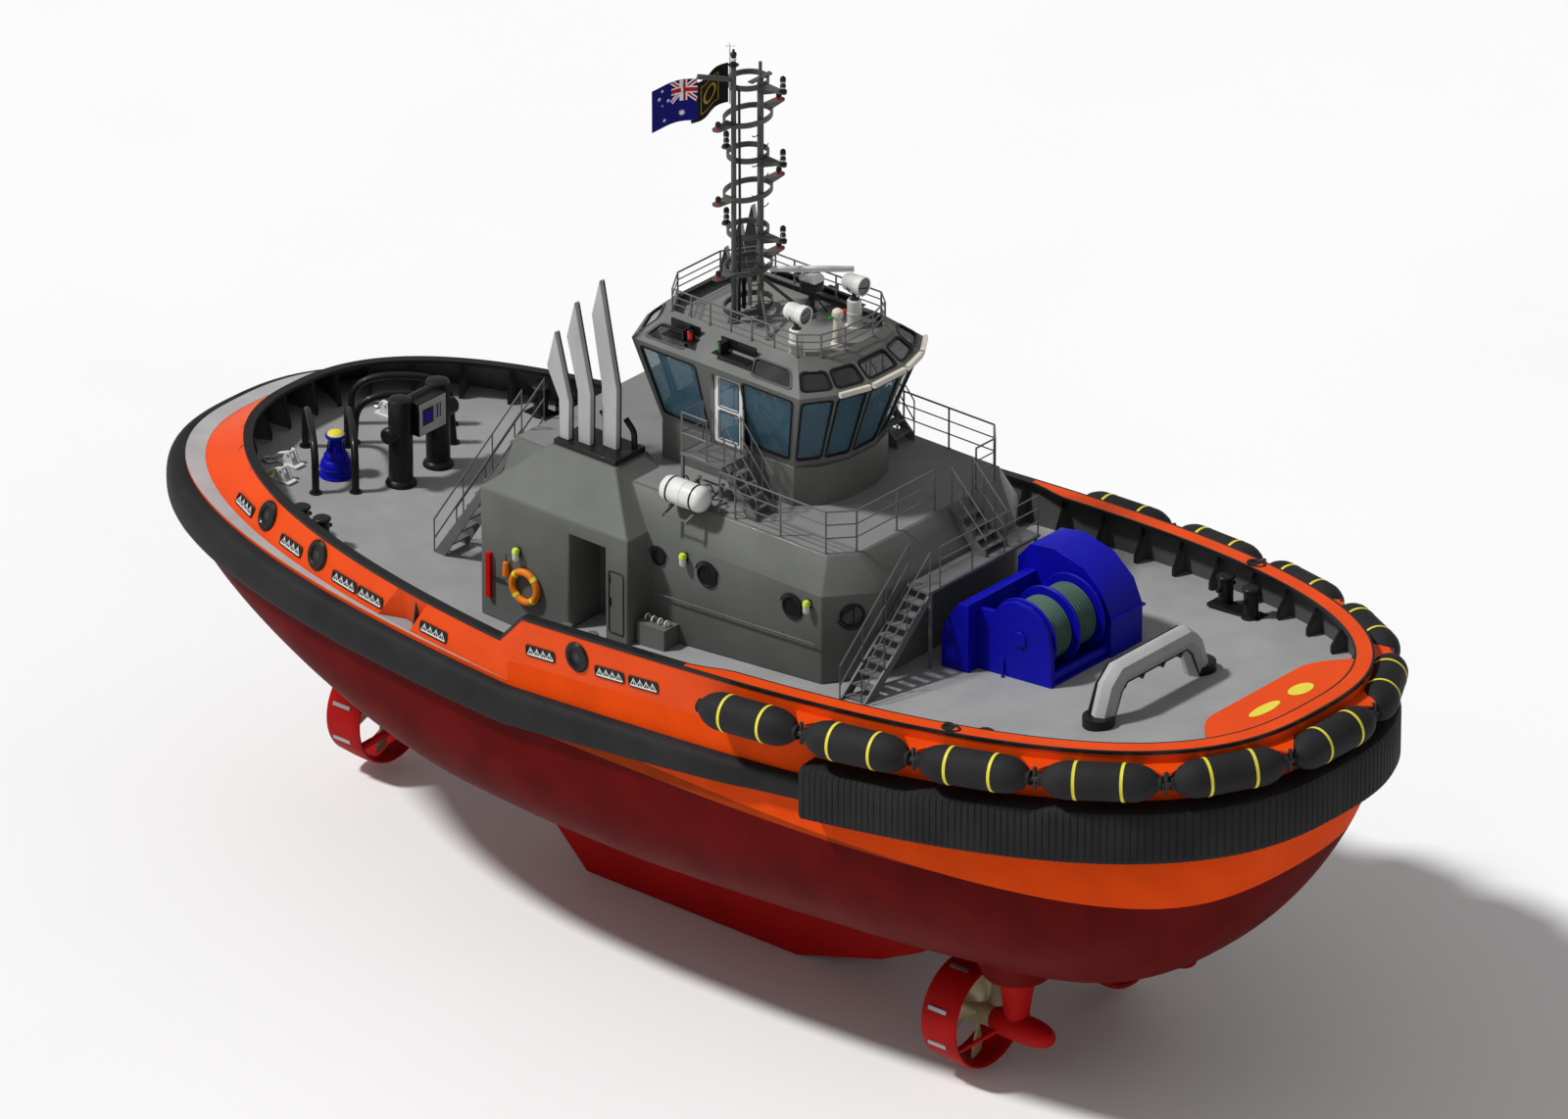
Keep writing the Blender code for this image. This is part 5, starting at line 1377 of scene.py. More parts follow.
    def platform(self) -> Parts:
        """The bow platform, whose aft edge runs straight across and then curves out to the cap.

        Returns:
            The patches.
        """
        y = np.linspace(-2.75, 2.75, 45)
        ease = np.clip((np.abs(y) - 1.45) / 1.3, 0, 1)
        aft = 13.25 + 0.98 * (1 - np.cos(ease * np.pi / 2)) ** 1.0
        power = LINES.fore_power
        fore = LINES.fore * (1 - (np.abs(y) / LINES.half) ** power) ** (1 / power) - 0.3
        share = np.linspace(0, 1, 6)[None, :]
        x = aft[:, None] * (1 - share) + fore[:, None] * share
        top = np.stack((x, np.broadcast_to(y[:, None], x.shape), LINES.cap_top(x) - 0.012), axis=-1)
        low = top - np.array((0, 0, 0.055))
        return [grid(top, slot=0), grid(low, slot=1), ribbon(top[:, 0], low[:, 0], slot=2)]

    def platform_marks(self) -> Parts:
        """Two plain yellow marks that show where the towing rope runs.

        Returns:
            The patches.
        """
        made = []
        for y, wide, long in ((-0.62, 0.16, 0.5), (0.62, 0.22, 0.36)):
            turn = circle(24)
            ring = np.stack((14.0 + wide * np.cos(turn), y + long * np.sin(turn), 0 * turn), axis=1)
            ring[:, 2] = LINES.cap_top(ring[:, 0]) - 0.006
            made.append(disc(ring, slot=4))
        return made

    def cap_rings(self) -> Parts:
        """The oval rope openings in the fore cap.

        Returns:
            The patches.
        """
        made = []
        for x in self.cap_chocks[:1]:
            angle = np.array((LINES.angle(x),))
            _, top, normal = LINES.wall(angle)
            centre = top[0] - normal[0] * 0.2
            ring = [(0.13, -0.05), (0.13, 0.01), (0.15, 0.03), (0.19, 0.03), (0.21, 0.0), (0.21, -0.05)]
            oval = np.diag((1.25, 0.8, 1.0))
            for part in (
                turned(ring, (0, 0, 0), "Z", 32, 2),
                turned([(0.0, 0.004), (0.14, 0.004)], (0, 0, 0), "Z", 32, 2),
            ):
                made += [part.moved(oval, centre), part.moved(oval, centre * MIRROR)]
        return made

    def build(self) -> None:
        """Makes the pieces."""
        patches = [*self.plating(), *self.cap(), *self.stays(), *self.platform()]
        dress("bulwark", patches, [ORANGE, INNER, BLACK, WHITE, YELLOW], slot="orange_paint")
        fittings = []
        for x in self.chocks:
            fittings += self.chock(x)
        for x in self.ports:
            fittings += self.freeing_port(x)
        fittings += mirrored(fittings)
        fittings += self.cap_rings() + self.platform_marks()
        piece("bulwark_fittings", fittings, [ORANGE, DARK, BLACK, WHITE, YELLOW], slot="gear_paint")


def rail_run(posts: list, heights: tuple, radius: float = 0.022, closed: bool = False) -> Parts:
    """Round rails over a row of post feet: a post at each foot, and a bar through them at each height.

    Args:
        posts: feet of the posts.
        heights: heights of the bars, the last one the top rail.
        radius: radius of the top rail and posts.
        closed: joins the last post to the first.

    Returns:
        The patches.
    """
    posts = np.asarray(posts, float)
    made = [bar(foot, foot + UP * heights[-1], radius, 8) for foot in posts]
    line = np.vstack((posts, posts[:1])) if closed else posts
    for height in heights:
        size = radius if height == heights[-1] else radius * 0.72
        for one, two in zip(line, line[1:]):
            made.append(bar(one + UP * height, two + UP * height, size, 8))
    flange = [(0.0, 0.012), (radius * 2.2, 0.012), (radius * 2.4, 0.0)]
    return made + [turned(flange, foot, "Z", 12) for foot in posts]


@dataclass
class Deckhouse:
    """The deckhouse with portholes, lamps, doors and what hangs on its walls."""

    half: float = 3.34
    casing_half: float = 4.05
    top: float = 5.5
    portholes: tuple = ((-0.91, 4.18, 0.15), (0.51, 4.18, 0.23), (2.96, 4.2, 0.23))
    lamps: tuple = ((-4.37, 3.42, 4.05), (-0.11, 4.4, 3.34), (3.45, 4.4, 3.34))
    blades: tuple = ((-4.0, 2.86, 8.46), (-3.5, 2.76, 9.29), (-2.95, 2.55, 9.92))
    blade_halves: tuple = (0.13, 0.17, 0.2)
    plinth: tuple = (5.8, 5.925)
    plinth_outline: tuple = ((-4.2, 2.05), (-2.4, 2.05), (-2.4, 3.07), (-4.2, 3.07))
    funnel_pipes: tuple = ((-2.55, 2.25, 6.3), (-3.3, 2.2, 6.25))
    funnel_pipe_foot: float = 5.9
    lifebuoy_place: Pair = (-4.14, 2.68)
    lifebuoy_radius: float = 0.36
    float_light: Pair = (-4.69, 2.94)
    bench_box: tuple = ((-1.12, -3.85, 2.05), (-0.32, -3.36, 2.72))
    vent_places: tuple = ((-2.55, 4.55), (-1.75, 4.6))
    wall_rail: tuple = ((-1.0, 3.32), (3.7, 3.56))

    def porthole(self, radius: float) -> Parts:
        """A porthole about the origin that looks out along +Z: rim, glass and a rain lip above it.

        Args:
            radius: of the glass.

        Returns:
            The patches.
        """
        rim = [
            (radius, -0.01), (radius + 0.055, 0.0), (radius + 0.055, 0.035), (radius + 0.02, 0.045),
            (radius, 0.03),
        ]
        parts = [turned(rim + rim[:1], (0, 0, 0), "Z", 32, 0)]
        parts.append(turned([(0.0, 0.015), (radius + 0.01, 0.012)], (0, 0, 0), "Z", 32, 1))
        turn = np.radians(np.linspace(15, 165, 17))
        lip = np.stack(
            ((radius + 0.1) * np.cos(turn), (radius + 0.1) * np.sin(turn), 0 * turn + 0.03), axis=1
        )
        parts.append(tube(lip, 0.018, 6, slot=0))
        return parts

    def lamp(self) -> Parts:
        """A bulkhead lamp that stands off the wall: white globe, lime cover and a black foot.

        Returns:
            The patches.
        """
        globe = [(0.0, -0.16), (0.05, -0.15), (0.075, -0.11), (0.075, 0.03)]
        cover = [(0.085, 0.03), (0.085, 0.1), (0.06, 0.15), (0.0, 0.17)]
        parts = [turned(globe, (0, 0.12, 0), "Z", 16, 2), turned(cover, (0, 0.12, 0), "Z", 16, 3)]
        parts.append(box((-0.04, 0.0, 0.02), (0.04, 0.1, 0.1), 3))
        parts.append(box((-0.06, -0.005, -0.05), (0.06, 0.02, 0.14), 0))
        return parts

    def on_walls(self, parts: Parts, x: float, z: float, half: float) -> Parts:
        """Parts that look along +Y, placed on both side walls."""
        port = [part.at((x, half, z)) for part in parts]
        return port + mirrored(port)

    def lifebuoy(self) -> Parts:
        """A lifebuoy on the starboard casing: a ring with four yellow bands.

        Returns:
            The patches.
        """
        turn = circle(48)
        x, z = self.lifebuoy_place
        centre = np.array((x, -self.casing_half - 0.09, z))
        ring = centre + self.lifebuoy_radius * np.stack((np.cos(turn), 0 * turn, np.sin(turn)), axis=1)
        parts = [tube(ring, 0.085, 14, wrap=True, slot=4)]
        for quarter in range(4):
            angle = np.linspace(-0.12, 0.12, 5) + np.pi * (0.25 + quarter / 2)
            band = centre + self.lifebuoy_radius * np.stack((np.cos(angle), 0 * angle, np.sin(angle)), axis=1)
            parts.append(tube(band, 0.09, 14, slot=5))
        return parts

    def wall_gear(self) -> Parts:
        """Hose box, float light, hooks, locker door, hand rail and a bench box.

        Returns:
            The patches.
        """
        wall = -self.casing_half
        parts = [box((-5.28, wall - 0.1, 2.08), (-5.16, wall, 3.18), 6)]
        parts.append(bar((-5.16, wall - 0.06, 2.62), (-4.76, wall - 0.05, 2.62), 0.02, 8, 0))
        x, z = self.float_light
        light = [(0.0, 0.2), (0.06, 0.18), (0.075, 0.02), (0.075, -0.14), (0.0, -0.16)]
        parts.append(turned(light, (x, wall - 0.09, z), "Z", 16, 4))
        parts.append(bar((x, wall - 0.08, 3.12), (x, wall - 0.08, 3.32), 0.012, 6, 0))
        outline = rounded(0.42, 1.5, 0.05)
        ring = np.stack(
            (outline[:, 0] - 1.53, np.full(len(outline), wall - 0.008), outline[:, 1] + 3.1), axis=1
        )
        parts.append(tube(ring, 0.012, 6, wrap=True, slot=0))
        parts.append(box((-1.72, wall - 0.03, 3.0), (-1.69, wall, 3.2), 0))
        parts.append(box((-1.73, wall - 0.03, 3.55), (-1.71, wall, 3.75), 0))
        (x0, z0), (x1, z1) = self.wall_rail
        parts.append(bar((x0, -self.half - 0.1, z0), (x1, -self.half - 0.1, z1), 0.018, 8, 7))
        for share in np.linspace(0.03, 0.97, 6):
            spot = (x0 + (x1 - x0) * share, -self.half - 0.1, z0 + (z1 - z0) * share)
            parts.append(bar(spot, (spot[0], -self.half + 0.01, spot[2]), 0.012, 6, 7))
        return parts

    def bench(self) -> Parts:
        """The box with four white rope hooks beside the casing.

        Returns:
            The patches.
        """
        low, high = self.bench_box
        parts = [box(low, high, 8)]
        for x in np.linspace(low[0] + 0.12, high[0] - 0.12, 4):
            turn = np.linspace(-0.4, np.pi + 0.4, 12)
            hook = np.stack((x + 0 * turn, -3.62 + 0.07 * np.cos(turn), 2.78 + 0.07 * np.sin(turn)), axis=1)
            parts.append(tube(hook, 0.022, 8, slot=2))
        return parts

    def vents(self) -> Parts:
        """Small mushroom vents on the side decks.

        Returns:
            The patches.
        """
        made = []
        for x, y in self.vent_places:
            deck = float(LINES.deck(np.array(x)))
            profile = [(0.0, 0.42), (0.13, 0.4), (0.15, 0.33), (0.09, 0.3), (0.08, 0.0)]
            vent = turned(profile, (x, -y, deck), "Z", 16, 8)
            made += [vent, vent.mirrored()]
        return made

    def top_deck(self) -> Parts:
        """A thin non-skid covering over the level top of the house."""
        outline = [(-5.45, 2.86), (3.55, 2.86), (4.0, 2.38), (4.0, -2.38), (3.55, -2.86), (-5.45, -2.86)]
        return [prism(outline, self.top, self.top + 0.006, "XY", 9)]

    def build(self) -> None:
        """Makes the pieces."""
        polished("deckhouse", HOUSE, slot="house_paint", bevel=0.035)
        parts = []
        facing = np.array(((1.0, 0.0, 0.0), (0.0, 0.0, 1.0), (0.0, 1.0, 0.0)))
        for x, z, radius in self.portholes:
            hole = [part.moved(facing) for part in self.porthole(radius)]
            parts += self.on_walls(hole, x, z, self.half)
        corner = frame_of(np.array((0.84, -1.09, 0.0)), np.array((1.09, 0.84, 0.0)))
        oblique = [part.moved(corner, (4.2, 2.795, 4.2)) for part in self.porthole(0.23)]
        parts += oblique + mirrored(oblique)
        for x, z, half in self.lamps:
            parts += self.on_walls(self.lamp(), x, z, half)
        parts += self.lifebuoy() + self.wall_gear() + self.bench() + self.vents() + self.top_deck()
        finishes = [BLACK, DARK_GLASS, WHITE, LIME, BUOY, YELLOW, SCARLET, RAIL, HOUSE, UPPER]
        piece("house_fittings", parts, finishes, slot="house_paint")
        self.funnels()

    def funnels(self) -> None:
        """Three leaning blades a side, each a tapered twin plate on a black plinth with pipes beside it."""
        for name, side in SIDES:
            low, foot = self.plinth
            parts = [prism(self.plinth_outline, low, foot, "XY", 1)]
            for (x, y, tip), half in zip(self.blades, self.blade_halves):
                bend = foot + 0.37 * (tip - foot)
                outline = [
                    (x - half, foot), (x + half, foot), (x + half + 0.02, bend), (x - 0.27, tip),
                    (x - 0.5, tip - 0.89),
                ]
                outline.append((x - half - 0.02, bend))
                parts.append(prism(outline, y - 0.05, y + 0.08, "XZ", 0))
                inner = [(px + 0.012, pz) for px, pz in outline]
                parts.append(prism(inner, y - 0.085, y - 0.052, "XZ", 1))
                for at in (x - half + 0.05, x + half - 0.05):
                    parts.append(bar((at, y + 0.02, low), (at, y + 0.02, foot + 0.02), 0.035, 8, 1))
            for x, y, high in self.funnel_pipes:
                turn_off = (x - 0.25, y, high + 0.25)
                pipe = smooth_path([(x, y, self.funnel_pipe_foot), (x, y, high), turn_off], 14)
                parts.append(tube(pipe, 0.07, 12, slot=1))
            finishes, node = [STACK, BLACK, DARK], f"funnel_{name}"
            dress(
                node, on_side(side, parts), finishes, f"funnel_skin_{name}", slot="funnel_paint", bevel=0.012
            )


@dataclass
class Wheelhouse:
    """The glazed wheelhouse: base, frame, panes, skylights, visors, doors and side light boards."""

    sill: tuple = ((2.08, 0.43), (1.83, 1.05), (1.46, 1.55), (-2.34, 1.55), (-2.6, 0.78))
    brow: tuple = ((2.83, 0.58), (2.58, 1.40), (2.10, 2.10), (-2.75, 2.10), (-3.25, 1.0))
    band: tuple = ((2.02, 0.47), (1.85, 1.08), (1.45, 1.42), (-2.15, 1.42), (-2.6, 0.72))
    sill_z: float = 6.45
    brow_z: float = 8.5
    band_z: float = 9.1
    side_windows: tuple = ((0.04, 0.345), (0.63, 0.96))
    side_skylights: tuple = ((0.05, 0.3), (0.72, 0.96))
    window_rise: tuple = (0.1, 0.93)
    skylight_rise: tuple = (0.16, 0.62)
    margin: float = 0.07
    corner: float = 0.09
    surround_out: float = 0.016
    surround_in: float = -0.035
    door_foot: Point = (-0.5, 1.86, 6.62)
    boards: tuple = ((-1.95, -1.12, -1.26, -1.36, 3), (-0.5, 0.5, -0.38, -0.28, 4))
    door_panes: tuple = ((0.11, 0.79), (0.89, 1.56))

    def ring(self, corners: tuple, z: float) -> Array:
        """A ring of corners from port front round the stern to starboard front."""
        port = [(x, y, z) for x, y in corners]
        return np.array(port + [(x, -y, z) for x, y, z in reversed(port)])

    def facets(self) -> list[tuple[Array, tuple, bool]]:
        """Every window as its facet's four corners, its shares across and up, and whether it is a skylight.

        Returns:
            The windows.
        """
        sill, brow, band = (
            self.ring(corners, z)
            for corners, z in ((self.sill, self.sill_z), (self.brow, self.brow_z), (self.band, self.band_z))
        )
        made = []
        for low, high, rise, sides, sky in (
            (sill, brow, self.window_rise, self.side_windows, False),
            (brow, band, self.skylight_rise, self.side_skylights, True),
        ):
            for i in range(len(low)):
                j = (i + 1) % len(low)
                corners = np.array((low[i], low[j], high[j], high[i]))
                spans = ((self.margin, 1 - self.margin),)
                if i in (2, 6):
                    spans = sides if i == 2 else tuple((1 - end, 1 - start) for start, end in sides)
                elif i == 4 and not sky:
                    spans = ((0.06, 0.47), (0.53, 0.94))
                made += [(corners, (start, end, *rise), sky) for start, end in spans]
        return made

    def window(self, corners: Array, share: tuple, sky: bool) -> tuple[Parts, Patch]:
        """One window: a dark rounded surround proud of the wall, and the pane inside the opening.

        The outline is a rounded rectangle in shares of the facet, and a point at (u, v) is the mix of the
        facet's four corners.

        Args:
            corners: the facet's corners: low, low, high, high.
            share: start and end across, then start and end up.
            sky: whether it is a skylight.

        Returns:
            The surround, and the pane.
        """
        u0, u1, v0, v1 = share
        normal = np.cross(corners[1] - corners[0], corners[3] - corners[0])
        normal /= np.linalg.norm(normal)
        if normal[:2] @ corners[:, :2].mean(axis=0) < 0:
            normal = -normal
        wide = np.linalg.norm(corners[2] - corners[3]) * (u1 - u0)
        tall = np.linalg.norm(corners[3] - corners[0]) * (v1 - v0)

        def at(outline: Array, out: float) -> Array:
            """Points of a flat outline in metres about the window's middle, on the facet.

            Args:
                outline: flat points.
                out: distance off the facet.

            Returns:
                The points.
            """
            u = (u0 + u1) / 2 + outline[:, :1] / wide * (u1 - u0)
            v = (v0 + v1) / 2 + outline[:, 1:] / tall * (v1 - v0)
            low = corners[0] + (corners[1] - corners[0]) * u
            high = corners[3] + (corners[2] - corners[3]) * u
            return low + (high - low) * v + normal * out

        outer = rounded(wide + 0.05, tall + 0.05, self.corner + 0.02)
        inner = rounded(wide - 0.05, tall - 0.05, self.corner)
        out, back = self.surround_out, self.surround_in
        rings = [at(outer, 0.001), at(outer, out), at(inner, out), at(inner, back), at(outer, back)]
        parts = rims(rings, 1)
        pane = disc(at(rounded(wide - 0.04, tall - 0.04, self.corner), -0.02), slot=1 if sky else 0)
        return parts, pane

    def visors(self) -> Parts:
        """Cream sun visors along the front brow, one to a facet.

        Returns:
            The patches.
        """
        brow = self.ring(self.brow, self.brow_z)
        made = []
        for i in (0, 1, 8, 9):
            one, two = brow[i], brow[(i + 1) % 10]
            out = np.cross(two - one, UP)
            out /= np.linalg.norm(out)
            if out @ one < 0:
                out = -out
            start, end = one + (two - one) * 0.04, one + (two - one) * 0.96
            matrix = np.stack(((end - start) / np.linalg.norm(end - start), out, UP), axis=1)
            length = np.linalg.norm(end - start)
            made.append(box((0, 0.0, -0.05), (length, 0.1, 0.06), 2).moved(matrix, start))
            made.append(box((0, 0.03, -0.09), (length, 0.08, -0.05), 1).moved(matrix, start))
        return made

    def light_boards(self) -> Parts:
        """Side light boards on the roof's slopes: a black back and end wall on a shelf, with a lamp.

        Returns:
            The patches.
        """
        made = []
        for start, end, lamp_x, wall_x, slot in self.boards:
            for low, high in (
                ((start, 1.66, 8.8), (end, 1.7, 9.08)),
                ((start, 1.66, 8.78), (end, 2.02, 8.81)),
                ((wall_x - 0.02, 1.66, 8.8), (wall_x + 0.02, 2.0, 9.06)),
            ):
                made.append(box(low, high, 1))
            profile = [(0.0, 0.13), (0.06, 0.12), (0.07, 0.09), (0.07, -0.07), (0.055, -0.09), (0.0, -0.09)]
            made.append(turned(profile, (lamp_x, 1.86, 8.9), "Z", 16, slot))
            hood = [(0.0, 0.16), (0.05, 0.15), (0.075, 0.125), (0.0, 0.12)]
            made.append(turned(hood, (lamp_x, 1.86, 8.9), "Z", 16, 1))
        return made + mirrored(made)

    def cabin(self) -> Parts:
        """What shows through the glass: floor, side consoles, screens, ceiling trunk and chair details.

        Returns:
            The patches.
        """
        parts = [prism(self.ring(self.sill, 0)[:, :2] * 0.96, 6.46, 6.5, "XY", 0)]
        for y in (-1.15, 0.75):
            parts.append(box((-1.6, y, 6.5), (-0.9, y + 0.4, 7.3), 1))
            parts.append(box((-1.55, y + 0.05, 7.3), (-1.3, y + 0.35, 7.65), 0))
        for y in (-0.5, 0.0, 0.5):
            parts.append(box((1.5, y - 0.2, 7.42), (1.56, y + 0.2, 7.72), 0))
        parts.append(box((-1.9, -0.5, 8.55), (1.2, 0.5, 8.72), 1))
        parts.append(box((-2.2, -0.35, 6.5), (-1.7, 0.35, 7.9), 1))
        return parts

    def build(self) -> None:
        """Makes the pieces."""
        polished("wheelhouse_base", HOUSE, slot="house_paint", bevel=0.015)
        polished("wheelhouse_shell", HOUSE, slot="house_paint", bevel=0.006)
        polished("wheelhouse_roof", UPPER, slot="house_paint", bevel=0.004)
        surrounds, panes = [], []
        for corners, share, sky in self.facets():
            frame_parts, pane = self.window(corners, share, sky)
            surrounds += frame_parts
            panes.append(pane)
        trim = surrounds + self.visors() + self.light_boards()
        piece("wheelhouse_trim", trim, [HOUSE, BLACK, CREAM, SCARLET, GREEN], slot="house_paint")
        piece("wheelhouse_glass", panes, [BLUE_GLASS, DARK_GLASS], slot="house_paint")
        piece("cabin_fittings", self.cabin(), [CABIN, PANEL], slot="cabin_trim", bevel=0.015)
        polished("helm_console", CABIN, slot="cabin_trim", bevel=0.03)
        polished("helm_chair", CABIN, slot="cabin_trim", bevel=0.03)
        for name, side in SIDES:
            self.door(name, side)

    def door(self, name: str, side: float) -> None:
        """A white door with two panes, a handle and hinges, on its own body.

        Args:
            name: its side's name.
            side: 1 to port and -1 to starboard.
        """
        body = f"wheelhouse_door_{name}"
        polished(body, WHITE, body, slot="white_paint", bevel=0.006)
        x0, y, foot = self.door_foot
        panes = [
            box((x0 + 0.13, y + 0.02, foot + low), (x0 + 0.68, y + 0.035, foot + high), 0)
            for low, high in self.door_panes
        ]
        knob, grip = (x0 + 0.74, y + 0.1, foot + 0.78), (x0 + 0.6, y + 0.1, foot + 0.78)
        gear = [bar(knob, grip, 0.012, 8, 1)]
        gear.append(bar((x0 + 0.74, y + 0.05, foot + 0.78), knob, 0.014, 8, 1))
        for low, high in self.door_panes:
            outline = rounded(0.57, high - low + 0.02, 0.05)
            ring = np.stack(
                (
                    outline[:, 0] + x0 + 0.405, np.full(len(outline), y + 0.062),
                    outline[:, 1] + foot + (low + high) / 2,
                ),
                axis=1,
            )
            gear.append(tube(ring, 0.012, 6, wrap=True, slot=2))
        options = {"body": body, "slot": "white_paint"}
        piece(f"door_glass_{name}", on_side(side, panes), [BLUE_GLASS], **options)
        piece(f"door_gear_{name}", on_side(side, gear), [WHITE, STEEL, BLACK], **options)


@dataclass
class RoofTop:
    """Rails, searchlights, radar and binnacle on the wheelhouse roof."""

    roof: float = 8.83
    band: float = 9.1
    corners: tuple = (
        (2.02, 0.47), (1.85, 1.08), (1.45, 1.42), (0.15, 1.42), (-1.05, 1.42), (-2.15, 1.42), (-2.6, 0.72)
    )
    lights: tuple = (("stbd", 1.05, -0.98), ("port", 1.05, 0.98))
    rail_heights: tuple = (0.17, 0.34, 0.52)
    extra_posts: tuple = (-1.6, -0.45, 0.8)
    pillar_height: float = 0.66
    lamp_rise: float = 0.38
    radar: Pair = (-0.15, 0.95)
    radar_height: float = 0.72
    scanner_half: float = 0.93
    scanner_turn: float = 40.5
    binnacle_x: float = 1.4

    def rails(self) -> None:
        """The rail on the band's edge."""
        port = [(x, y, self.band) for x, y in self.corners]
        path = port + [(x, -y, z) for x, y, z in reversed(port)]
        radius, high, half = 0.021, self.band + self.rail_heights[-1], 1.42
        parts = rail_run(path, self.rail_heights, radius, closed=True)
        for x in self.extra_posts:
            for side in (-1, 1):
                parts.append(bar((x, side * half, self.band), (x, side * half, high), radius, 8))
        dress("roof_rail", parts, [RAIL], slot="rail_paint")

    def searchlight(self, name: str, x: float, y: float) -> None:
        """A searchlight: a ringed pillar, a yoke, a round lamp with a dark glass and cooling ribs.

        Args:
            name: its side's name.
            x: of the pillar.
            y: of the pillar.
        """
        high = self.pillar_height
        top = self.roof + high
        pillar = [
            (0.0, high), (0.13, high), (0.16, 0.63), (0.16, 0.37), (0.172, 0.36), (0.172, 0.31), (0.16, 0.3)
        ]
        pillar += [(0.16, 0.04), (0.2, 0.03), (0.2, 0.0), (0.0, 0.0)]
        lid = turned([(0.0, 0.667), (0.11, 0.667)], (x, y, self.roof), "Z", 24, 1)
        parts = [turned(pillar, (x, y, self.roof), "Z", 32), lid]
        dress(
            f"searchlight_pillar_{name}", parts, [WHITE, BLACK], f"searchlight_pillar_skin_{name}",
            slot="white_paint",
        )
        centre = top + self.lamp_rise
        shell = [(0.0, -0.28), (0.1, -0.275), (0.17, -0.24), (0.2, -0.17)]
        for step in range(4):
            at = -0.15 + 0.06 * step
            shell += [(0.205, at), (0.205, at + 0.035), (0.196, at + 0.04), (0.196, at + 0.055)]
        shell += [(0.2, 0.12), (0.222, 0.13), (0.222, 0.28), (0.2, 0.285), (0.19, 0.26)]
        parts = [
            turned(shell, (x, y, centre), "X", 40, 0),
            turned([(0.192, 0.255), (0.0, 0.262)], (x, y, centre), "X", 40, 1),
        ]
        sweep = np.linspace(-1.45, 1.45, 15)
        yoke = [(x, y + 0.24 * math.sin(a), centre - 0.245 * math.cos(a) + 0.02) for a in sweep]
        parts.append(tube(yoke, 0.018, 8, slot=2, flat=0.6))
        swivel = [(0.0, 0.14), (0.05, 0.14), (0.06, 0.02), (0.1, 0.01), (0.1, 0.001)]
        parts.append(turned(swivel, (x, y, top), "Z", 20, 2))
        dress(
            f"searchlight_{name}", parts, [WHITE, DARK_GLASS, DARK], f"searchlight_skin_{name}",
            body=f"searchlight_{name}", slot="white_paint",
        )

    def radar_unit(self) -> None:
        """The radar: post, round platform, gearbox with a bevelled top, and a long scanner bar."""
        x, y = self.radar
        top = self.roof + self.radar_height
        shape = [(0.0, 0.0), (0.11, 0.0), (0.11, 0.03), (0.06, 0.06), (0.06, 0.5), (0.2, 0.54), (0.27, 0.57)]
        shape += [(0.27, self.radar_height), (0.0, self.radar_height)]
        post = [turned(shape, (x, y, self.roof), "Z", 28)]
        for angle in np.radians((30, 150, 270)):
            across, along = math.cos(angle), math.sin(angle)
            foot = (x + 0.35 * across, y + 0.35 * along, self.roof + 0.01)
            post.append(bar(foot, (x + 0.06 * across, y + 0.06 * along, self.roof + 0.4), 0.018, 8))
        dress("radar_post", post, [DARK], slot="rail_paint")
        plate = [(0.0, 0.002), (0.26, 0.002), (0.27, 0.03), (0.25, 0.06), (0.0, 0.06)]
        parts = [turned(plate, (0, 0, 0), "Z", 28, 1)]
        levels = ((0.5, 0.38, 0.06), (0.46, 0.34, 0.15), (0.32, 0.24, 0.23))
        shells = [np.hstack((rounded(long, wide, 0.05), np.full((20, 1), z))) for long, wide, z in levels]
        parts += rims(shells) + [disc(shells[-1])]
        parts.append(turned([(0.06, 0.2), (0.06, 0.29), (0.0, 0.29)], (0, 0, 0), "Z", 20))
        share = np.linspace(-1, 1, 9)
        half = 0.07 * (1 - 0.35 * share**2)
        section = np.array(
            ((-1, -0.9), (-1, 0.9), (-0.6, 1), (0.6, 1), (1, 0.9), (1, -0.9), (0.6, -1), (-0.6, -1))
        )
        wide = half[:, None] * section[:, 0]
        rise = 0.31 + 0.055 * np.broadcast_to(section[:, 1], (9, 8))
        bars = np.stack((np.broadcast_to(self.scanner_half * share[:, None], (9, 8)), wide, rise), axis=-1)
        scanner = grid(bars, wrap_v=True, caps=True)
        turn = math.radians(self.scanner_turn)
        matrix = np.array(
            ((math.cos(turn), -math.sin(turn), 0), (math.sin(turn), math.cos(turn), 0), (0, 0, 1))
        )
        parts.append(scanner.moved(matrix))
        parts = [part.at((x, y, top)) for part in parts]
        dress("radar_scanner", parts, [WHITE, DARK], body="radar_scanner", slot="white_plastic", bevel=0.006)

    def binnacle(self) -> None:
        """The binnacle: a cream column with a round head, and a red and a green ball on arms."""
        place = (self.binnacle_x, 0.0, self.roof)
        column = [
            (0.0, 0.9), (0.06, 0.885), (0.115, 0.84), (0.135, 0.76), (0.115, 0.68), (0.09, 0.64), (0.1, 0.5)
        ]
        column += [(0.11, 0.1), (0.15, 0.06), (0.155, 0.0)]
        parts = [turned(column, place, "Z", 28)]
        for side, slot in ((-1, 2), (1, 1)):
            centre = (self.binnacle_x, side * 0.24, self.roof + 0.74)
            turn = np.linspace(0, np.pi, 12)
            ball = np.stack((0.055 * np.sin(turn), 0.055 * np.cos(turn)), axis=1)
            parts.append(turned(ball, centre, "Z", 20, slot))
            parts.append(bar((self.binnacle_x, 0.0, self.roof + 0.7), centre, 0.014, 8, 3))
        dress("binnacle", parts, [CREAM, SCARLET, GREEN, BLACK], slot="white_paint")

    def build(self) -> None:
        """Makes the pieces."""
        self.rails()
        for name, x, y in self.lights:
            self.searchlight(name, x, y)
        self.radar_unit()
        self.binnacle()


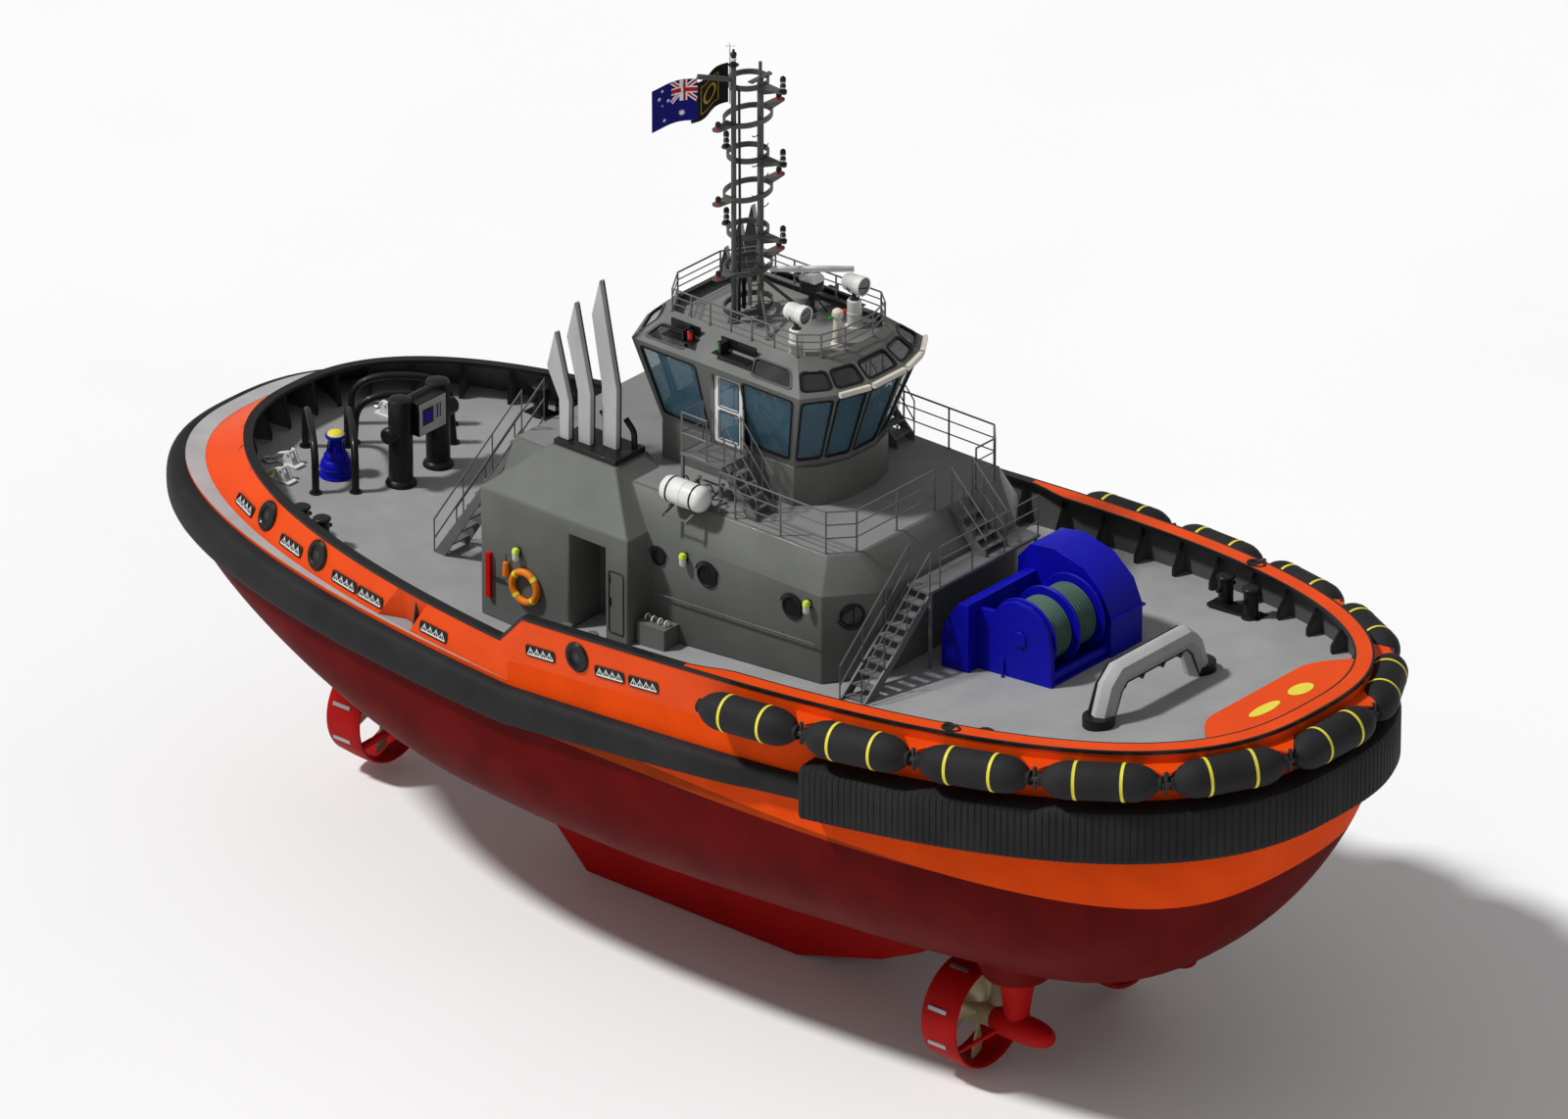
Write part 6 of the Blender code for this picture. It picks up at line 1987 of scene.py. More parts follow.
@dataclass
class Mast:
    """The ladder mast: three poles, ring platforms, lamp arms, stays and yard."""

    poles: tuple = ((-1.1, -0.57, 15.02), (-1.13, 0.4, 14.5), (-0.82, 0.0, 14.55))
    pole_sizes: tuple = (0.06, 0.05, 0.072)
    round_rings: tuple = (14.45, 12.7, 10.85)
    wide_rings: tuple = (13.6, 11.8, 10.0, 9.05)
    centre_x: float = -1.18
    foot: float = 8.83
    yard: tuple = ((-1.13, -0.5, 14.65), (-1.25, -1.59, 15.07))
    gauge: Pair = (-1.25, -0.52)
    gauge_heights: tuple = (14.05, 14.4, 15.45)
    aft_arm_below: float = 14.0
    side_arm_above: float = 9.5
    stay_foot: Pair = (0.05, 0.72)
    stay_head: Point = (-0.85, 0.04, 9.8)
    cable_heights: tuple = (8.9, 11.5, 14.4)
    step_pitch: float = 0.72
    step_top: float = 13.26
    round_size: Pair = (0.455, 0.5)
    wide_size: Pair = (0.467, 0.655)
    band_half: float = 0.06
    band_thick: float = 0.045

    def ring(self, z: float, long: float, wide: float) -> Patch:
        """An upright band round an oval: centre plus long cosine and wide sine of the angle.

        Args:
            z: its height.
            long: half its length.
            wide: half its width.

        Returns:
            The patch.
        """
        turn = circle(48)
        out = np.stack((np.cos(turn), np.sin(turn), 0 * turn), axis=1)
        path = np.array((self.centre_x, 0.0, z)) + out * np.array((long, wide, 0.0))
        rise, deep = UP * self.band_half, out * self.band_thick
        rows = [path + rise, path - rise, path - deep - rise, path - deep + rise]
        return grid(np.stack(rows, axis=1), wrap_u=True, wrap_v=True)

    def lamp(self, place: Point) -> Parts:
        """A navigation lamp: a black body with a domed head and two light bands.

        Args:
            place: its foot.

        Returns:
            The patches.
        """
        profile = [
            (0.0, 0.38), (0.035, 0.375), (0.062, 0.345), (0.068, 0.3), (0.06, 0.25), (0.05, 0.235),
            (0.05, 0.19),
        ]
        profile += [(0.066, 0.175), (0.066, 0.1), (0.05, 0.085), (0.05, 0.05), (0.09, 0.04), (0.09, 0.0)]
        parts = [turned(profile, place, "Z", 18, 1)]
        for low in (0.1, 0.235):
            band = [(0.066, low), (0.071, low + 0.015), (0.066, low + 0.035)]
            parts.append(turned(band, place, "Z", 18, 2))
        return parts

    def disc_lamp(self, place: Point) -> Parts:
        """A low round lamp with a red band.

        Args:
            place: its foot.

        Returns:
            The patches.
        """
        low = [(0.0, 0.045), (0.06, 0.045), (0.065, 0.02), (0.065, 0.0)]
        head = [(0.0, 0.16), (0.045, 0.155), (0.065, 0.12), (0.065, 0.06), (0.05, 0.046)]
        return [turned(low, place, "Z", 18, 3), turned(head, place, "Z", 18, 1)]

    def fore_arm(self, z: float) -> Parts:
        """The forward arm of a round ring: a tapered plate on an upright gusset, with a tall lamp at its tip.

        Args:
            z: the ring's height.

        Returns:
            The patches.
        """
        outline = [
            (-0.86, -0.15), (-0.25, -0.09), (-0.1, -0.05), (-0.08, 0.0), (-0.1, 0.05), (-0.25, 0.09),
            (-0.86, 0.15),
        ]
        gusset = [(-0.8, z - 0.02), (-0.22, z - 0.02), (-0.8, z - 0.24)]
        return [
            prism(outline, z - 0.02, z + 0.015), prism(gusset, -0.012, 0.012, "XZ"),
            *self.lamp((-0.17, 0.0, z + 0.015)),
        ]

    def aft_arm(self, z: float) -> Parts:
        """A small round plate behind a round ring, with a tall lamp."""
        plate = np.concatenate((arc((-1.7, -0.12), 0.11, 60, 300, 13), [(-1.58, -0.22), (-1.58, 0.0)]))
        return [prism(plate, z + 0.01, z + 0.035), *self.lamp((-1.7, -0.12, z + 0.035))]

    def side_arm(self, z: float, side: float) -> Parts:
        """A side arm of a wide ring: a round-ended plate with a low lamp.

        Args:
            z: the ring's height.
            side: 1 to port and -1 to starboard.

        Returns:
            The patches.
        """
        root = [(-1.3, side * 0.55), (-0.98, side * 0.55)]
        tip = np.concatenate((arc((-1.16, side * 1.04), 0.12, 0, 180 * side, 13), root))
        return [prism(tip, z + 0.01, z + 0.045), *self.disc_lamp((-1.16, side * 1.02, z + 0.045))]

    def steps(self) -> Parts:
        """Hooked foot bars on the fore pole, alternately to starboard and to port.

        Returns:
            The patches.
        """
        made = []
        for index in range(13):
            z, side = self.step_top - self.step_pitch * index / 2, -1 if index % 2 == 0 else 1
            hook = [(-0.82, side * 0.06, z), (-0.82, side * 0.26, z), (-0.82, side * 0.27, z + 0.05)]
            made.append(tube(smooth_path(hook, 8), 0.013, 6, slot=1))
        return made

    def head(self) -> Parts:
        """The mast's head: the top lamp, the wind gauge's rod and cups, the yard and a short cross plate.

        Returns:
            The patches.
        """
        x, y, top = self.poles[0]
        flare = [(0.0, 0.05), (0.06, 0.05), (0.12, 0.03), (0.12, 0.015), (0.06, -0.03)]
        parts = [turned(flare, (x, y, top), "Z", 20, 1)]
        body = [
            (0.0, 0.4), (0.025, 0.39), (0.03, 0.34), (0.068, 0.3), (0.07, 0.24), (0.055, 0.22), (0.055, 0.05)
        ]
        parts += [
            turned(body, (x, y, top), "Z", 18, 1),
            turned([(0.06, 0.13), (0.066, 0.15), (0.06, 0.2)], (x, y, top), "Z", 18, 4),
        ]
        rod_foot, arm, rod_top = self.gauge_heights
        axis = (*self.gauge, rod_top)
        parts.append(bar((*self.gauge, rod_foot), axis, 0.016, 8, 4))
        parts.append(bar((*self.gauge, arm), (x, y, arm), 0.02, 8))
        for angle in np.radians((20, 140, 260)):
            cup = (axis[0] + 0.09 * math.cos(angle), axis[1] + 0.09 * math.sin(angle), axis[2])
            parts.append(bar(axis, cup, 0.008, 6, 4))
            parts.append(turned([(0.0, 0.03), (0.03, 0.0), (0.0, -0.03)], cup, "Z", 10, 4))
        one, two = (np.array(end) for end in self.yard)
        length = float(np.linalg.norm(two - one))
        beam = frame_of((two - one) / length, np.cross(UP, two - one))
        parts.append(box((0.0, -0.055, -0.03), (length, 0.055, 0.03)).moved(beam, one))
        parts.append(prism([(-1.03, -0.18), (-0.9, -0.18), (-0.9, 0.5), (-1.03, 0.55)], 14.5, 14.53))
        parts.append(bar((-0.82, 0.0, 14.5), (-0.82, 0.0, 15.0), 0.04, 12))
        return parts

    def build(self) -> None:
        """Makes the piece."""
        parts = self.head() + self.steps()
        for (x, y, top), size in zip(self.poles, self.pole_sizes):
            pole = [
                (0.0, top), (size - 0.015, top), (size, top - 0.03), (size, self.foot + 0.05),
                (0.14, self.foot + 0.04),
            ]
            parts.append(turned([*pole, (0.14, self.foot + 0.001)], (x, y, 0), "Z", 20))
        for z in self.round_rings:
            parts += [self.ring(z, *self.round_size), *self.fore_arm(z)]
            if z < self.aft_arm_below:
                parts += self.aft_arm(z)
        for z in self.wide_rings:
            parts.append(self.ring(z, *self.wide_size))
            if z > self.side_arm_above:
                parts += self.side_arm(z, -1) + self.side_arm(z, 1)
        for side in (-1, 1):
            start = (self.stay_foot[0], side * self.stay_foot[1], self.foot)
            end = (self.stay_head[0], side * self.stay_head[1], self.stay_head[2])
            parts.append(bar(start, end, 0.038, 12))
            parts.append(turned([(0.0, 0.03), (0.09, 0.03), (0.1, 0.0)], start, "Z", 16))
        low, middle, high = self.cable_heights
        cable = smooth_path([(-1.02, -0.48, low), (-1.01, -0.47, middle), (-1.02, -0.48, high)], 20)
        parts.append(tube(cable, 0.03, 8, slot=1))
        for y in (-0.2, 0.0, 0.2):
            parts.append(bar((-1.3, y, 8.9), (-1.3, y, 9.7), 0.05, 10, 2 if y else 1))
        dress("mast", parts, [MAST_GREY, BLACK, STEEL, SCARLET, WHITE], slot="rail_paint")


@dataclass(frozen=True)
class Flag:
    """One flag: where its hoist hangs, how far it drops and flies, and how it swings."""

    name: str
    hoist: Pair
    top: float
    drop: float
    fly: Pair
    fall: float
    belly: float
    wave: float

    def cloth(self, u: Array, v: Array, out: float = 0.0) -> Array:
        """The cloth's point at share u of the fly and v of the drop.

        The line along the fly swings sideways by belly sin(pi u) plus wave sin(2 pi u) and sinks by fall
        times u, and the cloth hangs straight down from it.

        Args:
            u: shares along the fly.
            v: shares down the drop.
            out: lift off the cloth, to either side.

        Returns:
            Points.
        """
        run = np.array(self.fly) / np.hypot(*self.fly)
        swing = self.belly * np.sin(np.pi * u) + self.wave * np.sin(2 * np.pi * u) + out
        x = self.hoist[0] + self.fly[0] * u + run[1] * swing
        y = self.hoist[1] + self.fly[1] * u - run[0] * swing
        return np.stack((x, y, self.top - self.fall * u - self.drop * v), axis=-1)

    def sheet(self) -> Patch:
        """The whole cloth as one surface."""
        u, v = np.meshgrid(np.linspace(0, 1, 49), np.linspace(0, 1, 25), indexing="ij")
        return grid(self.cloth(u, v))

    def band(self, start: tuple, end: tuple, width: float, slot: int, out: float) -> Parts:
        """A stripe laid on both faces of the cloth, from one (u, v) to another.

        Args:
            start: (u, v) of its start.
            end: (u, v) of its end.
            width: in metres.
            slot: material slot.
            out: lift off the cloth.

        Returns:
            The patches.
        """
        share = np.linspace(0, 1, 13)
        scale = np.array((1.1, self.drop))
        way = (np.array(end) - np.array(start)) * scale
        side = np.array((-way[1], way[0])) / np.linalg.norm(way) * width / 2 / scale
        line = np.array(start) + (np.array(end) - np.array(start)) * share[:, None]
        edges = [np.clip(line + shift, 0, 1) for shift in (side, -side)]
        made = []
        for face in (-out, out):
            one, two = (self.cloth(edge[:, 0], edge[:, 1], face) for edge in edges)
            made.append(ribbon(one, two, 2, slot=slot))
        return made

    def star(self, u: float, v: float, size: float) -> Parts:
        """A seven-pointed star on both faces of the cloth.

        Args:
            u: share of the fly.
            v: share of the drop.
            size: its outer radius.

        Returns:
            The patches.
        """
        turn = circle(14)
        radius = np.where(np.arange(14) % 2, 0.45, 1.0) * size
        across, down = u + radius * np.sin(turn) / 1.1, v - radius * np.cos(turn) / self.drop
        return [disc(self.cloth(across, down, face), slot=1) for face in (-0.006, 0.006)]

    def loop(self, u: float, v: float, size: float, width: float) -> Parts:
        """A plain round ring on both faces of the cloth.

        Args:
            u: share of the fly.
            v: share of the drop.
            size: its outer radius.
            width: of the ring.

        Returns:
            The patches.
        """
        turn = circle(32)
        made = []
        for face in (-0.004, 0.004):
            rows = [
                self.cloth(u + radius * np.cos(turn) / 0.9, v + radius * np.sin(turn) / self.drop, face)
                for radius in (size, size - width)
            ]
            made.append(ribbon(*rows, wrap=True, slot=1))
        return made

    def declare(self, sheet: Obj, trim: Obj) -> None:
        """Args:
            sheet: the cloth; not used.
            trim: the marks on the cloth; not used.
        """


@dataclass
class Flags:
    """The two flags at the mast's head."""

    ensign: Flag = Flag("ensign", (-1.25, -1.6), 15.03, 1.0, (-0.45, -1.0), 0.1, 0.17, 0.03)
    house: Flag = Flag("house", (-1.26, -0.56), 15.05, 0.95, (-0.37, -0.82), 0.35, 0.0, 0.1)
    stars: tuple = (
        (0.28, 0.79, 0.085),
        (0.68, 0.84, 0.05),
        (0.73, 0.12, 0.045),
        (0.81, 0.28, 0.055),
        (0.58, 0.41, 0.05),
        (0.73, 0.47, 0.03),
    )

    def ensign_marks(self) -> Parts:
        """The ensign's canton with its crosses, and its stars.

        Returns:
            The patches.
        """
        flag, marks = self.ensign, []
        for start, end in (((0, 0), (0.5, 0.5)), ((0, 0.5), (0.5, 0))):
            marks += flag.band(start, end, 0.1, 1, 0.003) + flag.band(start, end, 0.04, 2, 0.004)
        for start, end in (((0.25, 0), (0.25, 0.5)), ((0, 0.25), (0.5, 0.25))):
            marks += flag.band(start, end, 0.16, 1, 0.005) + flag.band(start, end, 0.095, 2, 0.009)
        for star in self.stars:
            marks += flag.star(*star)
        return marks

    def house_marks(self) -> Parts:
        """A plain gold frame and ring.

        Returns:
            The patches.
        """
        corners = ((0.22, 0.16), (0.78, 0.16), (0.78, 0.84), (0.22, 0.84))
        marks = self.house.loop(0.5, 0.5, 0.2, 0.05)
        for start, end in zip(corners, corners[1:] + corners[:1]):
            marks += self.house.band(start, end, 0.02, 1, 0.003)
        return marks

    def build(self) -> None:
        """Makes both flags."""
        for flag, marks, finishes in (
            (self.ensign, self.ensign_marks(), [ENSIGN, FLAG_WHITE, FLAG_RED]),
            (self.house, self.house_marks(), [FLAG_BLACK, FLAG_GOLD]),
        ):
            node = f"flag_{flag.name}"
            options = {"slot": "flag_cloth", "recalc": False}
            sheet = dress(node, [flag.sheet()], finishes[:1], f"{node}_cloth", angle=80, **options)
            flag.declare(sheet, piece(f"{node}_marks", marks, finishes, **options))


@dataclass
class Access:
    """Deck rails and stairs."""

    top: float = 5.5
    rail: tuple = ((3.95, 1.7), (3.95, 2.35), (3.5, 2.86), (2.2, 2.86), (0.9, 2.86), (0.45, 2.86))

    def build(self) -> None:
        """Makes the pieces."""
        port = [(x, y, self.top) for x, y in self.rail]
        starboard = [(3.95, 0.3, self.top), (3.95, -1.0, self.top)] + [(x, -y, z) for x, y, z in port[1:]]
        for name, path in (("port", port), ("stbd", starboard)):
            parts = rail_run(path, (0.36, 0.68, 1.0))
            dress(f"deck_rail_{name}", parts, [RAIL], f"deck_rail_skin_{name}", slot="rail_paint")
        for node in (
            "stair_aft", "stair_front", "stair_front_upper", "stair_wheelhouse_stbd", "stair_wheelhouse_port"
        ):
            wear(node, RAIL)


@dataclass
class Winch:
    """The towing winch: frame with covers and bolts, twin drum and two rope packs."""

    x: float = 7.3
    z: float = 3.86
    edges: tuple = (-0.66, -0.60, 0.14, 0.22, 0.98, 1.04)
    ends: tuple = (-0.82, 1.34)
    flange: float = 0.9
    rope: float = 0.09

    def drum(self) -> None:
        """Flanges with rolled rims on a core, and a shaft at each end."""
        low, lip, mid, mid2, lip2, high = self.edges
        wide, round_in = self.flange, self.flange - 0.015
        profile = [
            (0.0, self.ends[1]), (0.168, self.ends[1]), (0.168, high), (round_in, high), (wide, high - 0.012)
        ]
        profile += [(wide, lip2 + 0.012), (round_in, lip2), (0.3, lip2), (0.3, mid2), (round_in, mid2)]
        profile += [(wide, mid2 - 0.015), (wide, mid + 0.015), (round_in, mid), (0.3, mid), (0.3, lip)]
        profile += [(round_in, lip), (wide, lip - 0.012), (wide, low + 0.012), (round_in, low), (0.168, low)]
        profile += [(0.168, self.ends[0]), (0.0, self.ends[0])]
        parts = [turned(profile, (self.x, 0, self.z), "Y", 72)]
        dress("winch_drum", parts, [BLUE], body="winch_drum", slot="winch_paint")
        for name, start, end in (("stbd", lip, mid), ("port", mid2, lip2)):
            self.rope_pack(name, start, end)

    def rope_pack(self, name: str, start: float, end: float) -> None:
        """Wound rope: the pack's radius rises by the size of a sine at each turn of rope.

        Args:
            name: side of the pack.
            start: y of its starboard end.
            end: y of its port end.
        """
        wraps = int((end - start - 0.02) / self.rope)
        share = np.linspace(0, 1, wraps * 8 + 1)
        at = start + 0.01 + (end - start - 0.02) * share
        bulge = 0.72 - 0.04 * (1 - np.abs(np.sin(np.pi * wraps * share)) ** 0.7)
        pack = np.concatenate(([(0.301, at[0])], np.stack((bulge, at), axis=1), [(0.301, at[-1])]))
        parts = [turned(pack[::-1], (self.x, 0, self.z), "Y", 72)]
        node = f"winch_rope_{name}"
        dress(node, parts, [ROPE], f"winch_rope_skin_{name}", body="winch_drum", slot="rope", angle=60)

    def fittings(self) -> None:
        """Bearing caps and bolts, the cover's lip, a stiffener and a brake box on the frame."""
        parts = studs((self.x, -0.82, self.z), 0.24, 10, (0.0, -0.025, 0.0), 0.02)
        cap = [(0.0, -0.035), (0.17, -0.035), (0.19, -0.02), (0.19, 0.01)]
        parts.append(turned(cap, (self.x, -0.815, self.z), "Y", 32))
        lid = [(0.0, 0.05), (0.4, 0.05), (0.46, 0.02), (0.46, 0.0)]
        parts.append(turned(lid, (self.x, 2.25, self.z), "Y", 40))
        parts.append(box((5.46, 1.13, 3.85), (8.31, 2.3, 3.9)))
        parts.append(box((6.82, -0.85, 2.9), (6.88, -0.81, 3.25)))
        parts.append(box((7.55, 2.25, 3.0), (8.1, 2.42, 3.5)))
        parts.append(turned([(0.0, 0.16), (0.1, 0.15), (0.12, 0.0)], (7.82, 2.42, 3.25), "Y", 24))
        for x in (5.62, 6.9, 8.05):
            for y in (-0.9, 2.32):
                parts.append(turned([(0.0, 0.05), (0.04, 0.05), (0.04, 0.0)], (x, y, 2.85), "Z", 6))
        piece("winch_fittings", parts, [BLUE], slot="winch_paint", bevel=0.01)

    def build(self) -> None:
        """Makes the pieces."""
        polished("winch_frame", BLUE, slot="winch_paint", bevel=0.03)
        self.drum()
        self.fittings()


@dataclass
class DeckGear:
    """Staple, towing bitt, capstan, hoops, bollards, stern fittings and life rafts."""

    bitt_x: float = -10.93
    capstan: Pair = (-12.27, -1.32)
    hoop_line: tuple = (
        (0.0, 0.001), (0.02, 0.75), (0.07, 0.95), (0.15, 1.1), (0.3, 1.2), (0.5, 1.22), (0.7, 1.2),
        (0.85, 1.1), (0.93, 0.95), (0.98, 0.75), (1.0, 0.001),
    )
    hoops: tuple = (((-13.70, -0.76), (-12.00, -2.31)), ((-13.01, -0.11), (-11.38, -1.66)))
    raft: Point = (-0.25, 3.2, 5.88)
    raft_legs: tuple = (
        ((2.36, 5.5), (2.36, 5.83), 0.03, 10),
        ((2.75, 5.5), (2.75, 5.7), 0.03, 10),
        ((2.36, 5.52), (2.75, 5.68), 0.018, 8),
    )
    raft_ties: tuple = ((3.54, 5.42), (2.36, 5.84), (2.75, 5.58))
    bitt_posts: tuple = (-0.63, 0.63)
    bitt_bars: tuple = ((3.1, 1.15, 0.2), (3.7, 0.6, 0.15))
    pins: tuple = ((-12.95, -2.35), (-13.35, -1.65))
    cap_place: Pair = (-13.3, -2.35)
    staple_foot: Pair = (10.3, 1.74)
    bollards: tuple = (("aft", (-10.85, 4.05), (-10.15, 4.15)), ("fore", (8.55, 4.78), (9.45, 4.55)))

    def deck(self, x: float) -> float:
        """Deck height as a plain number."""
        return float(LINES.deck(np.array(x)))

    def staple(self) -> None:
        """The towing staple in its octagonal tube, with black feet, inner seams, and a black strip down the
        aft face that is painted shade.
        """
        polished("fore_staple", STACK, slot="funnel_paint", bevel=0.012)
        parts = []
        for side in (-1, 1):
            x, y = self.staple_foot
            foot = (x, side * y, self.deck(x))
            parts.append(turned([(0.0, 0.24), (0.35, 0.24), (0.36, 0.22), (0.36, 0.002)], foot, "Z", 32))
            # A black strip along the tube's aft face, where it lies in shade: painted shade.
            aft_shade_strip = [
                (10.1, side * 1.93, 3.15), (10.1, side * 1.575, 3.99), (10.1, side * 1.18, 4.33),
                (10.1, 0.0, 4.33),
            ]
            parts.append(tube(aft_shade_strip, 0.035, 8))
            inner = [
                (10.5, side * 1.56, 2.95), (10.5, side * 1.2, 3.79), (10.5, side * 1.03, 3.96),
                (10.5, 0.0, 3.96),
            ]
            parts.append(tube(inner, 0.025, 8))
            for y in (0.35, 0.95):
                web = [(side * (y - 0.13), 3.9), (side * (y + 0.13), 3.9), (side * y, 3.74)]
                parts.append(prism(web, 10.2, 10.4, "YZ"))
        piece("staple_feet", parts, [BLACK], slot="gear_paint")

    def bitt(self) -> None:
        """The aft towing bitt: capped posts, cross bars, and a light panel with a blue box."""
        x = self.bitt_x
        parts = []
        for y in self.bitt_posts:
            profile = [
                (0.0, 3.9), (0.2, 3.895), (0.26, 3.86), (0.2775, 3.8), (0.2775, 1.9), (0.33, 1.85),
                (0.36, 1.79), (0.36, self.deck(x) + 0.001),
            ]
            parts.append(turned(profile, (x, y, 0), "Z", 40))
        for z, half, radius in self.bitt_bars:
            profile = [
                (0.0, half), (radius * 0.8, half), (radius, half - 0.05), (radius, -half + 0.05),
                (radius * 0.8, -half), (0.0, -half),
            ]
            parts.append(turned(profile, (x + 0.02, 0, z), "Y", 32))
        parts.append(box((x + 0.08, -0.45, 2.96), (x + 0.4, 0.45, 3.77)))
        parts.append(box((x + 0.4, -0.44, 2.98), (x + 0.415, 0.44, 3.75), 1))
        parts.append(box((x + 0.4, -0.34, 3.2), (x + 0.425, 0.02, 3.6), 0))
        parts.append(box((x + 0.41, -0.3, 3.26), (x + 0.427, -0.02, 3.52), 2))
        for step in range(4):
            y = 0.1 + 0.05 * step
            parts.append(bar((x + 0.42, y, 3.25), (x + 0.42, y, 3.6), 0.012, 8, 0 if step % 2 else 3))
        dress("tow_bitt", parts, [BLACK, STACK, BLUE, STEEL], slot="gear_paint", bevel=0.01)

    def capstans(self) -> None:
        """The capstan: bolted base on its plinth, and a waisted head with a yellow cap."""
        x, y = self.capstan
        z = LINES.aft_deck + LINES.aft_slope * x
        base = [
            (0.0, 0.42), (0.29, 0.42), (0.31, 0.4), (0.36, 0.3), (0.36, 0.24), (0.38, 0.23), (0.38, 0.2),
            (0.36, 0.19), (0.36, 0.05), (0.4, 0.04), (0.4, 0.002),
        ]
        bolts = studs((x, y, z + 0.27), 0.34, 12, (0.0, 0.0, 0.06), 0.016)
        parts = [turned(base, (x, y, z), "Z", 40), *bolts]
        dress("capstan_base", parts, [BLUE], slot="winch_paint")
        head = [
            (0.28, 0.4215), (0.28, 0.5), (0.24, 0.56), (0.17, 0.64), (0.15, 0.72), (0.15, 0.84), (0.17, 0.88),
            (0.22, 0.93), (0.24, 0.96), (0.24, 1.0), (0.2, 1.02),
        ]
        cap = [(0.2, 1.02), (0.17, 1.06), (0.1, 1.09), (0.0, 1.1)]
        parts = [turned(head, (x, y, z), "Z", 40), turned(cap, (x, y, z), "Z", 40, 1)]
        for angle in circle(8):
            out = np.array((math.cos(angle), math.sin(angle), 0.0))
            low = np.array((x, y, z)) + out * 0.2 + UP * 0.58
            high = np.array((x, y, z)) + out * 0.165 + UP * 0.84
            parts.append(bar(low, high, 0.018, 6))
        dress("capstan_head", parts, [BLUE, YELLOW], body="capstan_head", slot="winch_paint")

    def rope_hoops(self) -> None:
        """Four round hoops, each a tube along a flat-topped arch."""
        for index, (one, two) in enumerate(self.hoops):
            rows = []
            for share, height in self.hoop_line:
                x = one[0] + (two[0] - one[0]) * share
                rows.append((x, one[1] + (two[1] - one[1]) * share, self.deck(x) + height))
            hoop = tube(smooth_path(rows, 46), 0.085, 14)
            feet = [turned([(0.0, 0.03), (0.14, 0.03), (0.15, 0.002)], rows[k], "Z", 20) for k in (0, -1)]
            for name, side in (("stbd", 1.0), ("port", -1.0)):
                node = f"rope_hoop_{name}_{index + 1}"
                shapes = on_side(side, [hoop, *feet])
                dress(node, shapes, [BLACK], slot="gear_paint")

    def bollard_pairs(self) -> None:
        """Double bollards with lipped heads, on a base plate."""
        for place, one, two in self.bollards:
            parts = []
            for x, y in (one, two):
                deck = self.deck(x)
                profile = [
                    (0.0, 0.75), (0.18, 0.745), (0.21, 0.72), (0.21, 0.69), (0.17, 0.66), (0.17, 0.1),
                    (0.2, 0.05), (0.22, 0.02), (0.22, 0.0),
                ]
                parts.append(turned(profile, (x, y, deck), "Z", 32))
                parts.append(bar((x, y - 0.3, deck + 0.45), (x, y + 0.3, deck + 0.45), 0.05, 14))
            x, y = (one[0] + two[0]) / 2, (one[1] + two[1]) / 2
            low = self.deck(x)
            parts.append(box((x - 0.72, y - 0.22, low - 0.02), (x + 0.72, y + 0.22, low + 0.06)))
            for name, side in SIDES:
                node = f"bollard_{place}_{name}"
                shapes = on_side(side, parts)
                dress(node, shapes, [BLACK], slot="gear_paint", bevel=0.008)

    def stern_fittings(self) -> None:
        """Folding towing pins and their levers on the deck, port and starboard."""
        parts = []
        for x, y in self.pins:
            deck = self.deck(x)
            parts.append(prism(rounded(0.62, 0.3, 0.04), deck + 0.002, deck + 0.05).at((x, y, 0)))
            for step in (-0.1, 0.1):
                outline = [
                    (x - 0.2, deck + 0.04), (x + 0.2, deck + 0.04), (x + 0.05, deck + 0.36),
                    (x - 0.05, deck + 0.36),
                ]
                parts.append(prism(outline, y + step - 0.018, y + step + 0.018, "XZ"))
            parts.append(bar((x, y - 0.15, deck + 0.3), (x, y + 0.15, deck + 0.3), 0.035, 12))
            arm = [(x, y, deck + 0.3), (x - 0.25, y - 0.12, deck + 0.24), (x - 0.42, y - 0.2, deck + 0.08)]
            parts.append(tube(smooth_path(arm, 14), 0.035, 10))
            ring = [(0.14, 0.02), (0.17, 0.05), (0.14, 0.08), (0.11, 0.05), (0.14, 0.02)]
            parts.append(turned(ring, (x - 0.46, y - 0.22, deck), "Z", 24, 1))
        x, y = self.cap_place
        cap = [(0.0, 0.16), (0.05, 0.15), (0.06, 0.02), (0.09, 0.0)]
        parts.append(turned(cap, (x, y, self.deck(x)), "Z", 16, 2))
        parts += mirrored(parts)
        piece("stern_fittings", parts, [WHITE, STEEL, YELLOW], slot="gear_paint", bevel=0.006)

    def rafts(self) -> None:
        """Raft capsules with bands, on sloping launching rails with legs and ties."""
        x, y, z = self.raft
        shell = [(0.0, 0.62), (0.1, 0.615), (0.2, 0.59), (0.27, 0.53), (0.3, 0.45), (0.3, 0.05), (0.31, 0.04)]
        shell += [
            (0.31, -0.04), (0.3, -0.05), (0.3, -0.45), (0.27, -0.53), (0.2, -0.59), (0.1, -0.615),
            (0.0, -0.62),
        ]
        parts = [turned(shell, (x, y, z), "X", 40)]
        for step in (-0.34, 0.34):
            band = [(0.302, step - 0.025), (0.31, step - 0.02), (0.31, step + 0.02), (0.302, step + 0.025)]
            parts.append(turned(band, (x, y, z), "X", 40, 1))
            rail = [(3.6, 5.362), (3.6, 5.442), (2.3, 5.9), (2.3, 5.82)]
            parts.append(prism(rail, x + step - 0.03, x + step + 0.03, "YZ", 2))
            for (y0, z0), (y1, z1), radius, sides in self.raft_legs:
                parts.append(bar((x + step, y0, z0), (x + step, y1, z1), radius, sides, 2))
            strap = [(x + step, 2.62, 5.78), (x + step, 2.75, 6.05), (x + step, 2.93, 6.1)]
            parts.append(tube(smooth_path(strap, 12), 0.02, 8, slot=2))
        for tie_y, tie_z in self.raft_ties:
            parts.append(bar((x - 0.34, tie_y, tie_z), (x + 0.34, tie_y, tie_z), 0.025, 10, 2))
        for name, side in SIDES:
            shapes, node = on_side(side, parts), f"liferaft_{name}"
            dress(node, shapes, [WHITE, BLACK, RAIL], f"liferaft_skin_{name}", slot="white_plastic")

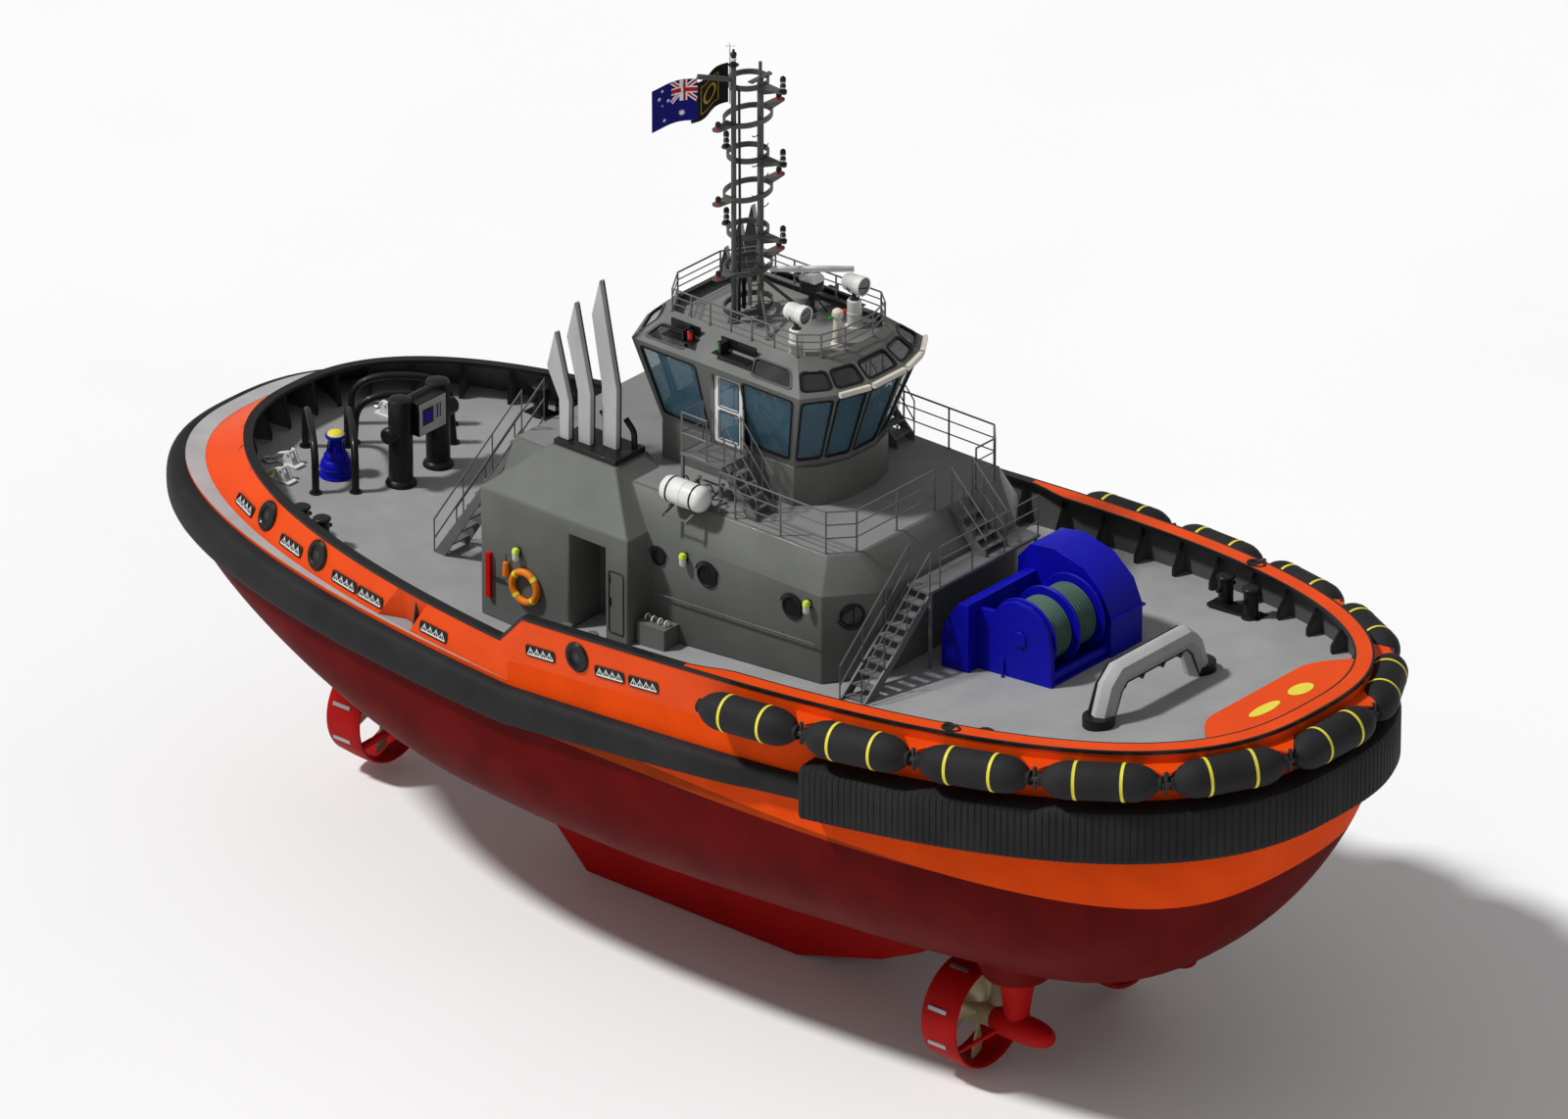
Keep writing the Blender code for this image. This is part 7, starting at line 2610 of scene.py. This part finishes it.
    def build(self) -> None:
        """Makes the pieces."""
        self.staple()
        self.bitt()
        self.capstans()
        self.rope_hoops()
        self.bollard_pairs()
        self.stern_fittings()
        self.rafts()


@dataclass
class Thruster:
    """A steerable thruster: pod, strut, nozzle with anodes and fins, and its propeller."""

    name: str
    x: float
    y: float
    shaft: float = -4.55
    behind: float = 1.23
    pad: float = -3.22
    pitch: float = 2.2
    anodes: tuple = (20, 70, 110, 160, 200, 250, 290, 340)

    def nozzle(self) -> Parts:
        """A ring turned from a foil section: rounded lip ahead, thin trailing edge behind.

        Returns:
            The patches.
        """
        section = [
            (1.2, 0.51), (1.225, 0.49), (1.24, 0.43), (1.25, 0.26), (1.235, -0.1), (1.2, -0.5),
            (1.185, -0.51), (1.155, -0.5),
        ]
        section += [(1.14, -0.25), (1.13, 0.1), (1.13, 0.3), (1.145, 0.43), (1.17, 0.49), (1.2, 0.51)]
        centre = (self.x - self.behind, self.y, self.shaft)
        parts = [turned(section, centre, "X", 96, 0)]
        for angle in np.radians(self.anodes):
            out = np.array((0.0, math.cos(angle), math.sin(angle)))
            along = np.array((1.0, 0.0, 0.0))
            matrix = np.stack((along, np.cross(out, along), out), axis=1)
            anode = box((-0.3, -0.045, 0.0), (0.2, 0.045, 0.035), 2)
            parts.append(anode.moved(matrix, centre + out * 1.235))
        return parts

    def pod(self) -> Parts:
        """The pod, its strut drawn fore and aft like a foil, and the bracket and fins that hold the nozzle.

        Returns:
            The patches.
        """
        centre = (self.x, self.y, self.shaft)
        nose = np.linspace(0, np.pi / 2, 9)
        front = [(0.33 * math.sin(a) ** 0.8, 0.3 + 0.75 * math.cos(a)) for a in nose]
        back = [(0.33, -0.3), (0.31, -0.46), (0.27, -0.58), (0.25, -0.62), (0.0, -0.62)]
        parts = [turned(front + back, centre, "X", 48)]
        levels = np.linspace(0, 1, 9)
        turn = circle(32)
        long = 0.3 + 0.16 * levels**1.6
        wide = 0.24 + 0.22 * levels**2.2
        z = self.shaft + (self.pad - 0.001 - self.shaft) * levels
        strut = np.stack(
            (
                self.x + long[:, None] * np.cos(turn), self.y + wide[:, None] * np.sin(turn),
                np.broadcast_to(z[:, None], (9, 32)),
            ), axis=-1
        )
        column = grid(strut, wrap_v=True)
        column.faces += [np.arange(32) + 8 * 32]
        parts.append(column)
        top = self.shaft + 1.13
        parts.append(
            box((self.x - self.behind - 0.3, self.y - 0.12, top), (self.x, self.y + 0.12, self.pad - 0.035))
        )
        for side in (-1, 1):
            start = (self.x - 0.2, self.y, self.shaft)
            end = (self.x - 0.85, self.y + side * 1.06, self.shaft - 0.55)
            parts.append(tube([start, end], 0.09, 14, flat=0.6))
        return parts

    def blade(self) -> Patch:
        """A blade: at radius r, a foil section of chord c at the angle with tangent pitch over 2 pi r.

        Returns:
            The patch.
        """
        span = np.linspace(0, 1, 15)
        radius = 0.17 + 0.925 * span
        chord = 0.36 + 0.95 * span * (1 - 0.62 * span) - 0.12 * span**6
        thick = 0.09 * (1 - span) + 0.018
        twist = np.arctan(self.pitch / (2 * np.pi * radius))
        around_foil = circle(24)
        along = 0.5 * np.cos(around_foil)[None, :] * chord[:, None]
        out = 0.5 * np.sin(around_foil)[None, :] * thick[:, None] * (1 + 0.3 * np.cos(around_foil))[None, :]
        x = along * np.sin(twist)[:, None] + out * np.cos(twist)[:, None]
        y = along * np.cos(twist)[:, None] - out * np.sin(twist)[:, None]
        rise = np.sqrt(np.clip(radius[:, None] ** 2 - y**2, 0.0, None))
        points = np.stack((x, y, np.where(rise > 0.05, rise, radius[:, None])), axis=-1)
        return grid(points, wrap_v=True, caps=True)

    def build(self) -> None:
        """Makes the unit and its propeller."""
        body = f"thruster_{self.name}"
        # The nozzle and pod wear the hull's red brightened as a painted highlight.
        dress(body, [*self.nozzle(), *self.pod()], [LIT_HULL_RED, DARK, STEEL], body=body, slot="hull_paint")
        centre = (self.x - self.behind, self.y, self.shaft)
        hub = [
            (0.0, 0.6), (0.235, 0.6), (0.24, 0.55), (0.24, -0.1), (0.21, -0.2), (0.15, -0.3), (0.07, -0.35),
            (0.0, -0.36),
        ]
        parts = [turned(hub, centre, "X", 40)]
        for quarter in range(4):
            angle = math.pi / 2 * quarter
            matrix = np.array(
                ((1, 0, 0), (0, math.cos(angle), -math.sin(angle)), (0, math.sin(angle), math.cos(angle)))
            )
            parts.append(self.blade().at((0.1, 0, 0)).moved(matrix, centre))
        name = f"propeller_{self.name}"
        dress(name, parts, [BRONZE], body=name, slot="propeller_bronze")


@dataclass
class Studio:
    """Pale floor, soft light and the camera at the photograph's angle."""

    azimuth: float = 40.5
    elevation: float = 26.5
    distance: float = 362.0
    lens: float = 374.7
    shift_right: float = -0.1076
    shift_up: float = 2.8076
    floor_z: float = -6.06
    floor_half: float = 400.0
    sun_energy: float = 3.1
    sun_degrees: Point = (34, -16, -22)
    sun_spread: float = 6.0
    sky: float = 0.36

    def camera(self) -> None:
        """The camera, on its line of sight through the picture's middle."""
        a, e = math.radians(self.azimuth), math.radians(self.elevation)
        back = Vector((math.sin(a) * math.cos(e), -math.cos(a) * math.cos(e), math.sin(e)))
        right = Vector((math.cos(a), math.sin(a), 0.0))
        up = back.cross(right)
        data = bpy.data.cameras.new("camera")
        data.lens = self.lens
        data.sensor_width = 36.0
        data.clip_end = 2000.0
        obj = bpy.data.objects.new("camera", data)
        bpy.context.scene.collection.objects.link(obj)
        place = right * self.shift_right + up * self.shift_up + back * self.distance
        obj.matrix_world = Matrix.Translation(place) @ Matrix((right, up, back)).transposed().to_4x4()
        bpy.context.scene.camera = obj

    def lights(self) -> None:
        """A broad key from above the starboard quarter, and a pale world."""
        key = bpy.data.lights.new("key", "SUN")
        key.energy = self.sun_energy
        key.angle = math.radians(self.sun_spread)
        obj = bpy.data.objects.new("key", key)
        obj.rotation_euler = [math.radians(turn) for turn in self.sun_degrees]
        bpy.context.scene.collection.objects.link(obj)
        world = bpy.data.worlds.new("studio")
        world.use_nodes = True
        shader = world.node_tree.nodes["Background"]
        shader.inputs[0].default_value = (1.0, 1.0, 1.0, 1.0)
        shader.inputs[1].default_value = self.sky
        bpy.context.scene.world = world

    def floor(self) -> None:
        """A plain pale floor under the keel."""
        size = self.floor_half
        ring = np.array(
            ((-size, -size, 0), (size, -size, 0), (size, size, 0), (-size, size, 0))
        ) + UP * self.floor_z
        pale = Finish(
            "floor_pale", (0.86, 0.86, 0.86), (0.83, 0.83, 0.83), 0.9, patch_scale=0.05, streaks=0.0
        )
        floor = assemble("floor", [disc(ring)], [pale], recalc=False)

    def build(self) -> None:
        """Makes the stage."""
        self.floor()
        self.camera()
        self.lights()
        bpy.context.scene.view_settings.view_transform = "Standard"


def main() -> None:
    """Builds each sub-assembly in order."""
    logging.basicConfig(level=logging.INFO, format="%(name)s %(message)s")
    Studio().build()
    thrusters = [Thruster("stbd", 8.65, -2.45), Thruster("port", 8.65, 2.45), Thruster("aft", -11.05, 0.0)]
    hull_parts = (Hull(), FenderString(), Bulwark())
    house_parts = (Deckhouse(), Wheelhouse(), RoofTop(), Mast(), Flags(), Access())
    for part in (*hull_parts, *house_parts, Winch(), DeckGear(), *thrusters):
        part.build()


if __name__ == "__main__":
    main()
